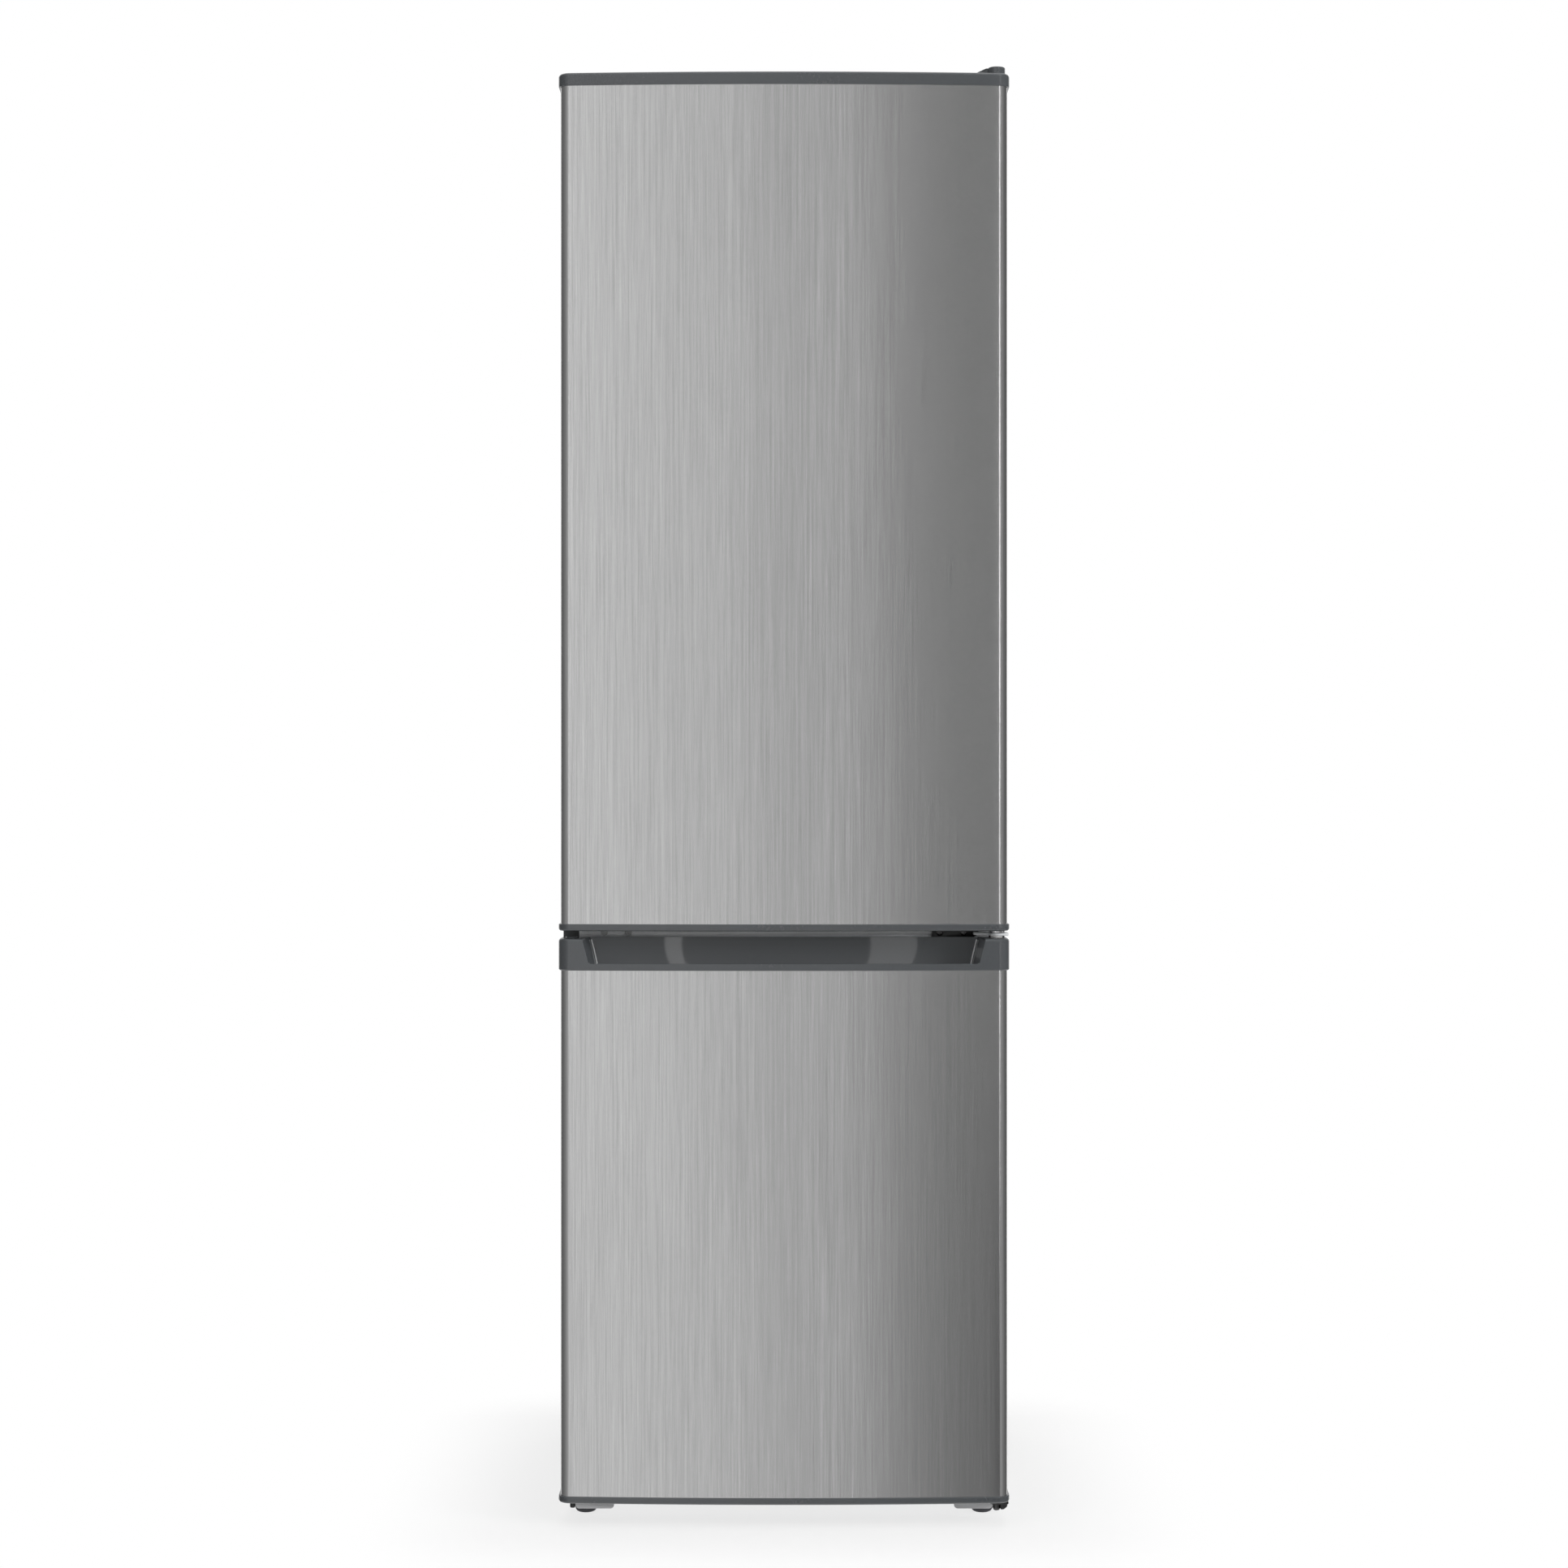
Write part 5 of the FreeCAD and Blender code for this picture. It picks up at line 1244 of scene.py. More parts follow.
@dataclass
class LowerDoor(Door):
    """Door of the freezer compartment with the scooped handle in its top cap."""
    body: str = "lower_door"
    cap_height: float = 0.039
    lip_height: float = 0.0084
    lip_depth: float = 0.013
    lip_round: float = 0.002
    back_wall: float = 0.008
    trough_depth: float = 0.026
    top_half_width: float = 0.247
    bottom_half_width: float = 0.239
    end_draft: float = 0.0085
    scoop_lean: float = 0.005
    end_fillet: float = 0.0035
    edge_round: float = 0.0007
    bead: float = 0.0008
    bead_gap: float = 0.0012
    back_points: int = 22
    pin_hole_reach: float = 0.014
    body_inset: float = 0.003
    overrun: float = 0.006
    field_half_width: float = 0.1905
    field_ends: tuple[float, float] = (0.110, 0.675)
    field_round: float = 0.006
    panel_inset: float = 0.026
    panel_depth: float = 0.001
    plug_head: float = 0.0016
    plug_stem: float = 0.006
    plug_stem_radius: float = 0.0038

    def build(self) -> None:
        """Make and dress every piece of the door."""
        self.build_skin()
        self.build_handle_cap()
        self.build_recess_highlight_beads()
        self.build_cap("lower_door_bottom_cap", self.lower_rim, self.small_rim)
        self.build_liner()
        self.build_plug()
        self.fill("lower_door_insulation")

    def build_plug(self) -> None:
        """Domed plug in the spare pin hole."""
        low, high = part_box("handle_cap_plug")
        seat = low.z + self.plug_stem
        radius = (high.x - low.x) / 2
        points = [(0, low.z), (self.plug_stem_radius, low.z), (self.plug_stem_radius, seat), (radius, seat),
                  (radius, high.z), (0, high.z)]
        radii = (0, 0.0008, 0, 0.0003, self.plug_head * 0.85, 0)
        plug = lathe("pin_hole_plug", round_corners(points, radii, 5, closed=False),
                     Vector((-self.pin_x, self.pin_y, 0)), steps=40)
        self.add(plug, RECESS_PLASTIC, "cap_plastic", "handle_cap_plug")

    def build_liner(self) -> None:
        """Moulded liner with its raised field."""
        low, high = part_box("lower_door_liner")
        face = low.y + self.liner_sheet
        half = self.field_half_width
        raised = Pocket(Axis.Y, (-half, self.field_ends[0]), (half, self.field_ends[1]), 0.018)
        far = half * 0.8
        inset, deep = self.panel_inset, high.y - self.panel_depth
        profile = [(-0.003, face), (0.0, face + 0.0005), (0.003, high.y), (inset, high.y), (inset + 0.001, deep),
                   (far, deep)]
        radii = (0, 0.002, self.field_round, 0.0004, 0.0004, 0)
        self.add(self.liner_form("lower_door_moulding", raised, far, profile, radii), LINER_PLASTIC,
                 "liner_plastic", "lower_door_liner")

    def recess_profile(self) -> Outline:
        """Side view of the recess: lip, trough, concave back wall and the open top and front.

        Returns:
            The closed outline in Y and Z.
        """
        low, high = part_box("lower_door_handle_cap")
        sill = high.z - self.cap_height + self.lip_height
        lip = low.y + self.lip_depth
        rear = high.y - self.back_wall
        floor = sill - self.trough_depth
        radius = (rear - self.scoop_lean - lip) / 2
        above = high.z + self.overrun
        ahead = low.y - self.overrun
        profile = [(ahead, above), (ahead, sill)]
        profile += arc((lip - self.lip_round, sill - self.lip_round), self.lip_round, 90, 0, 8)
        profile += arc((lip + radius, floor + radius), radius, 180, 360, 32)
        start = Vector((lip + 2 * radius, floor + radius))
        end = Vector((rear, above))
        middle = (start + end) / 2 + Vector((self.scoop_lean / 2, 0))
        steps = 16
        for step in range(1, steps + 1):
            share = step / steps
            bend = start * (1 - share) ** 2 + (middle * 2 - (start + end) / 2) * (2 * share * (1 - share))
            spot = bend + end * share ** 2
            profile.append((spot.x, spot.y))
        return profile

    def end_reach(self, y: float, z: float) -> float:
        """Half width of the recess at a point of its drafted end wall.

        Args:
            y: Depth of the point.
            z: Height of the point.

        Returns:
            How far from the middle the wall is.
        """
        low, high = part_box("lower_door_handle_cap")
        sill = high.z - self.cap_height + self.lip_height
        slope = (self.top_half_width - self.bottom_half_width) / (high.z - sill)
        depth = high.y - self.back_wall - low.y
        return self.top_half_width - slope * (high.z - z) - self.end_draft * (y - low.y) / depth

    def recess(self) -> Piece:
        """Cutter of the recess with drafted and filleted ends, already in the finish of the recess."""
        profile = self.recess_profile()
        rings = [[Vector((side * self.end_reach(y, z), y, z)) for y, z in profile] for side in (-1, 1)]
        cutter = softened(loft("recess", rings), self.end_fillet, 5, 60)
        cutter.data.materials.append(RECESS_PLASTIC.material())
        return cutter

    def build_recess_highlight_beads(self) -> None:
        """Near-white beads where the end walls of the recess meet its back wall: a painted highlight for the bright
        lines there.
        """
        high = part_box("lower_door_handle_cap")[1]
        sill = high.z - self.cap_height + self.lip_height
        top = high.z - self.bead_gap
        back = [(y, z) for y, z in self.recess_profile()[-self.back_points:] if sill - 3 * self.bead_gap < z < top]
        beads = []
        for side in (-1, 1):
            inner = [Vector((side * (self.end_reach(y, z) - self.bead), y - self.bead, z)) for y, z in back]
            # Each bead is a painted highlight along the inner edge of an end wall.
            beads.append(tube("bead", inner, self.bead, 0.0, HIGHLIGHT_BEAD_PLASTIC, 10, 1))
        self.add(joined("recess_edges", *beads), None, "cap_plastic")

    def build_handle_cap(self) -> None:
        """Moulded cap whose recess is cut into the rim and into the body inside the door."""
        node = "lower_door_handle_cap"
        low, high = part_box(node)
        plan = self.plan(node, self.cap_corner)
        under = high.z - self.cap_height
        rings = [plan.ring(low.z, self.body_inset * 2), plan.ring(under, self.body_inset * 2)]
        rings += [plan.ring(under, self.small_rim), plan.ring(under + self.small_rim, 0)]
        cap = loft(node + "_moulding", rings + plan.rim(high.z, self.rim, 1), sharp=self.cap_sharp)
        cap.data.materials.append(CAP_PLASTIC.material())
        reach = self.pin_hole_reach
        cap = carve(cap, self.recess(), *self.pin_holes(high.z - reach, high.z + reach))
        softened(cap, self.edge_round, 3, 34)
        self.add(cap, None, "cap_plastic", node)


# Cabinet

@dataclass
class Cabinet(Assembly):
    """Steel cabinet, its back and base, the strip between the doors and the foam."""
    sheet_edge: float = 0.0009
    border: float = 0.014
    groove: float = 0.005
    groove_depth: float = 0.0009
    panel_corner: float = 0.004
    strip_levels: tuple[float, float] = (0.7115, 0.7295)
    strip_fold: float = 0.0064
    step_depth: float = 0.0009
    strip_reach: float = 0.253
    plug_radius: float = 0.0044
    plug_head: float = 0.0014
    plug_stem: float = 0.0024
    stem_radius: float = 0.0024

    def build(self) -> None:
        """Make and dress every piece of the cabinet."""
        self.refine("cabinet_shell", CABINET_STEEL, "cabinet_steel", self.sheet_edge)
        self.refine("base_pan", ZINC_STEEL, "zinc_steel", self.sheet_edge / 2)
        self.build_strip()
        self.fill("cabinet_insulation")
        self.build_back_panel()
        self.build_plugs()

    def build_strip(self) -> None:
        """Steel strip between the doors, set back along its lower edge, on the rail behind it."""
        low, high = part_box("divider_strip")
        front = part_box("cabinet_shell")[0].y
        foot, top = self.strip_levels
        fold = foot + self.strip_fold
        deep = low.y + self.step_depth
        profile = [(low.y, fold), (low.y, top), (front, top), (front, foot), (deep, foot),
                   (deep, fold - self.step_depth / 2)]
        band = softened(prism("band", profile, Axis.X, -self.strip_reach, self.strip_reach), self.sheet_edge / 3)
        rail = prism("rail", [(front, low.z), (high.y, low.z), (high.y, high.z), (front, high.z)],
                     Axis.X, low.x, high.x)
        strip = joined("divider_strip_folded", band, softened(rail, self.sheet_edge / 2))
        # The strip takes the lightened finish against the shade of the gap: painted light.
        self.add(strip, STRIP_STEEL_PAINTED_LIGHT, "divider_steel", "divider_strip")

    def build_back_panel(self) -> None:
        """Back sheet with a pressed groove round its border."""
        low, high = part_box("back_panel")
        pocket = Pocket(Axis.Y, (low.x, low.z), (high.x, high.z), self.panel_corner)
        deep = high.y - self.groove_depth
        far = self.border + 3 * self.groove
        profile = [(far, low.y), (0, low.y), (0, high.y), (self.border, high.y),
                   (self.border + self.groove / 2, deep), (self.border + self.groove * 1.5, deep),
                   (self.border + self.groove * 2, high.y), (far, high.y)]
        self.add(pocket.swept("back_sheet", profile), ZINC_STEEL, "zinc_steel", "back_panel")

    def build_plugs(self) -> None:
        """Plugs in the two spare holes of the strip between the doors."""
        low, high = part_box("divider_plugs")
        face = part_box("divider_strip")[0].y
        level = (low.z + high.z) / 2
        dish = self.plug_radius * 0.62
        profile = [(0, -self.plug_stem), (self.stem_radius, -self.plug_stem), (self.stem_radius, 0),
                   (self.plug_radius, 0), (self.plug_radius, self.plug_head * 0.5),
                   (self.plug_radius * 0.86, self.plug_head), (dish, self.plug_head),
                   (dish * 0.86, self.plug_head * 0.5), (0, self.plug_head * 0.5)]
        plug = lathe("plug", profile, Vector(), steps=28)
        spots = [(Vector((x, face, level)), FORWARD)
                 for x in (low.x + self.plug_radius, high.x - self.plug_radius)]
        # The plugs take the pale finish: painted light in the shaded gap.
        self.add(copies("strip_plugs", plug, spots, PLUG_PLASTIC_PAINTED_LIGHT), None, "cap_plastic", "divider_plugs")


# Hinges

@dataclass
class Hinges(Assembly):
    """Three hinges of the right side with their washers, screws and cover, and the brackets of the feet."""
    pin_x: float = 0.260
    pin_y: float = -0.259
    pin_radius: float = 0.004
    nose_radius: float = 0.009
    plate: float = 0.003
    leaf: float = 0.0035
    lug_front: float = 0.006
    lug_back: float = 0.024
    edge: float = 0.0006
    washer_radius: float = 0.0075
    washer_hole: float = 0.00402
    middle_pin_reach: float = 0.016
    leaf_left_reach: float = 0.027
    corner_cut: float = 0.010
    cover_nose: float = 0.0105
    cover_wall: float = 0.002
    ramp_width: float = 0.013
    ramp_drop: float = 0.006
    flange_corner: float = 0.005
    flange_side: float = 0.0134
    cover_round: float = 0.0026
    boss_drop: float = 0.0066
    pin_tip: float = 0.0016
    flange_drop: float = 0.0022
    flange_width: float = 0.0479
    foot_hole: float = 0.0051
    head_radius: float = 0.0044
    head_height: float = 0.0024
    screw_length: float = 0.0052
    screw_radius: float = 0.0023
    recess_depth: float = 0.0013
    recess_reach: float = 0.0024
    recess_width: float = 0.0008
    middle_screws: tuple[float, float] = (0.192, 0.222)
    middle_screw_level: float = 0.0185
    top_screws: tuple[float, float] = (0.053, 0.071)
    foot_screws: tuple[tuple[float, float], ...] = ((0.051, 0.025), (0.031, 0.062))
    plate_gap: float = 0.020
    plate_foot: float = 0.0105
    plate_rise: float = 0.016
    bottom_leaf_reach: float = 0.012
    left_lug_width: float = 0.0066
    stop_gap: float = 0.0045
    washer_gap: float = 0.0003
    overrun: float = 0.01
    stop_slope: float = 0.004
    stop_side: float = 0.0015
    stop_rise: float = 0.003
    stop_depth: tuple[float, float] = (0.0055, 0.0015)
    stop_rounds: tuple[float, ...] = (0.001, 0.003, 0.004, 0, 0)
    boss_radius: float = 0.0048
    boss_end: float = 0.0042
    boss_bevel: float = 0.001
    cover_corner: float = 0.003

    def build(self) -> None:
        """Make and dress every piece of the hinges."""
        self.build_top()
        self.build_cover()
        self.build_middle()
        self.build_bottom("bottom_hinge_bracket", 1)
        self.build_bottom("left_foot_bracket", -1)
        self.build_washers()
        self.build_screws()

    def pin(self, low: float, high: float, finish: Finish = SCREW_STEEL) -> Piece:
        """Hinge pin with bevelled ends.

        Args:
            low: Lower end.
            high: Upper end.
            finish: Its finish.

        Returns:
            The pin.
        """
        bevel = self.edge * 1.5
        radius = self.pin_radius
        profile = [(0, low), (radius - bevel, low), (radius, low + bevel), (radius, high - bevel),
                   (radius - bevel, high), (0, high)]
        return painted(lathe("pin", profile, Vector((self.pin_x, self.pin_y, 0)), steps=32), finish)

    def leaf_sheet(self, left: float, rear: float, low: float, high: float) -> Piece:
        """Flat leaf with a round nose about the pin and a lug at its outer side.

        Args:
            left: Left side.
            rear: Rear edge.
            low: Lower face.
            high: Upper face.

        Returns:
            The leaf.
        """
        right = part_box("middle_hinge_bracket")[1].x
        nose = arc((self.pin_x, self.pin_y), self.nose_radius, 180, 286, 14)
        points = [(left, rear), (left, self.pin_y + self.lug_back - self.nose_radius)] + nose
        points += [(right, self.pin_y - self.lug_front), (right, self.pin_y + self.lug_back),
                   (self.pin_x + self.nose_radius, rear)]
        radii = [0, self.plate] + [0] * len(nose) + [self.plate / 2, self.plate, 0]
        return softened(prism("leaf", round_corners(points, radii), Axis.Z, low, high), self.edge)

    def build_top(self) -> None:
        """Bracket on the cabinet top with its pin."""
        low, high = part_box("top_hinge_bracket")
        nose = arc((self.pin_x, self.pin_y), high.x - self.pin_x, 180, 360, 16)
        outline = [(low.x, high.y)] + [(low.x, self.pin_y)] + nose + [(high.x, high.y)]
        plate = softened(prism("plate", outline, Axis.Z, high.z - self.plate, high.z), self.edge)
        bracket = joined("top_bracket", painted(plate, HINGE_STEEL), self.pin(low.z, high.z))
        self.add(bracket, None, "hinge_steel", "top_hinge_bracket")

    def build_cover(self) -> None:
        """Moulded cover over the top bracket, ramped on its left."""
        low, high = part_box("top_hinge_cover")
        foot = high.z - self.ramp_drop
        ramp_right = low.x + self.ramp_width
        nose = arc((self.pin_x, self.pin_y), self.cover_nose, 180, 360, 28)
        outline = [(low.x, high.y), (low.x, self.pin_y)] + nose + [(high.x, high.y)]
        radii = [self.cover_corner] * 2 + [0] * len(nose) + [self.cover_corner]
        cover = softened(prism("hinge_cover", round_corners(outline, radii), Axis.Z, low.z, high.z),
                         self.cover_round, 5, 40)
        slope = self.ramp_drop / self.ramp_width
        over = self.overrun
        ramp = prism("ramp", [(low.x - over, foot - over * slope), (ramp_right + over, high.z + over * slope),
                              (low.x - over, high.z + over)], Axis.Y, low.y - over, high.y + over)
        wall = self.cover_wall
        hollow = rounded_box("hollow", (low.x + wall, self.pin_y + wall, low.z - over),
                             (high.x - wall, high.y - wall, foot - wall), self.edge)
        inner_nose = arc((self.pin_x, self.pin_y), self.cover_nose - wall, 180, 360, 20)
        ahead = self.pin_y + wall
        deep = prism("hollow", [(ramp_right, high.y - wall), (ramp_right, ahead),
                                (self.pin_x - self.cover_nose + wall, ahead)] + inner_nose
                     + [(high.x - wall, high.y - wall)], Axis.Z, low.z - over, high.z - wall)
        self.add(softened(carve(cover, ramp, hollow, deep), self.edge, 2, 40), CAP_PLASTIC, "cap_plastic",
                 "top_hinge_cover")

    def build_middle(self) -> None:
        """Black plate screwed to the strip, with its leaf and the pin of both doors."""
        low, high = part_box("middle_hinge_bracket")
        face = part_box("divider_strip")[0].y
        right = self.pin_x - self.plate_gap
        bottom = low.z + self.plate_foot
        top = bottom + self.plate_rise
        leaf_low = low.z + self.middle_pin_reach
        points = [(low.x, bottom), (right - self.corner_cut, bottom), (right, leaf_low), (right, top), (low.x, top)]
        plate = prism("plate", round_corners(points, (0.002, 0.001, 0.001, 0.003, 0.002)), Axis.Y,
                      face - self.plate, face)
        leaf = self.leaf_sheet(self.pin_x - self.leaf_left_reach, face, leaf_low, leaf_low + self.leaf)
        # The leaf takes the lightened strip finish: painted light in the shaded gap.
        bracket = joined("middle_bracket", painted(softened(plate, self.edge), HINGE_STEEL),
                         painted(leaf, STRIP_STEEL_PAINTED_LIGHT), self.pin(low.z, high.z))
        self.add(bracket, None, "hinge_steel", "middle_hinge_bracket")

    def build_bottom(self, node: str, side: int) -> None:
        """Pressed bracket under a front corner with its flange and the hole of the foot.

        Args:
            node: Node of the bracket.
            side: 1 on the hinge side, -1 on the other.
        """
        low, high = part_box("left_foot_bracket")
        foot_low, foot_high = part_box("levelling_foot_right")
        stem = (foot_low + foot_high) / 2
        left, right = -high.x, -low.x
        bottom = high.z - self.plate
        outline = rounded_rectangle(left, right, low.y, high.y, 0.004)
        plate = prism("plate", outline, Axis.Z, bottom, high.z)
        cutter = rod("hole", self.foot_hole, bottom - self.overrun, high.z + self.overrun,
                     Vector((stem.x, stem.y, 0)))
        plate = softened(carve(plate, cutter), self.edge / 2)
        end = right - self.flange_side
        start = end - self.flange_width
        foot = low.z - self.flange_drop
        points = [(start, foot), (end, foot), (end, bottom + self.edge), (start, bottom + self.edge)]
        flange = softened(prism("flange", round_corners(points, (self.flange_corner, self.flange_corner, 0, 0)),
                                Axis.Y, low.y, low.y + self.plate), self.edge)
        pieces = [painted(plate, BRACKET_STEEL), painted(flange, BRACKET_STEEL)]
        if side > 0:
            pieces += self.bottom_leaf(bottom, high.z, low.y)
        else:
            lug = rounded_box("lug", (end, low.y, foot + self.edge),
                              (end + self.left_lug_width, low.y + 2 * self.plate, high.z), 0.002)
            pieces.append(painted(lug, HINGE_STEEL))
        bracket = joined(node + "_pressing", *pieces)
        if side < 0:
            other = mirrored(bracket, bracket.name + "_left")
            remove(bracket)
            bracket = other
        self.add(bracket, None, "bracket_steel", node)

    def bottom_leaf(self, bottom: float, top: float, rear: float) -> list[Piece]:
        """Leaf of the bottom hinge with its stop lug and pin.

        Args:
            bottom: Lower face of the leaf.
            top: Upper face of the leaf.
            rear: Rear edge of the leaf.

        Returns:
            The pieces.
        """
        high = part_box("bottom_hinge_bracket")[1]
        leaf = self.leaf_sheet(self.pin_x - self.bottom_leaf_reach, rear, bottom, top)
        drop = bottom - self.boss_drop
        near = self.pin_x + self.stop_gap
        far = high.x - self.stop_side
        points = [(near, drop), (near + self.stop_slope, drop), (far, bottom - self.stop_rise), (far, top),
                  (near, top)]
        lug = softened(prism("stop_lug", round_corners(points, self.stop_rounds), Axis.Y,
                             self.pin_y - self.stop_depth[0], self.pin_y + self.stop_depth[1]), self.edge)
        boss = lathe("boss", [(0, drop), (self.boss_end, drop), (self.boss_radius, drop + self.boss_bevel),
                              (self.boss_radius, bottom), (0, bottom)],
                     Vector((self.pin_x, self.pin_y, 0)), steps=32)
        return [painted(leaf, HINGE_STEEL), painted(lug, HINGE_STEEL), painted(boss, DARK_SCREW_STEEL),
                self.pin(drop - self.pin_tip, high.z, DARK_SCREW_STEEL)]

    def build_washers(self) -> None:
        """Nylon washers on the pins, and a bright one above the middle leaf."""
        leaf_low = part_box("middle_hinge_bracket")[0].z + self.middle_pin_reach
        leaf_top = leaf_low + self.leaf
        gap = self.washer_gap
        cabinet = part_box("cabinet_shell")
        lower_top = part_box("lower_door_handle_cap")[1].z
        upper_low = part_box("upper_door_bottom_cap")[0].z
        levels = ((cabinet[0].z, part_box("lower_door_bottom_cap")[0].z - gap, WASHER_PLASTIC),
                  (lower_top + gap, leaf_low, WASHER_PLASTIC), (leaf_top, upper_low - gap, SCREW_STEEL),
                  (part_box("upper_door_top_cap")[1].z + gap, cabinet[1].z, WASHER_PLASTIC))
        washers = []
        for low, high, finish in levels:
            bevel = (high - low) / 5
            profile = [(self.washer_hole, low), (self.washer_radius - bevel, low), (self.washer_radius, low + bevel),
                       (self.washer_radius, high - bevel), (self.washer_radius - bevel, high),
                       (self.washer_hole, high), (self.washer_hole, low)]
            washers.append(painted(lathe("washer", profile, Vector((self.pin_x, self.pin_y, 0))), finish))
        self.add(joined("washers", *washers), None, "washer_plastic", "hinge_washers")

    def screw(self) -> Piece:
        """Pan head screw with a cross recess, drawn about the origin with its head up."""
        radius, height = self.head_radius, self.head_height
        head = [(radius, height * 0.35), (radius * 0.93, height * 0.65), (radius * 0.7, height * 0.9),
                (radius * 0.4, height), (0, height)]
        profile = [(0, -self.screw_length), (self.screw_radius, -self.screw_length), (self.screw_radius, 0),
                   (radius, 0)] + head
        screw = lathe("screw", profile, Vector(), steps=28)
        deep = height - self.recess_depth
        cross = [prism("slot", rounded_rectangle(-along, along, -across, across, across * 0.4, 2), Axis.Z,
                       deep, height * 2)
                 for along, across in ((self.recess_reach, self.recess_width),
                                       (self.recess_width, self.recess_reach))]
        return carve(screw, *cross)

    def build_screws(self) -> None:
        """Screws of the three brackets on the right and of the bracket on the left."""
        cabinet_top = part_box("cabinet_shell")[1].z + self.plate
        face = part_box("divider_strip")[0].y - self.plate
        strip_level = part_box("middle_hinge_bracket")[0].z + self.middle_screw_level
        dark = [(Vector((x, face, strip_level)), FORWARD) for x in self.middle_screws]
        bright = [(Vector((self.pin_x, self.pin_y + y, cabinet_top)), UP) for y in self.top_screws]
        low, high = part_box("left_foot_bracket")
        for inward, backward in self.foot_screws:
            for side in (1, -1):
                spot = Vector((side * (-low.x - inward), low.y + backward, high.z - self.plate))
                bright.append((spot, DOWN))
        screws = joined("screws", copies("strip_screws", self.screw(), dark, DARK_SCREW_STEEL),
                        copies("bracket_screws", self.screw(), bright, SCREW_STEEL))
        self.add(screws, None, "screw_steel", "hinge_screws")


@dataclass
class Foot(Assembly):
    """Levelling foot that turns on its stem."""
    side: str = "right"
    disc_height: float = 0.007
    collar_radius: float = 0.008
    collar_top: float = 0.011
    stem_radius: float = 0.005
    edge: float = 0.0012
    lower_round: float = 0.0055

    def build(self) -> None:
        """Turned foot in one piece."""
        node = "levelling_foot_" + self.side
        low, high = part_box(node)
        centre = (low + high) / 2
        radius = (high.x - low.x) / 2
        points = [(0, low.z), (radius, low.z), (radius, low.z + self.disc_height),
                  (self.collar_radius, self.collar_top), (self.stem_radius, self.collar_top),
                  (self.stem_radius, high.z), (0, high.z)]
        radii = (0, self.lower_round, self.edge, self.edge, self.edge / 2, self.edge / 2, 0)
        foot = lathe(node + "_turned", round_corners(points, radii, 6, closed=False),
                     Vector((centre.x, centre.y, 0)), steps=64)
        self.add(foot, FOOT_PLASTIC, "foot_plastic", node, body=node)


@dataclass
class Roller(Assembly):
    """Rear roller on its axle."""
    side: str = "right"
    bore: float = 0.00405
    hub: float = 0.008
    dish: float = 0.002
    tread_round: float = 0.003

    def build(self) -> None:
        """Turned wheel with dished sides."""
        node = "roller_" + self.side
        low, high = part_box(node)
        centre = (low + high) / 2
        radius = centre.z
        rim = radius * 0.8
        start, end = low.x, high.x
        points = [(self.bore, start), (self.hub, start), (self.hub, start + self.dish), (rim, start + self.dish),
                  (rim, start), (radius, start), (radius, end), (rim, end), (rim, end - self.dish),
                  (self.hub, end - self.dish), (self.hub, end), (self.bore, end)]
        small = self.dish / 4
        radii = [small] * 5 + [self.tread_round] * 2 + [small] * 5
        profile = round_corners(points, radii, 3)
        wheel = lathe(node + "_turned", profile + profile[:1], Vector((0, centre.y, centre.z)), Axis.X, 56)
        self.add(wheel, FOOT_PLASTIC, "foot_plastic", node, body=node)


# Machine bay and back

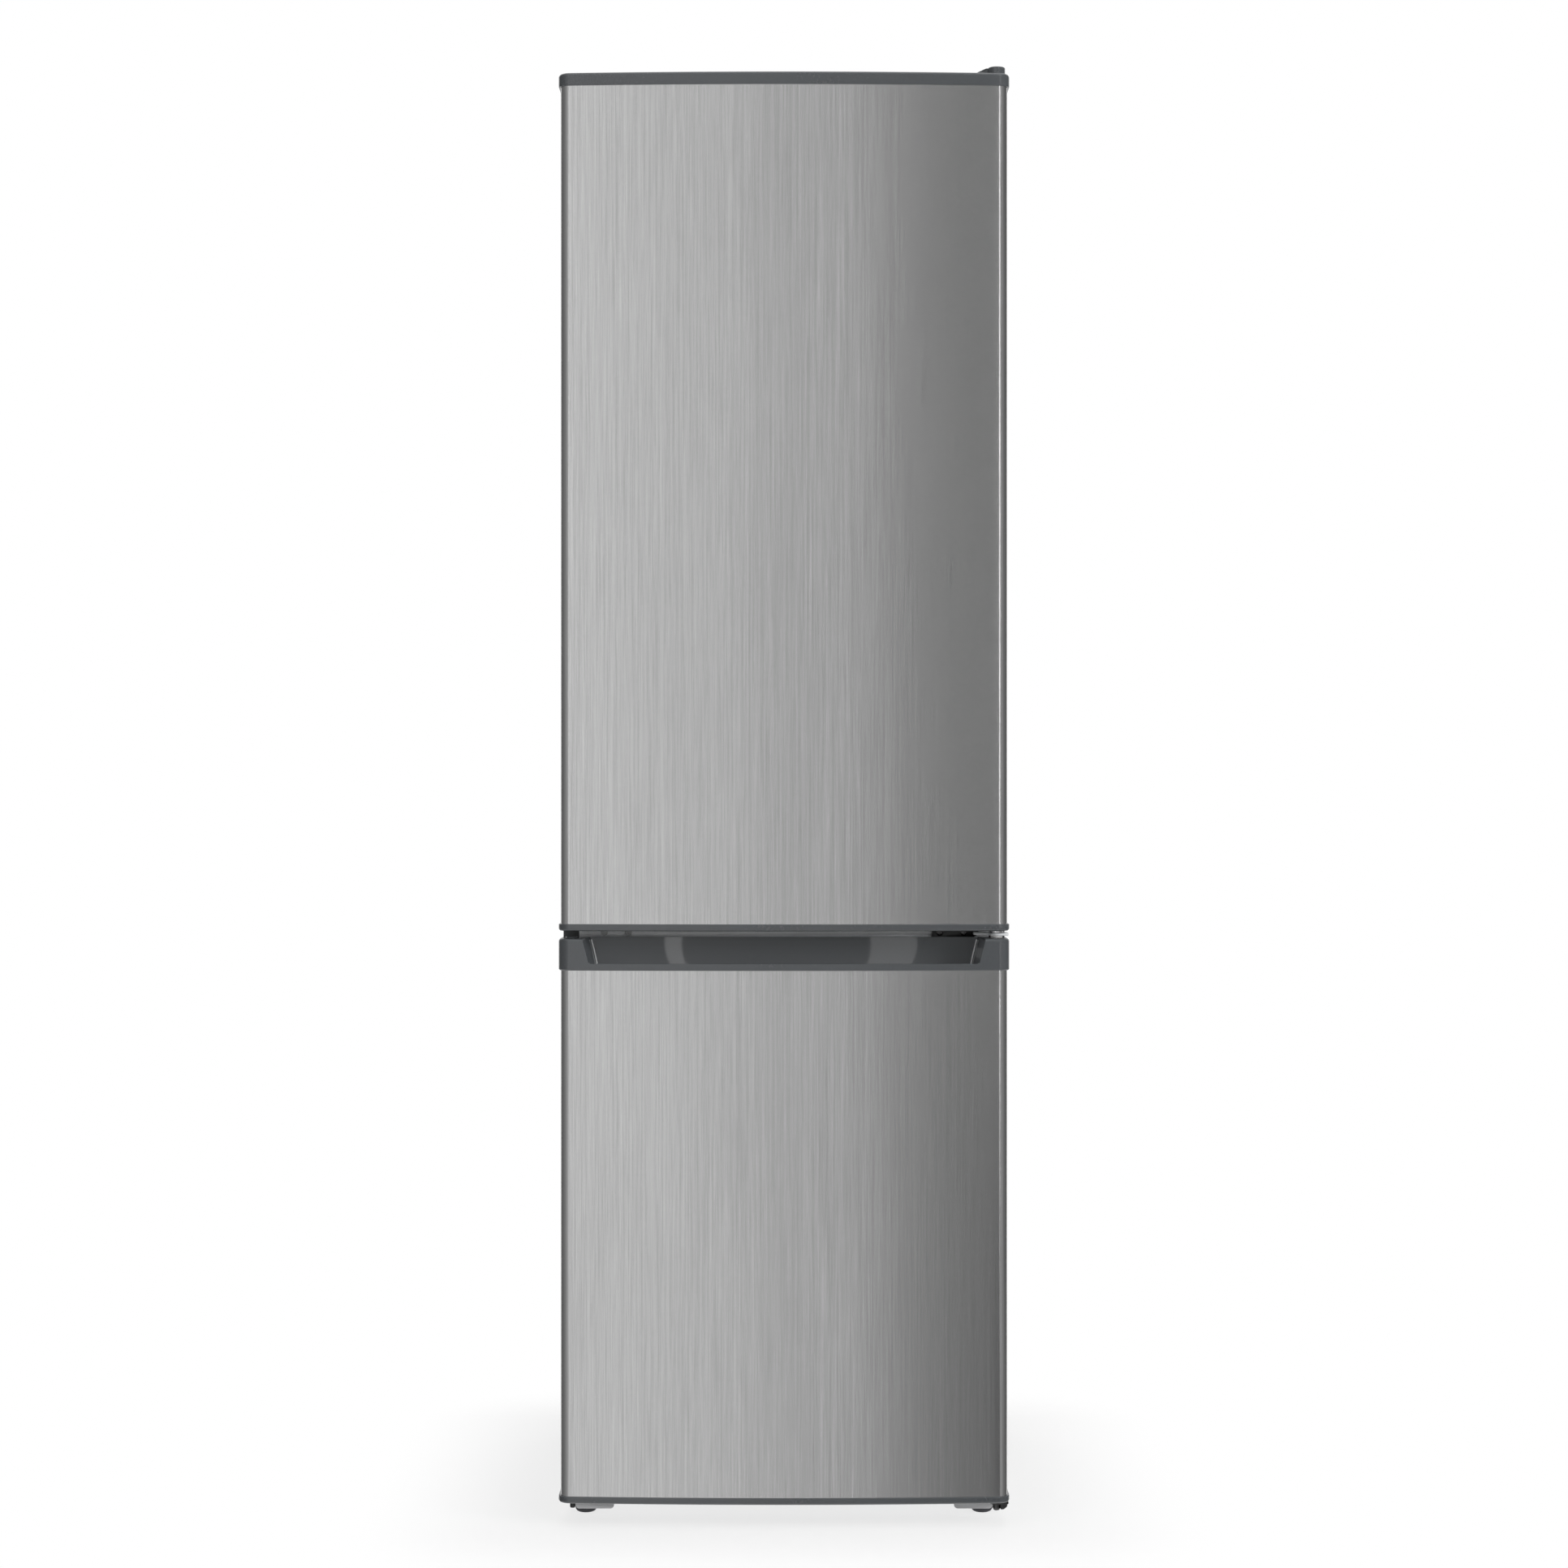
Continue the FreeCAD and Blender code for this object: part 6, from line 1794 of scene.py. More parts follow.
@dataclass
class MachineBay(Assembly):
    """Compressor on its rail, with the tray, drain and pipes behind the cabinet."""
    foot_sheet: float = 0.003
    seam_reach: float = 0.005
    seam_height: float = 0.005
    grommet_inset: float = 0.012
    grommet_radius: float = 0.009
    neck_radius: float = 0.0055
    foot_half_width: float = 0.052
    pipe_radius: float = 0.003
    pipe_bend: float = 0.016
    drain_radius: float = 0.006
    drain_bend: float = 0.007
    drier_radius: float = 0.009
    drier_length: float = 0.092
    drier_spot: tuple[float, float, float] = (-0.120, 0.236, 0.084)
    liquid_turn: float = 0.200
    suction_port: float = 0.096
    suction_spot: tuple[float, float] = (-0.060, 0.215)
    bore_gap: float = 0.0003
    overrun: float = 0.01
    can_low: tuple[float, float] = (0.86, 0.2)
    can_join: float = 0.52
    can_shoulder: tuple[float, float] = (0.97, 0.86)
    can_lid: float = 0.62
    can_rounds: tuple[float, ...] = (0, 0.012, 0.03, 0.001, 0.0015, 0.0015, 0.001, 0.04, 0.03, 0)
    foot_corner: float = 0.014
    foot_edge: float = 0.0006
    grommet_head: float = 0.9
    grommet_rounds: tuple[float, ...] = (0, 0.0015, 0.0015, 0, 0, 0.0008, 0.001, 0)
    drain_reach: float = 1.15
    collar: tuple[tuple[float, float], ...] = (
        (0.0045, -0.0012), (0.0085, -0.0012), (0.0092, -0.0002), (0.0092, 0.0002), (0.0045, 0.0002),
        (0.0045, -0.0012))
    mouth: tuple[float, float, float] = (0.0046, -0.0004, 0.0002)

    def build(self) -> None:
        """Make and dress every piece of the bay."""
        self.refine("compressor_rail", ZINC_STEEL, "zinc_steel", 0.0006)
        self.build_compressor()
        self.build_grommets()
        low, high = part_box("relay_cover")
        self.add(rounded_box("relay_case", low, high, 0.004, 4), DARK_PLASTIC, "foot_plastic", "relay_cover")
        low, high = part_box("drip_tray")
        tray = tub("drain_tray", low, high, 0.004, 0.002, 0.002, 0.018, 0.005)
        self.add(tray, DARK_PLASTIC, "foot_plastic", "drip_tray")
        self.build_drain()
        self.build_pipes()

    def centre(self) -> Vector:
        """Middle of the compressor at the underside of its feet."""
        low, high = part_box("compressor")
        return Vector(((low.x + high.x) / 2, (low.y + high.y) / 2, low.z))

    def build_compressor(self) -> None:
        """Drawn steel can with its welded seam, domed lid and foot plate."""
        low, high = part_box("compressor")
        centre = self.centre()
        seam = (high.y - low.y) / 2
        radius = seam - self.seam_reach
        base = low.z + self.foot_sheet
        height = high.z - base
        join = base + height * self.can_join
        points = [(0, base), (radius * self.can_low[0], base), (radius, base + height * self.can_low[1]),
                  (radius, join), (seam, join), (seam, join + self.seam_height),
                  (radius, join + self.seam_height * 1.3),
                  (radius * self.can_shoulder[0], base + height * self.can_shoulder[1]),
                  (radius * self.can_lid, high.z), (0, high.z)]
        can = lathe("can", round_corners(points, self.can_rounds, 6, closed=False),
                    Vector((centre.x, centre.y, 0)), steps=72)
        outline = rounded_rectangle(low.x, high.x, centre.y - self.foot_half_width,
                                    centre.y + self.foot_half_width, self.foot_corner)
        sheet = prism("foot_plate", outline, Axis.Z, low.z, base)
        bore = self.neck_radius + self.bore_gap
        holes = [rod("hole", bore, low.z - self.overrun, base + self.overrun, Vector((x, y, 0)), steps=24)
                 for x, y in self.grommet_spots()]
        body = joined("compressor_can", can, softened(carve(sheet, *holes), self.foot_edge))
        self.add(body, BLACK_ENAMEL, "compressor_paint", "compressor")

    def grommet_spots(self) -> Outline:
        """Places of the four rubber feet."""
        low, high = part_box("compressor")
        middle = self.centre().y
        reach = self.foot_half_width - self.grommet_inset
        return [(x, y) for x in (low.x + self.grommet_inset, high.x - self.grommet_inset)
                for y in (middle - reach, middle + reach)]

    def build_grommets(self) -> None:
        """Rubber feet of the compressor."""
        low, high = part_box("compressor_grommets")
        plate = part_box("compressor")[0].z - low.z
        top = high.z - low.z
        head = self.grommet_radius * self.grommet_head
        points = [(0, 0), (self.grommet_radius, 0), (self.grommet_radius, plate), (self.neck_radius, plate),
                  (self.neck_radius, plate + self.foot_sheet), (head, plate + self.foot_sheet),
                  (self.neck_radius, top), (0, top)]
        grommet = lathe("grommet", round_corners(points, self.grommet_rounds, 2, closed=False), Vector(), steps=28)
        spots = [(Vector((x, y, low.z)), UP) for x, y in self.grommet_spots()]
        self.add(copies("rubber_feet", grommet, spots, BLACK_RUBBER), None, "grommet_rubber", "compressor_grommets")

    def build_drain(self) -> None:
        """Hose from the back of the fridge compartment down to the tray, with its collar."""
        low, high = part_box("drain_tube")
        x = (low.x + high.x) / 2
        down = high.y - self.drain_radius * self.drain_reach
        level = high.z - self.drain_radius * self.drain_reach
        start = Vector((x, low.y, level))
        hose = tube("hose", [start, Vector((x, down, level)), Vector((x, down, low.z))], self.drain_radius,
                    self.drain_bend, TRIM_PLASTIC, 24)
        collar = lathe("collar", self.collar, start, Axis.Y, 36)
        mouth = rod("mouth", *self.mouth, start, Axis.Y, 24)
        drain = joined("drain_hose", hose, painted(collar, TRIM_PLASTIC), painted(mouth, DARK_PLASTIC))
        self.add(drain, None, "drain_plastic", "drain_tube")

    def build_pipes(self) -> None:
        """Liquid line to the filter drier, the drier, and the suction line."""
        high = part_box("refrigerant_pipes")[1]
        centre = self.centre()
        x, y, z = self.drier_spot
        side = high.x - self.pipe_radius
        coil = sum(corner.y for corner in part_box("condenser_wires")) / 2
        top = z + self.drier_length
        liquid = [Vector((side, coil, high.z)), Vector((side, coil, self.liquid_turn)),
                  Vector((x, y, self.liquid_turn)), Vector((x, y, top))]
        port = centre.z + self.suction_port
        radius = (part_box("compressor")[1].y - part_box("compressor")[0].y) / 2 - self.seam_reach
        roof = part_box("base_pan")[1].z
        suction = [Vector((centre.x - radius / 2, centre.y + radius / 2, port)),
                   Vector((*self.suction_spot, port)), Vector((*self.suction_spot, roof))]
        points = [(0, z), (0.003, z), (0.0035, z + 0.008), (self.drier_radius, z + 0.016),
                  (self.drier_radius, top - 0.016), (0.0035, top - 0.008), (0.003, top), (0, top)]
        radii = (0, 0.001, 0.003, 0.005, 0.005, 0.003, 0.001, 0)
        drier = lathe("drier", round_corners(points, radii, 4, closed=False), Vector((x, y, 0)), steps=36)
        pipes = joined("pipes", tube("liquid", liquid, self.pipe_radius, self.pipe_bend, COPPER),
                       tube("suction", suction, self.pipe_radius, self.pipe_bend, COPPER), painted(drier, COPPER))
        self.add(pipes, None, "copper_pipe", "refrigerant_pipes")


def to_and_fro(count: int, pitch: float, half: float, place: Callable[[float, float], Vector]) -> list[Vector]:
    """Corners of a tube that runs to and fro.

    Args:
        count: Number of runs.
        pitch: Distance between runs.
        half: Half of the length of a run.
        place: Point from a place along a run and across the runs.

    Returns:
        The corners.
    """
    corners = []
    for index in range(count):
        ends = (half, -half) if index % 2 == 0 else (-half, half)
        corners += [place(end, index * pitch) for end in ends]
    return corners


@dataclass
class Condenser(Assembly):
    """Tube that runs to and fro behind the cabinet, with wires on both sides and its clips."""
    tube_radius: float = 0.0024
    wire_radius: float = 0.0008
    pitch: float = 0.058
    runs: int = 22
    half_width: float = 0.236
    lead_inset: float = 0.046
    first_run: float = 0.372
    port: float = 0.116
    wire_count: int = 52

    def build(self) -> None:
        """Make and dress every piece."""
        self.build_tube()
        self.build_wires()
        self.refine("condenser_clips", DARK_PLASTIC, "foot_plastic", 0.001)

    def build_tube(self) -> None:
        """One tube from the compressor up to the liquid line."""
        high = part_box("condenser_tube")[1]
        plane = sum(corner.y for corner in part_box("condenser_wires")) / 2
        lead = self.half_width - self.lead_inset
        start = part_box("compressor")
        middle = (start[0] + start[1]) / 2
        radius = (start[1].y - start[0].y) / 2 - 0.006
        runs = to_and_fro(self.runs, self.pitch, self.half_width,
                          lambda x, rise: Vector((x, plane, self.first_run + rise)))
        runs[-1] = Vector((high.x, plane, runs[-1].z))
        corners = [Vector((middle.x + radius, middle.y, self.port)), Vector((lead, middle.y, self.port)),
                   Vector((lead, plane, self.port)), Vector((lead, plane, self.first_run))] + runs[1:]
        coil = tube("condenser_coil", corners, self.tube_radius, self.pitch / 2, BLACK_ENAMEL, 12, 6)
        self.add(coil, None, "compressor_paint", "condenser_tube")

    def build_wires(self) -> None:
        """Wires welded across the tube on both sides."""
        low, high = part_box("condenser_wires")
        middle = (low.z + high.z) / 2
        step = (high.x - low.x - 2 * self.wire_radius) / (self.wire_count - 1)
        rows = [bars("wires", self.wire_count, Vector((low.x + self.wire_radius, y, middle)),
                     Vector((step, 0, 0)), Vector(), high.z - low.z, self.wire_radius, BLACK_ENAMEL, 6)
                for y in (low.y + self.wire_radius, high.y - self.wire_radius)]
        self.add(joined("condenser_wire_rows", *rows), None, "compressor_paint", "condenser_wires")


# Compartments

@dataclass
class Compartments(Assembly):
    """Moulded liners of the fridge and the freezer with their shelf supports."""
    wall: float = 0.002
    flange: float = 0.010
    freezer_flange: float = 0.028
    sheet: float = 0.0012
    corner: float = 0.018
    fillet: float = 0.020
    mouth_round: float = 0.004
    rib_width: float = 0.008
    rib_height: float = 0.006
    rib_front: float = -0.082
    ledge_width: float = 0.010
    ledge_height: float = 0.008
    ledge_front: float = -0.192
    ledge_tops: tuple[float, float, float] = (0.296, 0.480, 0.664)
    step_front: float = 0.014
    step_height: float = 0.192
    step_lean: float = 0.004

    def build(self) -> None:
        """Make and dress both liners."""
        self.build_fridge()
        self.build_freezer()

    def room(self, node: str) -> tuple[Vector, Vector]:
        """Corners of the room inside a liner.

        Args:
            node: Node of the liner.

        Returns:
            Lowest and highest corner; the front of the first is the front of the liner.
        """
        low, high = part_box(node)
        side = self.freezer_flange if node == "freezer_liner" else self.flange
        return (Vector((low.x + side, low.y, low.z + self.flange)),
                Vector((high.x - side, high.y - self.wall, high.z - self.flange)))

    def moulded(self, node: str, floor_line: Outline) -> Piece:
        """Liner with a square flange at the front, round corners and a filleted back.

        Args:
            node: Node of the liner.
            floor_line: Depth and rise of the floor from front to back, inside.

        Returns:
            The liner.
        """
        low, high = self.room(node)
        rim_low, rim_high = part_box(node)
        inner = Pocket(Axis.Y, (low.x, low.z), (high.x, high.z), self.corner)
        rim = Pocket(Axis.Y, (rim_low.x, rim_low.z), (rim_high.x, rim_high.z), 0.0008)
        last = floor_line[-1][1]
        wall, fillet = self.wall, self.fillet
        turns = [math.radians(90 * step / 6) for step in range(7)]
        inside = [(self.mouth_round * (math.sin(turn) - 1), low.y + self.mouth_round * (1 - math.cos(turn)), 0.0)
                  for turn in turns]
        inside += [(0.0, depth, rise) for depth, rise in floor_line]
        inside += [(fillet * (1 - math.cos(turn)), high.y - fillet * (1 - math.sin(turn)), last) for turn in turns]
        inside.append((self.corner + fillet * 2, high.y, last))
        outside = [(-wall, low.y + self.sheet, 0.0)]
        outside += [(-wall, depth + wall, rise) for depth, rise in floor_line]
        outside += [(-wall, high.y - fillet, last), (-wall + fillet * 0.3, high.y - fillet * 0.2, last),
                    (fillet, high.y + wall, last), (self.corner + fillet * 2, high.y + wall, last)]
        rings = [inner.ring(*spot) for spot in reversed(outside)]
        rings += [rim.ring(0, low.y + self.sheet), rim.ring(0, low.y)]
        rings += [inner.ring(*spot) for spot in inside]
        return loft(node + "_moulding", rings)

    def supports(self, half: float, width: float, front: float, back: float, height: float,
                 tops: Sequence[float]) -> list[Piece]:
        """Moulded supports on both side walls.

        Args:
            half: Half of the width between the walls.
            width: How far a support stands out.
            front: Front end.
            back: Back end.
            height: Height of a support.
            tops: Level of each support.

        Returns:
            The supports.
        """
        pieces = []
        for top in tops:
            support = rounded_box("support", (half - width, front, top - height),
                                  (half + self.wall / 2, back + self.wall / 2, top), width * 0.2)
            pieces += [support, mirrored(support, "support_left")]
        return pieces

    def build_fridge(self) -> None:
        """Liner of the fridge with a support under each shelf."""
        low, high = self.room("fridge_liner")
        start = low.y + self.mouth_round
        liner = self.moulded("fridge_liner", [(start + 0.01, 0), (high.y - self.fillet * 1.1, 0)])
        tops = [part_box(name)[0].z for name in SHELVES]
        ribs = self.supports(high.x, self.rib_width, self.rib_front, high.y, self.rib_height, tops)
        self.add(joined("fridge_moulding", liner, *ribs), LINER_PLASTIC, "liner_plastic", "fridge_liner")

    def build_freezer(self) -> None:
        """Liner of the freezer with the step over the machine bay and its ledges."""
        low, high = self.room("freezer_liner")
        start = low.y + self.mouth_round + 0.01
        top = self.step_height
        corners = [(start, 0), (self.step_front, 0), (self.step_front + self.step_lean, top),
                   (high.y - self.fillet * 1.1, top)]
        floor_line = round_corners(corners, (0, 0.014, 0.010, 0), 6, closed=False)
        liner = self.moulded("freezer_liner", floor_line)
        ledges = self.supports(high.x, self.ledge_width, self.ledge_front, high.y, self.ledge_height,
                               self.ledge_tops)
        self.add(joined("freezer_moulding", liner, *ledges), LINER_PLASTIC, "liner_plastic", "freezer_liner")


@dataclass
class Evaporator(Assembly):
    """Cooling shelves of the freezer: a tube that runs to and fro with wires across it."""
    tube_radius: float = 0.004
    wire_radius: float = 0.0009
    half_width: float = 0.208
    front: float = -0.184
    pitch: float = 0.0744
    runs: int = 6
    wire_count: int = 13
    wire_inset: float = 0.016
    wire_overhang: float = 0.006
    tops: tuple[float, float, float] = (0.296, 0.480, 0.664)

    def build(self) -> None:
        """Three shelves in one piece."""
        pieces = []
        length = (self.runs - 1) * self.pitch + 2 * self.wire_overhang
        reach = self.half_width - self.wire_inset
        for top in self.tops:
            middle = top + self.tube_radius
            corners = to_and_fro(self.runs, self.pitch, self.half_width,
                                 lambda x, rise: Vector((x, self.front + rise, middle)))
            pieces.append(tube("cooling_tube", corners, self.tube_radius, self.pitch / 2, WHITE_ENAMEL, 16, 8))
            start = Vector((-reach, self.front - self.wire_overhang + length / 2,
                            middle + self.tube_radius + self.wire_radius))
            step = Vector((2 * reach / (self.wire_count - 1), 0, 0))
            pieces.append(bars("cooling_wires", self.wire_count, start, step, Vector((math.pi / 2, 0, 0)), length,
                               self.wire_radius, WHITE_ENAMEL))
        self.add(joined("cooling_shelves", *pieces), None, "evaporator_paint", "evaporator_shelves")


@dataclass
class Drawer(Assembly):
    """Pull-out drawer: a tub with an upright front and a hooked grip."""
    node: str = "freezer_drawer_1"
    taper: float = 0.006
    wall: float = 0.0026
    rim: float = 0.003
    corner: float = 0.016
    fillet: float = 0.008
    front_thickness: float = 0.006
    grip_half_width: float = 0.090
    grip_height: float = 0.026
    grip_depth: float = 0.014
    grip_drop: float = 0.034
    grip_wall: float = 0.0024
    rib_count: int = 5
    rib_radius: float = 0.0008
    rib_pitch: float = 0.004

    def build(self) -> None:
        """Tub, front, grip and the raised lines above the grip."""
        low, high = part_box(self.node)
        front = low.y + self.grip_depth
        tub_low = Vector((low.x, front, low.z))
        basket = tub(self.node + "_tub", tub_low, high, self.taper, self.wall, self.rim, self.corner, self.fillet)
        panel = rounded_box("panel", (low.x, front, low.z + self.wall), (high.x, front + self.front_thickness, high.z),
                            0.0022, 4)
        top = high.z - self.grip_drop
        outer, inner = front - self.grip_depth, front - self.grip_depth + self.grip_wall
        outline = [(outer, top), (front + self.grip_wall, top), (front + self.grip_wall, top - self.grip_wall),
                   (inner, top - self.grip_wall), (inner, top - self.grip_height), (outer, top - self.grip_height)]
        outline = round_corners(outline, (0.004, 0, 0, 0.002, 0.0011, 0.0011), 5)
        grip = softened(prism("grip", outline, Axis.X, -self.grip_half_width, self.grip_half_width), 0.0008)
        middle = Vector((0, front - self.rib_radius * 0.2, top + self.rib_pitch * 1.5))
        lines = bars("lines", self.rib_count, middle, Vector((0, 0, self.rib_pitch)),
                     Vector((0, math.pi / 2, 0)), self.grip_half_width * 1.6, self.rib_radius, CLEAR_PLASTIC)
        self.add(joined(self.node + "_moulding", basket, panel, grip, lines), CLEAR_PLASTIC, "clear_plastic",
                 self.node, body=self.node)


@dataclass
class Shelves(Assembly):
    """Glass shelves of the fridge with their moulded front trims."""
    front: float = -0.095
    trim_depth: float = 0.012
    lip: float = 0.0022
    reach: float = 0.005
    glass_edge: float = 0.0009

    def build(self) -> None:
        """Make and dress the shelves and trims."""
        trims = []
        for node in SHELVES:
            low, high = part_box(node)
            self.add(rounded_box(node + "_pane", low, high, self.glass_edge), SHELF_GLASS, "shelf_glass", node)
            back = self.front + self.trim_depth
            glass = self.front + self.reach
            outline = [(self.front, low.z - self.lip), (back, low.z - self.lip), (back, low.z), (glass, low.z),
                       (glass, high.z), (back, high.z), (back, high.z + self.lip), (self.front, high.z + self.lip)]
            outline = round_corners(outline, (0.0035, 0.0007, 0, 0, 0, 0, 0.0007, 0.0035), 5)
            trims.append(softened(prism("trim", outline, Axis.X, low.x, high.x), 0.0004))
        self.add(joined("shelf_trim_strips", *trims), TRIM_PLASTIC, "trim_plastic", "shelf_trims")


@dataclass
class CeilingControl(Assembly):
    """Housing below the fridge ceiling with lamp, lamp cover, knob and light switch."""
    corner: float = 0.010
    lower_round: float = 0.006
    bay_depth: float = 0.030
    knob_spot: tuple[float, float] = (0.092, -0.112)
    knob_disc: float = 0.004
    knob_radius: float = 0.015
    knob_bar_half: float = 0.003
    knob_bar_reach: float = 0.013
    knob_notches: int = 30
    notch_share: float = 0.03
    stem_radius: float = 0.004
    hole_gap: float = 0.00005
    knob_hole: float = 0.0085
    switch_hole: float = 0.022
    cover_wall: float = 0.0016
    lens_count: int = 22
    lens_radius: float = 0.0011
    lamp_neck: float = 0.024
    lamp_neck_radius: float = 0.008
    mark_radius: float = 0.0009
    mark_count: int = 7
    mark_gap: float = 0.006
    mark_start: float = -30.0
    mark_span: float = 240.0
    mark_height: tuple[float, float] = (-0.0004, 0.0003)
    overrun: float = 0.005
    case_reach: float = 0.02
    bay_corner: float = 0.001
    cover_corner: float = 0.003
    cover_reach: float = 0.03
    cover_rounds: tuple[float, ...] = (0, 0.002, 0.0004, 0.0004, 0.0006, 0)
    knob_bar_height: float = 0.008
    disc_edge: float = 0.0006
    grip_overlap: float = 0.001
    grip_round: float = 0.0012
    pointer_half: float = 0.0006

    def build(self) -> None:
        """Make and dress every piece."""
        self.build_housing()
        self.build_cover()
        self.build_lamp()
        self.build_knob()
        self.build_switch()

    def build_housing(self) -> None:
        """Moulded housing with the lamp bay, the marks round the knob and the holes."""
        low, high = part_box("control_housing")
        bay_low, bay_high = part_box("lamp_cover")
        x, y = self.knob_spot
        far = self.corner + self.lower_round + self.case_reach
        pocket = Pocket(Axis.Z, (low.x, low.y), (high.x, high.y), self.corner)
        points = [(far, low.z), (0, low.z), (0, high.z), (far, high.z)]
        case = pocket.swept("case", round_corners(points, (0, self.lower_round, 0.0004, 0), 6, closed=False))
        over = self.overrun
        bay = rounded_box("bay", (bay_low.x, bay_low.y, low.z - over), (bay_high.x, bay_high.y, low.z + self.bay_depth),
                          self.bay_corner)
        bore = self.stem_radius + self.hole_gap
        hole = rod("hole", bore, low.z - over, low.z + self.knob_hole, Vector((x, y, 0)), steps=32)
        switch_low, switch_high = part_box("light_switch")
        switch = (switch_low + switch_high) / 2
        port = rod("port", bore, low.y - over, low.y + self.switch_hole, Vector((switch.x, 0, switch.z)), Axis.Y, 32)
        case = carve(case, bay, hole, port)
        ring = self.knob_radius + self.mark_gap
        dots = []
        for index in range(self.mark_count):
            turn = math.radians(self.mark_start + self.mark_span * index / (self.mark_count - 1))
            dots.append((Vector((x + ring * math.cos(turn), y + ring * math.sin(turn), low.z)), DOWN))
        foot, head = self.mark_height
        dot = lathe("dot", [(0, foot), (self.mark_radius, foot), (self.mark_radius * 0.8, head), (0, head)],
                    Vector(), steps=16)
        marks = copies("marks", dot, dots, DARK_PLASTIC)
        housing = joined("control_case", painted(case, TRIM_PLASTIC), marks)
        self.add(housing, None, "trim_plastic", "control_housing")

    def build_cover(self) -> None:
        """Clear lamp cover with lens ribs."""
        low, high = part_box("lamp_cover")
        wall = self.cover_wall
        pocket = Pocket(Axis.Z, (low.x, low.y), (high.x, high.y), self.cover_corner, 3)
        far = self.cover_reach
        points = [(far, low.z), (0, low.z), (0, high.z), (wall, high.z), (wall, low.z + wall), (far, low.z + wall)]
        shell = pocket.swept("cover", round_corners(points, self.cover_rounds, 4, closed=False))
        span = high.x - low.x - 4 * wall
        start = Vector((low.x + 2 * wall, (low.y + high.y) / 2, low.z + wall))
        ribs = bars("lens_ribs", self.lens_count, start, Vector((span / (self.lens_count - 1), 0, 0)),
                    Vector((math.pi / 2, 0, 0)), high.y - low.y - 4 * wall, self.lens_radius, CLEAR_PLASTIC)
        self.add(joined("lens", shell, ribs), CLEAR_PLASTIC, "clear_plastic", "lamp_cover")

    def build_lamp(self) -> None:
        """Pear-shaped lamp in its holder."""
        low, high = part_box("lamp")
        middle = (low + high) / 2
        radius = (high.z - low.z) / 2
        neck = low.x + self.lamp_neck
        centre = Vector((0, middle.y, middle.z))
        small = self.lamp_neck_radius
        holder = lathe("holder", [(0, low.x), (small, low.x), (small, neck - 0.002), (small - 0.001, neck), (0, neck)],
                       centre, Axis.X, 40)
        bulb = [(0, neck - 0.001), (small * 0.8, neck - 0.001), (small * 0.85, neck + 0.004),
                (radius * 0.96, neck + 0.016)]
        bulb += [(radius * math.cos(math.radians(turn)), high.x - radius + radius * math.sin(math.radians(turn)))
                 for turn in range(0, 90, 10)] + [(0, high.x)]
        glass = lathe("glass", bulb, centre, Axis.X, 40)
        self.add(joined("lamp_in_holder", painted(holder, SCREW_STEEL), painted(glass, LAMP_GLASS)), None,
                 "lamp_glass", "lamp")

    def build_knob(self) -> None:
        """Thermostat knob with a notched rim, a grip bar and a pointer."""
        low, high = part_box("thermostat_knob")
        x, y = self.knob_spot
        bar_top = low.z + self.knob_bar_height
        disc_top = bar_top + self.knob_disc
        notched = []
        for step in range(self.knob_notches * 4):
            turn = 2 * math.pi * step / (self.knob_notches * 4)
            edge = self.knob_radius * (1 - self.notch_share * (step % 4 == 0))
            notched.append((x + edge * math.cos(turn), y + edge * math.sin(turn)))
        disc = softened(prism("disc", notched, Axis.Z, bar_top, disc_top), self.disc_edge, 2, 50)
        stem = rod("stem", self.stem_radius, disc_top, high.z, Vector((x, y, 0)), steps=32)
        half, reach = self.knob_bar_half, self.knob_bar_reach
        grip = rounded_box("grip", (x - half, y - reach, low.z), (x + half, y + reach, bar_top + self.grip_overlap),
                           self.grip_round, 4)
        thin = self.pointer_half
        pointer = rounded_box("pointer", (x - thin, y - reach + 0.0005, low.z - 0.0002),
                              (x + thin, y - reach * 0.4, low.z + 0.0006), 0.0001)
        knob = joined("turning_knob", painted(disc, TRIM_PLASTIC), painted(stem, TRIM_PLASTIC),
                      painted(grip, TRIM_PLASTIC), painted(pointer, DARK_PLASTIC))
        self.add(knob, None, "trim_plastic", "thermostat_knob", body="thermostat_knob")

    def build_switch(self) -> None:
        """Plunger that the closed door holds in."""
        low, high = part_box("light_switch")
        middle = (low + high) / 2
        radius = (high.x - low.x) / 2
        points = [(0, low.y), (radius, low.y), (radius, high.y), (0, high.y)]
        plunger = lathe("plunger", round_corners(points, (0, 0.002, 0.0005, 0), 5, closed=False),
                        Vector((middle.x, 0, middle.z)), Axis.Y, 36)
        self.add(plunger, TRIM_PLASTIC, "trim_plastic", "light_switch", body="light_switch")


# Studio

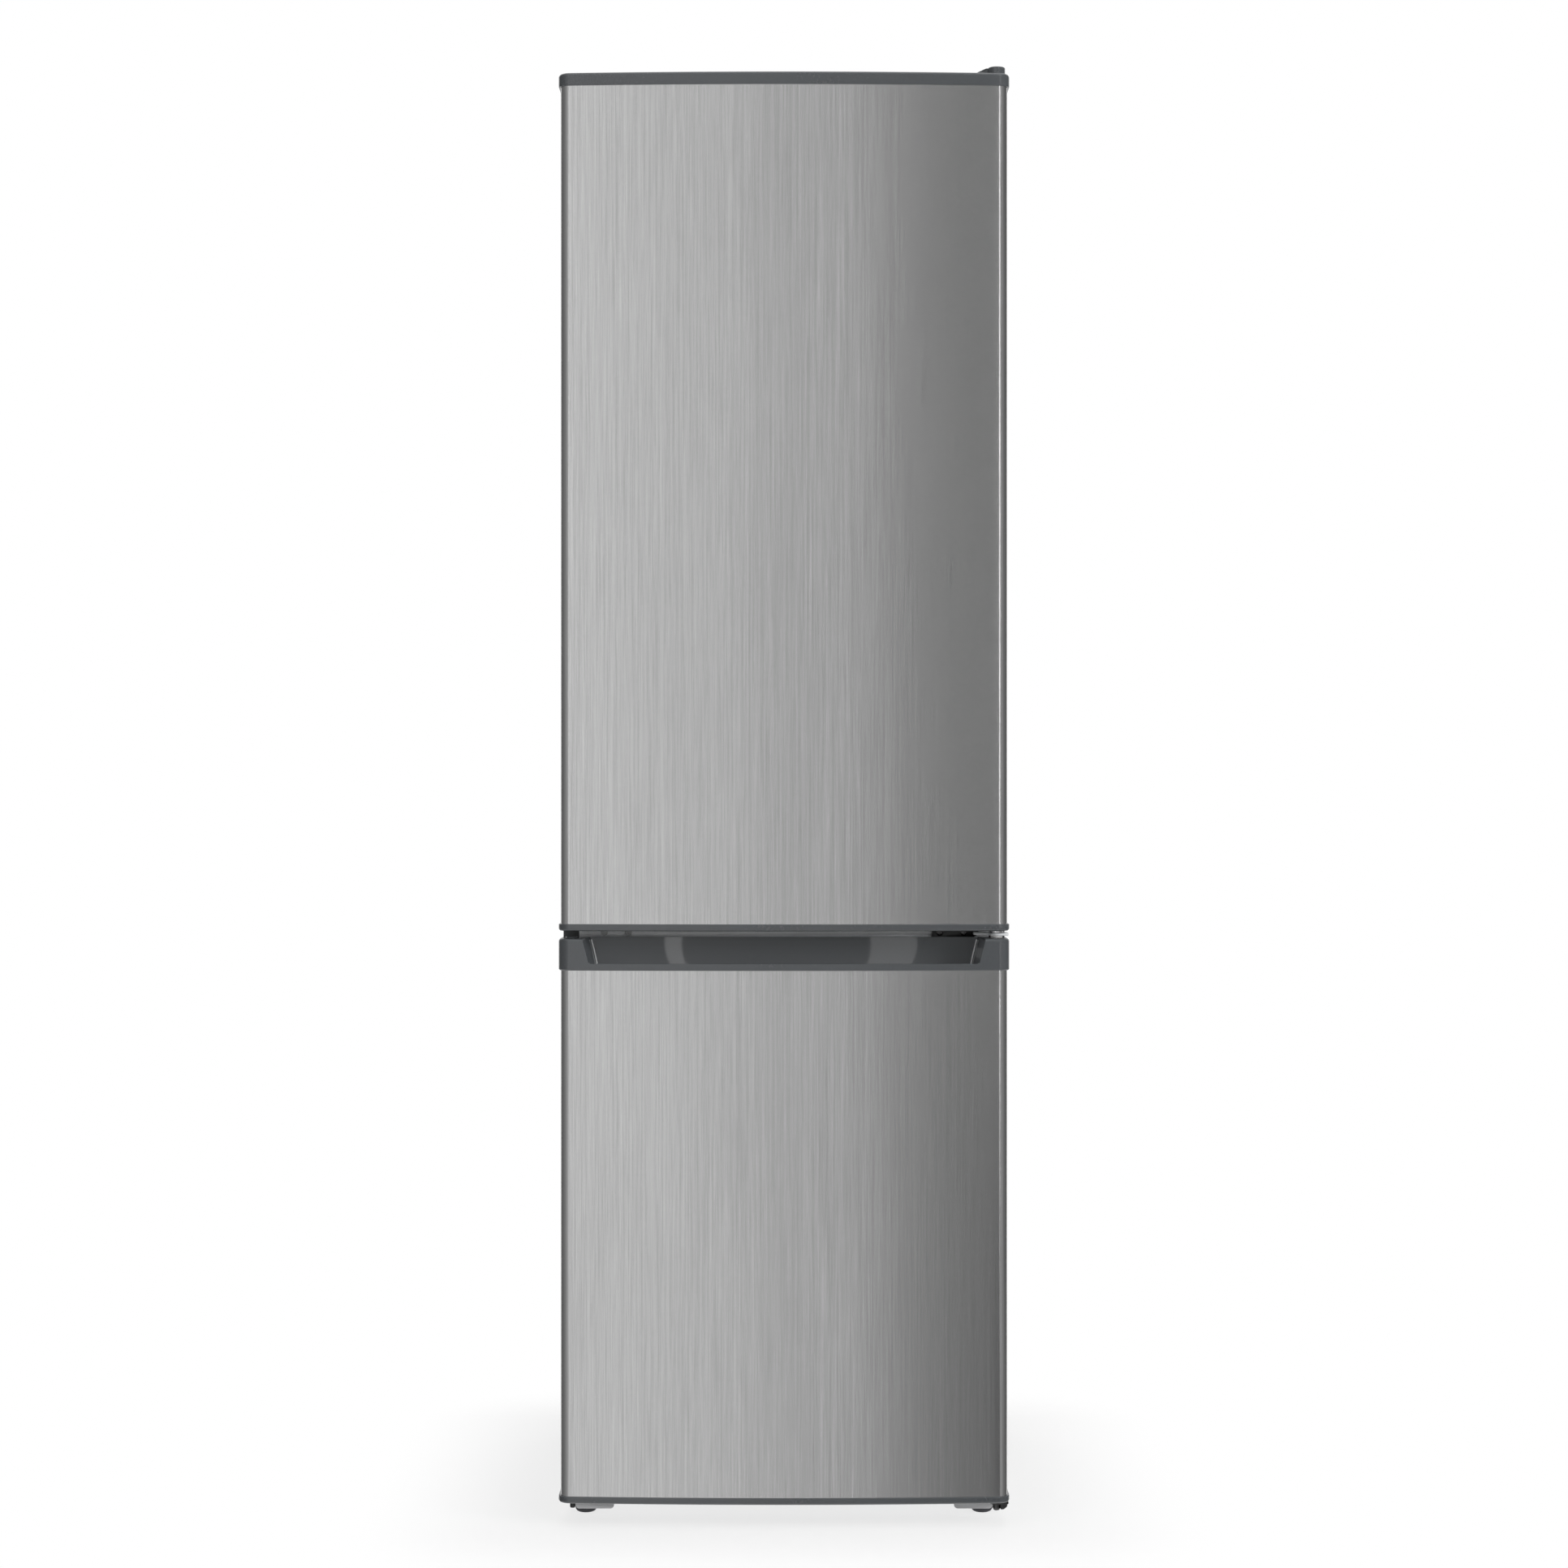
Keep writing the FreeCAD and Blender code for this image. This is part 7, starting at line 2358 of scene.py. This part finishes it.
@dataclass
class Studio:
    """Camera, lamps, floor and the curved card that the steel reflects."""
    camera_distance: float = 3.89
    camera_height: float = 0.904
    lens: float = 68.12
    sensor: float = 36.0
    fill_level: float = 0.5
    floor_size: float = 12.0
    footprint: tuple[float, float, float] = (0.275, 0.29, 0.0)
    shadow_reach: float = 0.26
    shadow_fade: float = 0.74
    card_radius: float = 5.0
    card_levels: tuple[float, float] = (-4.0, 8.0)
    card_reach: int = 130
    card_tones: tuple[tuple[float, float], ...] = (
        (-130, 0.13), (-100, 0.16), (-75, 0.21), (-52, 0.3), (-38, 0.4), (-28, 0.52), (-22, 0.64), (-16, 0.8),
        (-11, 0.87), (-4.5, 0.58), (0, 0.43), (5, 0.3), (10, 0.23), (14, 0.15), (19, 0.08), (24, 0.1),
        (32, 0.4), (42, 0.38), (56, 0.3), (80, 0.2), (106, 0.14), (130, 0.1))
    strips: tuple[tuple[float, float, float, float, float], ...] = (
        (23.6, 26.6, -0.8, 1.0, 4.6), (-22.0, -20.8, -0.8, 1.0, 2.0), (-3.85, -3.3, -5.0, -4.5, 1.6),
        (2.8, 4.3, -5.0, -4.5, 1.2))
    lamp_aim: tuple[float, float, float] = (0.0, 0.0, 0.9)
    lamps: tuple[tuple[str, tuple[float, float, float], tuple[float, float], float], ...] = (
        ("key", (-2.6, -2.6, 2.6), (1.8, 1.8), 13), ("fill", (2.8, -1.8, 1.6), (1.2, 1.8), 54),
        ("top", (0, 0.4, 3.6), (2.4, 2.4), 36))

    def build(self) -> None:
        """Set everything up."""
        bpy.context.scene.view_settings.view_transform = "Standard"
        self.camera()
        self.world()
        self.floor()
        self.card()
        for name, place, size, power in self.lamps:
            self.lamp(name, Vector(place), size, power)

    def camera(self) -> None:
        """Camera at the viewing angle of the photograph."""
        data = bpy.data.cameras.new("camera")
        data.lens = self.lens
        data.sensor_width = self.sensor
        data.clip_end = 60.0
        camera = linked("camera", data)
        camera.location = (0, -self.camera_distance, self.camera_height)
        camera.rotation_euler = (math.pi / 2, 0, 0)
        bpy.context.scene.camera = camera

    def world(self) -> None:
        """White surroundings for the camera, gloss and glass, softer ones for the fill."""
        world = bpy.data.worlds.new("studio")
        bench = cleared(world)
        path = bench.node("ShaderNodeLightPath").outputs
        seen = bench.math("MAXIMUM", path["Is Camera Ray"],
                          bench.math("MAXIMUM", path["Is Glossy Ray"], path["Is Transmission Ray"]))
        fill, shown = (bench.node("ShaderNodeBackground", {"Color": WHITE, "Strength": strength}).outputs[0]
                       for strength in (self.fill_level, 1.0))
        mix = bench.node("ShaderNodeMixShader", {0: seen, 1: fill, 2: shown})
        bench.node("ShaderNodeOutputWorld", {0: mix.outputs[0]})
        bpy.context.scene.world = world

    def staged(self, name: str, verts: Sequence[Vector], faces: Sequence[Sequence[int]],
               material: bpy.types.Material) -> Piece:
        """Sheet that belongs to the studio.

        Args:
            name: Name of the sheet.
            verts: Points.
            faces: Indices of each face.
            material: Its material.

        Returns:
            The object.
        """
        mesh = bpy.data.meshes.new(name)
        mesh.from_pydata([tuple(vert) for vert in verts], [], faces)
        mesh.materials.append(material)
        sheet = linked(name, mesh)
        return sheet

    def floor(self) -> None:
        """Pale floor that fades into the background."""
        material = bpy.data.materials.new("pale_floor")
        bench = cleared(material)
        place = bench.node("ShaderNodeTexCoord").outputs["Object"]
        beside = bench.vector("SUBTRACT", bench.vector("ABSOLUTE", place), self.footprint)
        length = bench.node("ShaderNodeVectorMath", {0: bench.vector("MAXIMUM", beside, (0.0, 0.0, 0.0))},
                            operation="LENGTH")
        far = bench.node("ShaderNodeMapRange", {"Value": length.outputs["Value"], "From Max": self.shadow_reach,
                                                "To Min": self.shadow_fade},
                         clamp=True, interpolation_type="SMOOTHSTEP")
        drift = bench.group(drift_group(), Place=place, Cells=2.0).outputs["Drift"]
        matt = bench.node("ShaderNodeBsdfDiffuse", {"Color": bench.blend(drift, grey(250), grey(248))})
        clear = bench.node("ShaderNodeBsdfTransparent")
        mix = bench.node("ShaderNodeMixShader", {0: far.outputs["Result"], 1: matt.outputs[0], 2: clear.outputs[0]})
        bench.node("ShaderNodeOutputMaterial", {0: mix.outputs[0]})
        size = self.floor_size
        verts = [Vector((x, y, 0)) for x, y in ((-size, -size), (size, -size), (size, size), (-size, size))]
        floor = self.staged("floor", verts, [[0, 1, 2, 3]], material)
        floor.visible_glossy = False

    def card(self) -> None:
        """Curved card before the object, pale at the left and dark at the right, that the doors reflect."""
        material = bpy.data.materials.new("graded_card")
        bench = cleared(material)
        place = bench.node("ShaderNodeTexCoord").outputs["Object"]
        split = bench.node("ShaderNodeSeparateXYZ", {0: place})
        turn = bench.math("ARCTAN2", split.outputs["X"], bench.math("MULTIPLY", split.outputs["Y"], -1.0))
        share = bench.math("MULTIPLY_ADD", turn, 0.5 / math.pi, 0.5)
        ramp = bench.node("ShaderNodeValToRGB")
        stops = ramp.color_ramp.elements
        while len(stops) > 1:
            stops.remove(stops[-1])
        for index, (degrees, tone) in enumerate(self.card_tones):
            stop = stops[0] if index == 0 else stops.new(degrees / 360 + 0.5)
            stop.position = degrees / 360 + 0.5
            stop.color = (tone, tone, tone, 1)
        bench.feed(ramp.inputs["Fac"], share)
        level = ramp.outputs["Color"]
        for start, end, foot, full, strength in self.strips:
            within = bench.math("MULTIPLY", bench.math("GREATER_THAN", turn, math.radians(start)),
                                bench.math("LESS_THAN", turn, math.radians(end)))
            rise = bench.node("ShaderNodeMapRange", {"Value": split.outputs["Z"], "From Min": foot,
                                                     "From Max": full}, clamp=True)
            within = bench.math("MULTIPLY", within, rise.outputs["Result"])
            level = bench.math("MULTIPLY_ADD", within, strength, level)
        glow = bench.node("ShaderNodeEmission", {"Color": WHITE, "Strength": level})
        bench.node("ShaderNodeOutputMaterial", {0: glow.outputs[0]})
        turns = [math.radians(degrees) for degrees in range(-self.card_reach, self.card_reach + 1, 2)]
        verts = [Vector((self.card_radius * math.sin(angle), -self.card_radius * math.cos(angle), height))
                 for height in self.card_levels for angle in turns]
        count = len(turns)
        faces = [[step, step + 1, count + step + 1, count + step] for step in range(count - 1)]
        card = self.staged("card", verts, faces, material)
        card.visible_camera = False

    def lamp(self, name: str, place: Vector, size: tuple[float, float], power: float) -> None:
        """Soft rectangular lamp that faces the object.

        Args:
            name: Name of the lamp.
            place: Where it stands.
            size: Width and height.
            power: Power in watts.
        """
        data = bpy.data.lights.new(name, "AREA")
        data.shape = "RECTANGLE"
        data.size, data.size_y = size
        data.energy = power
        lamp = linked(name, data)
        lamp.location = place
        lamp.rotation_euler = (Vector(self.lamp_aim) - place).to_track_quat("-Z", "Y").to_euler()
        lamp.visible_glossy = False


def main() -> None:
    """Build every sub-assembly in order."""
    logging.basicConfig(level=logging.INFO, format="%(name)s: %(message)s", stream=sys.stdout)
    assemblies = (Cabinet(), Hinges(), Foot(side="right"), Foot(side="left"), Roller(side="right"),
                  Roller(side="left"), MachineBay(), Condenser(), Compartments(), Evaporator(),
                  Drawer(), Drawer(node="freezer_drawer_2"), Drawer(node="freezer_drawer_3"),
                  Drawer(node="crisper_drawer", taper=0.009, rim=0.004), Shelves(),
                  CeilingControl(), UpperDoor(), Gasket(body="upper_door"), LowerDoor(), Gasket(body="lower_door"),
                  Studio())
    for assembly in assemblies:
        LOG.info("building %s", type(assembly).__name__)
        assembly.build()


if __name__ == "__main__":
    main()
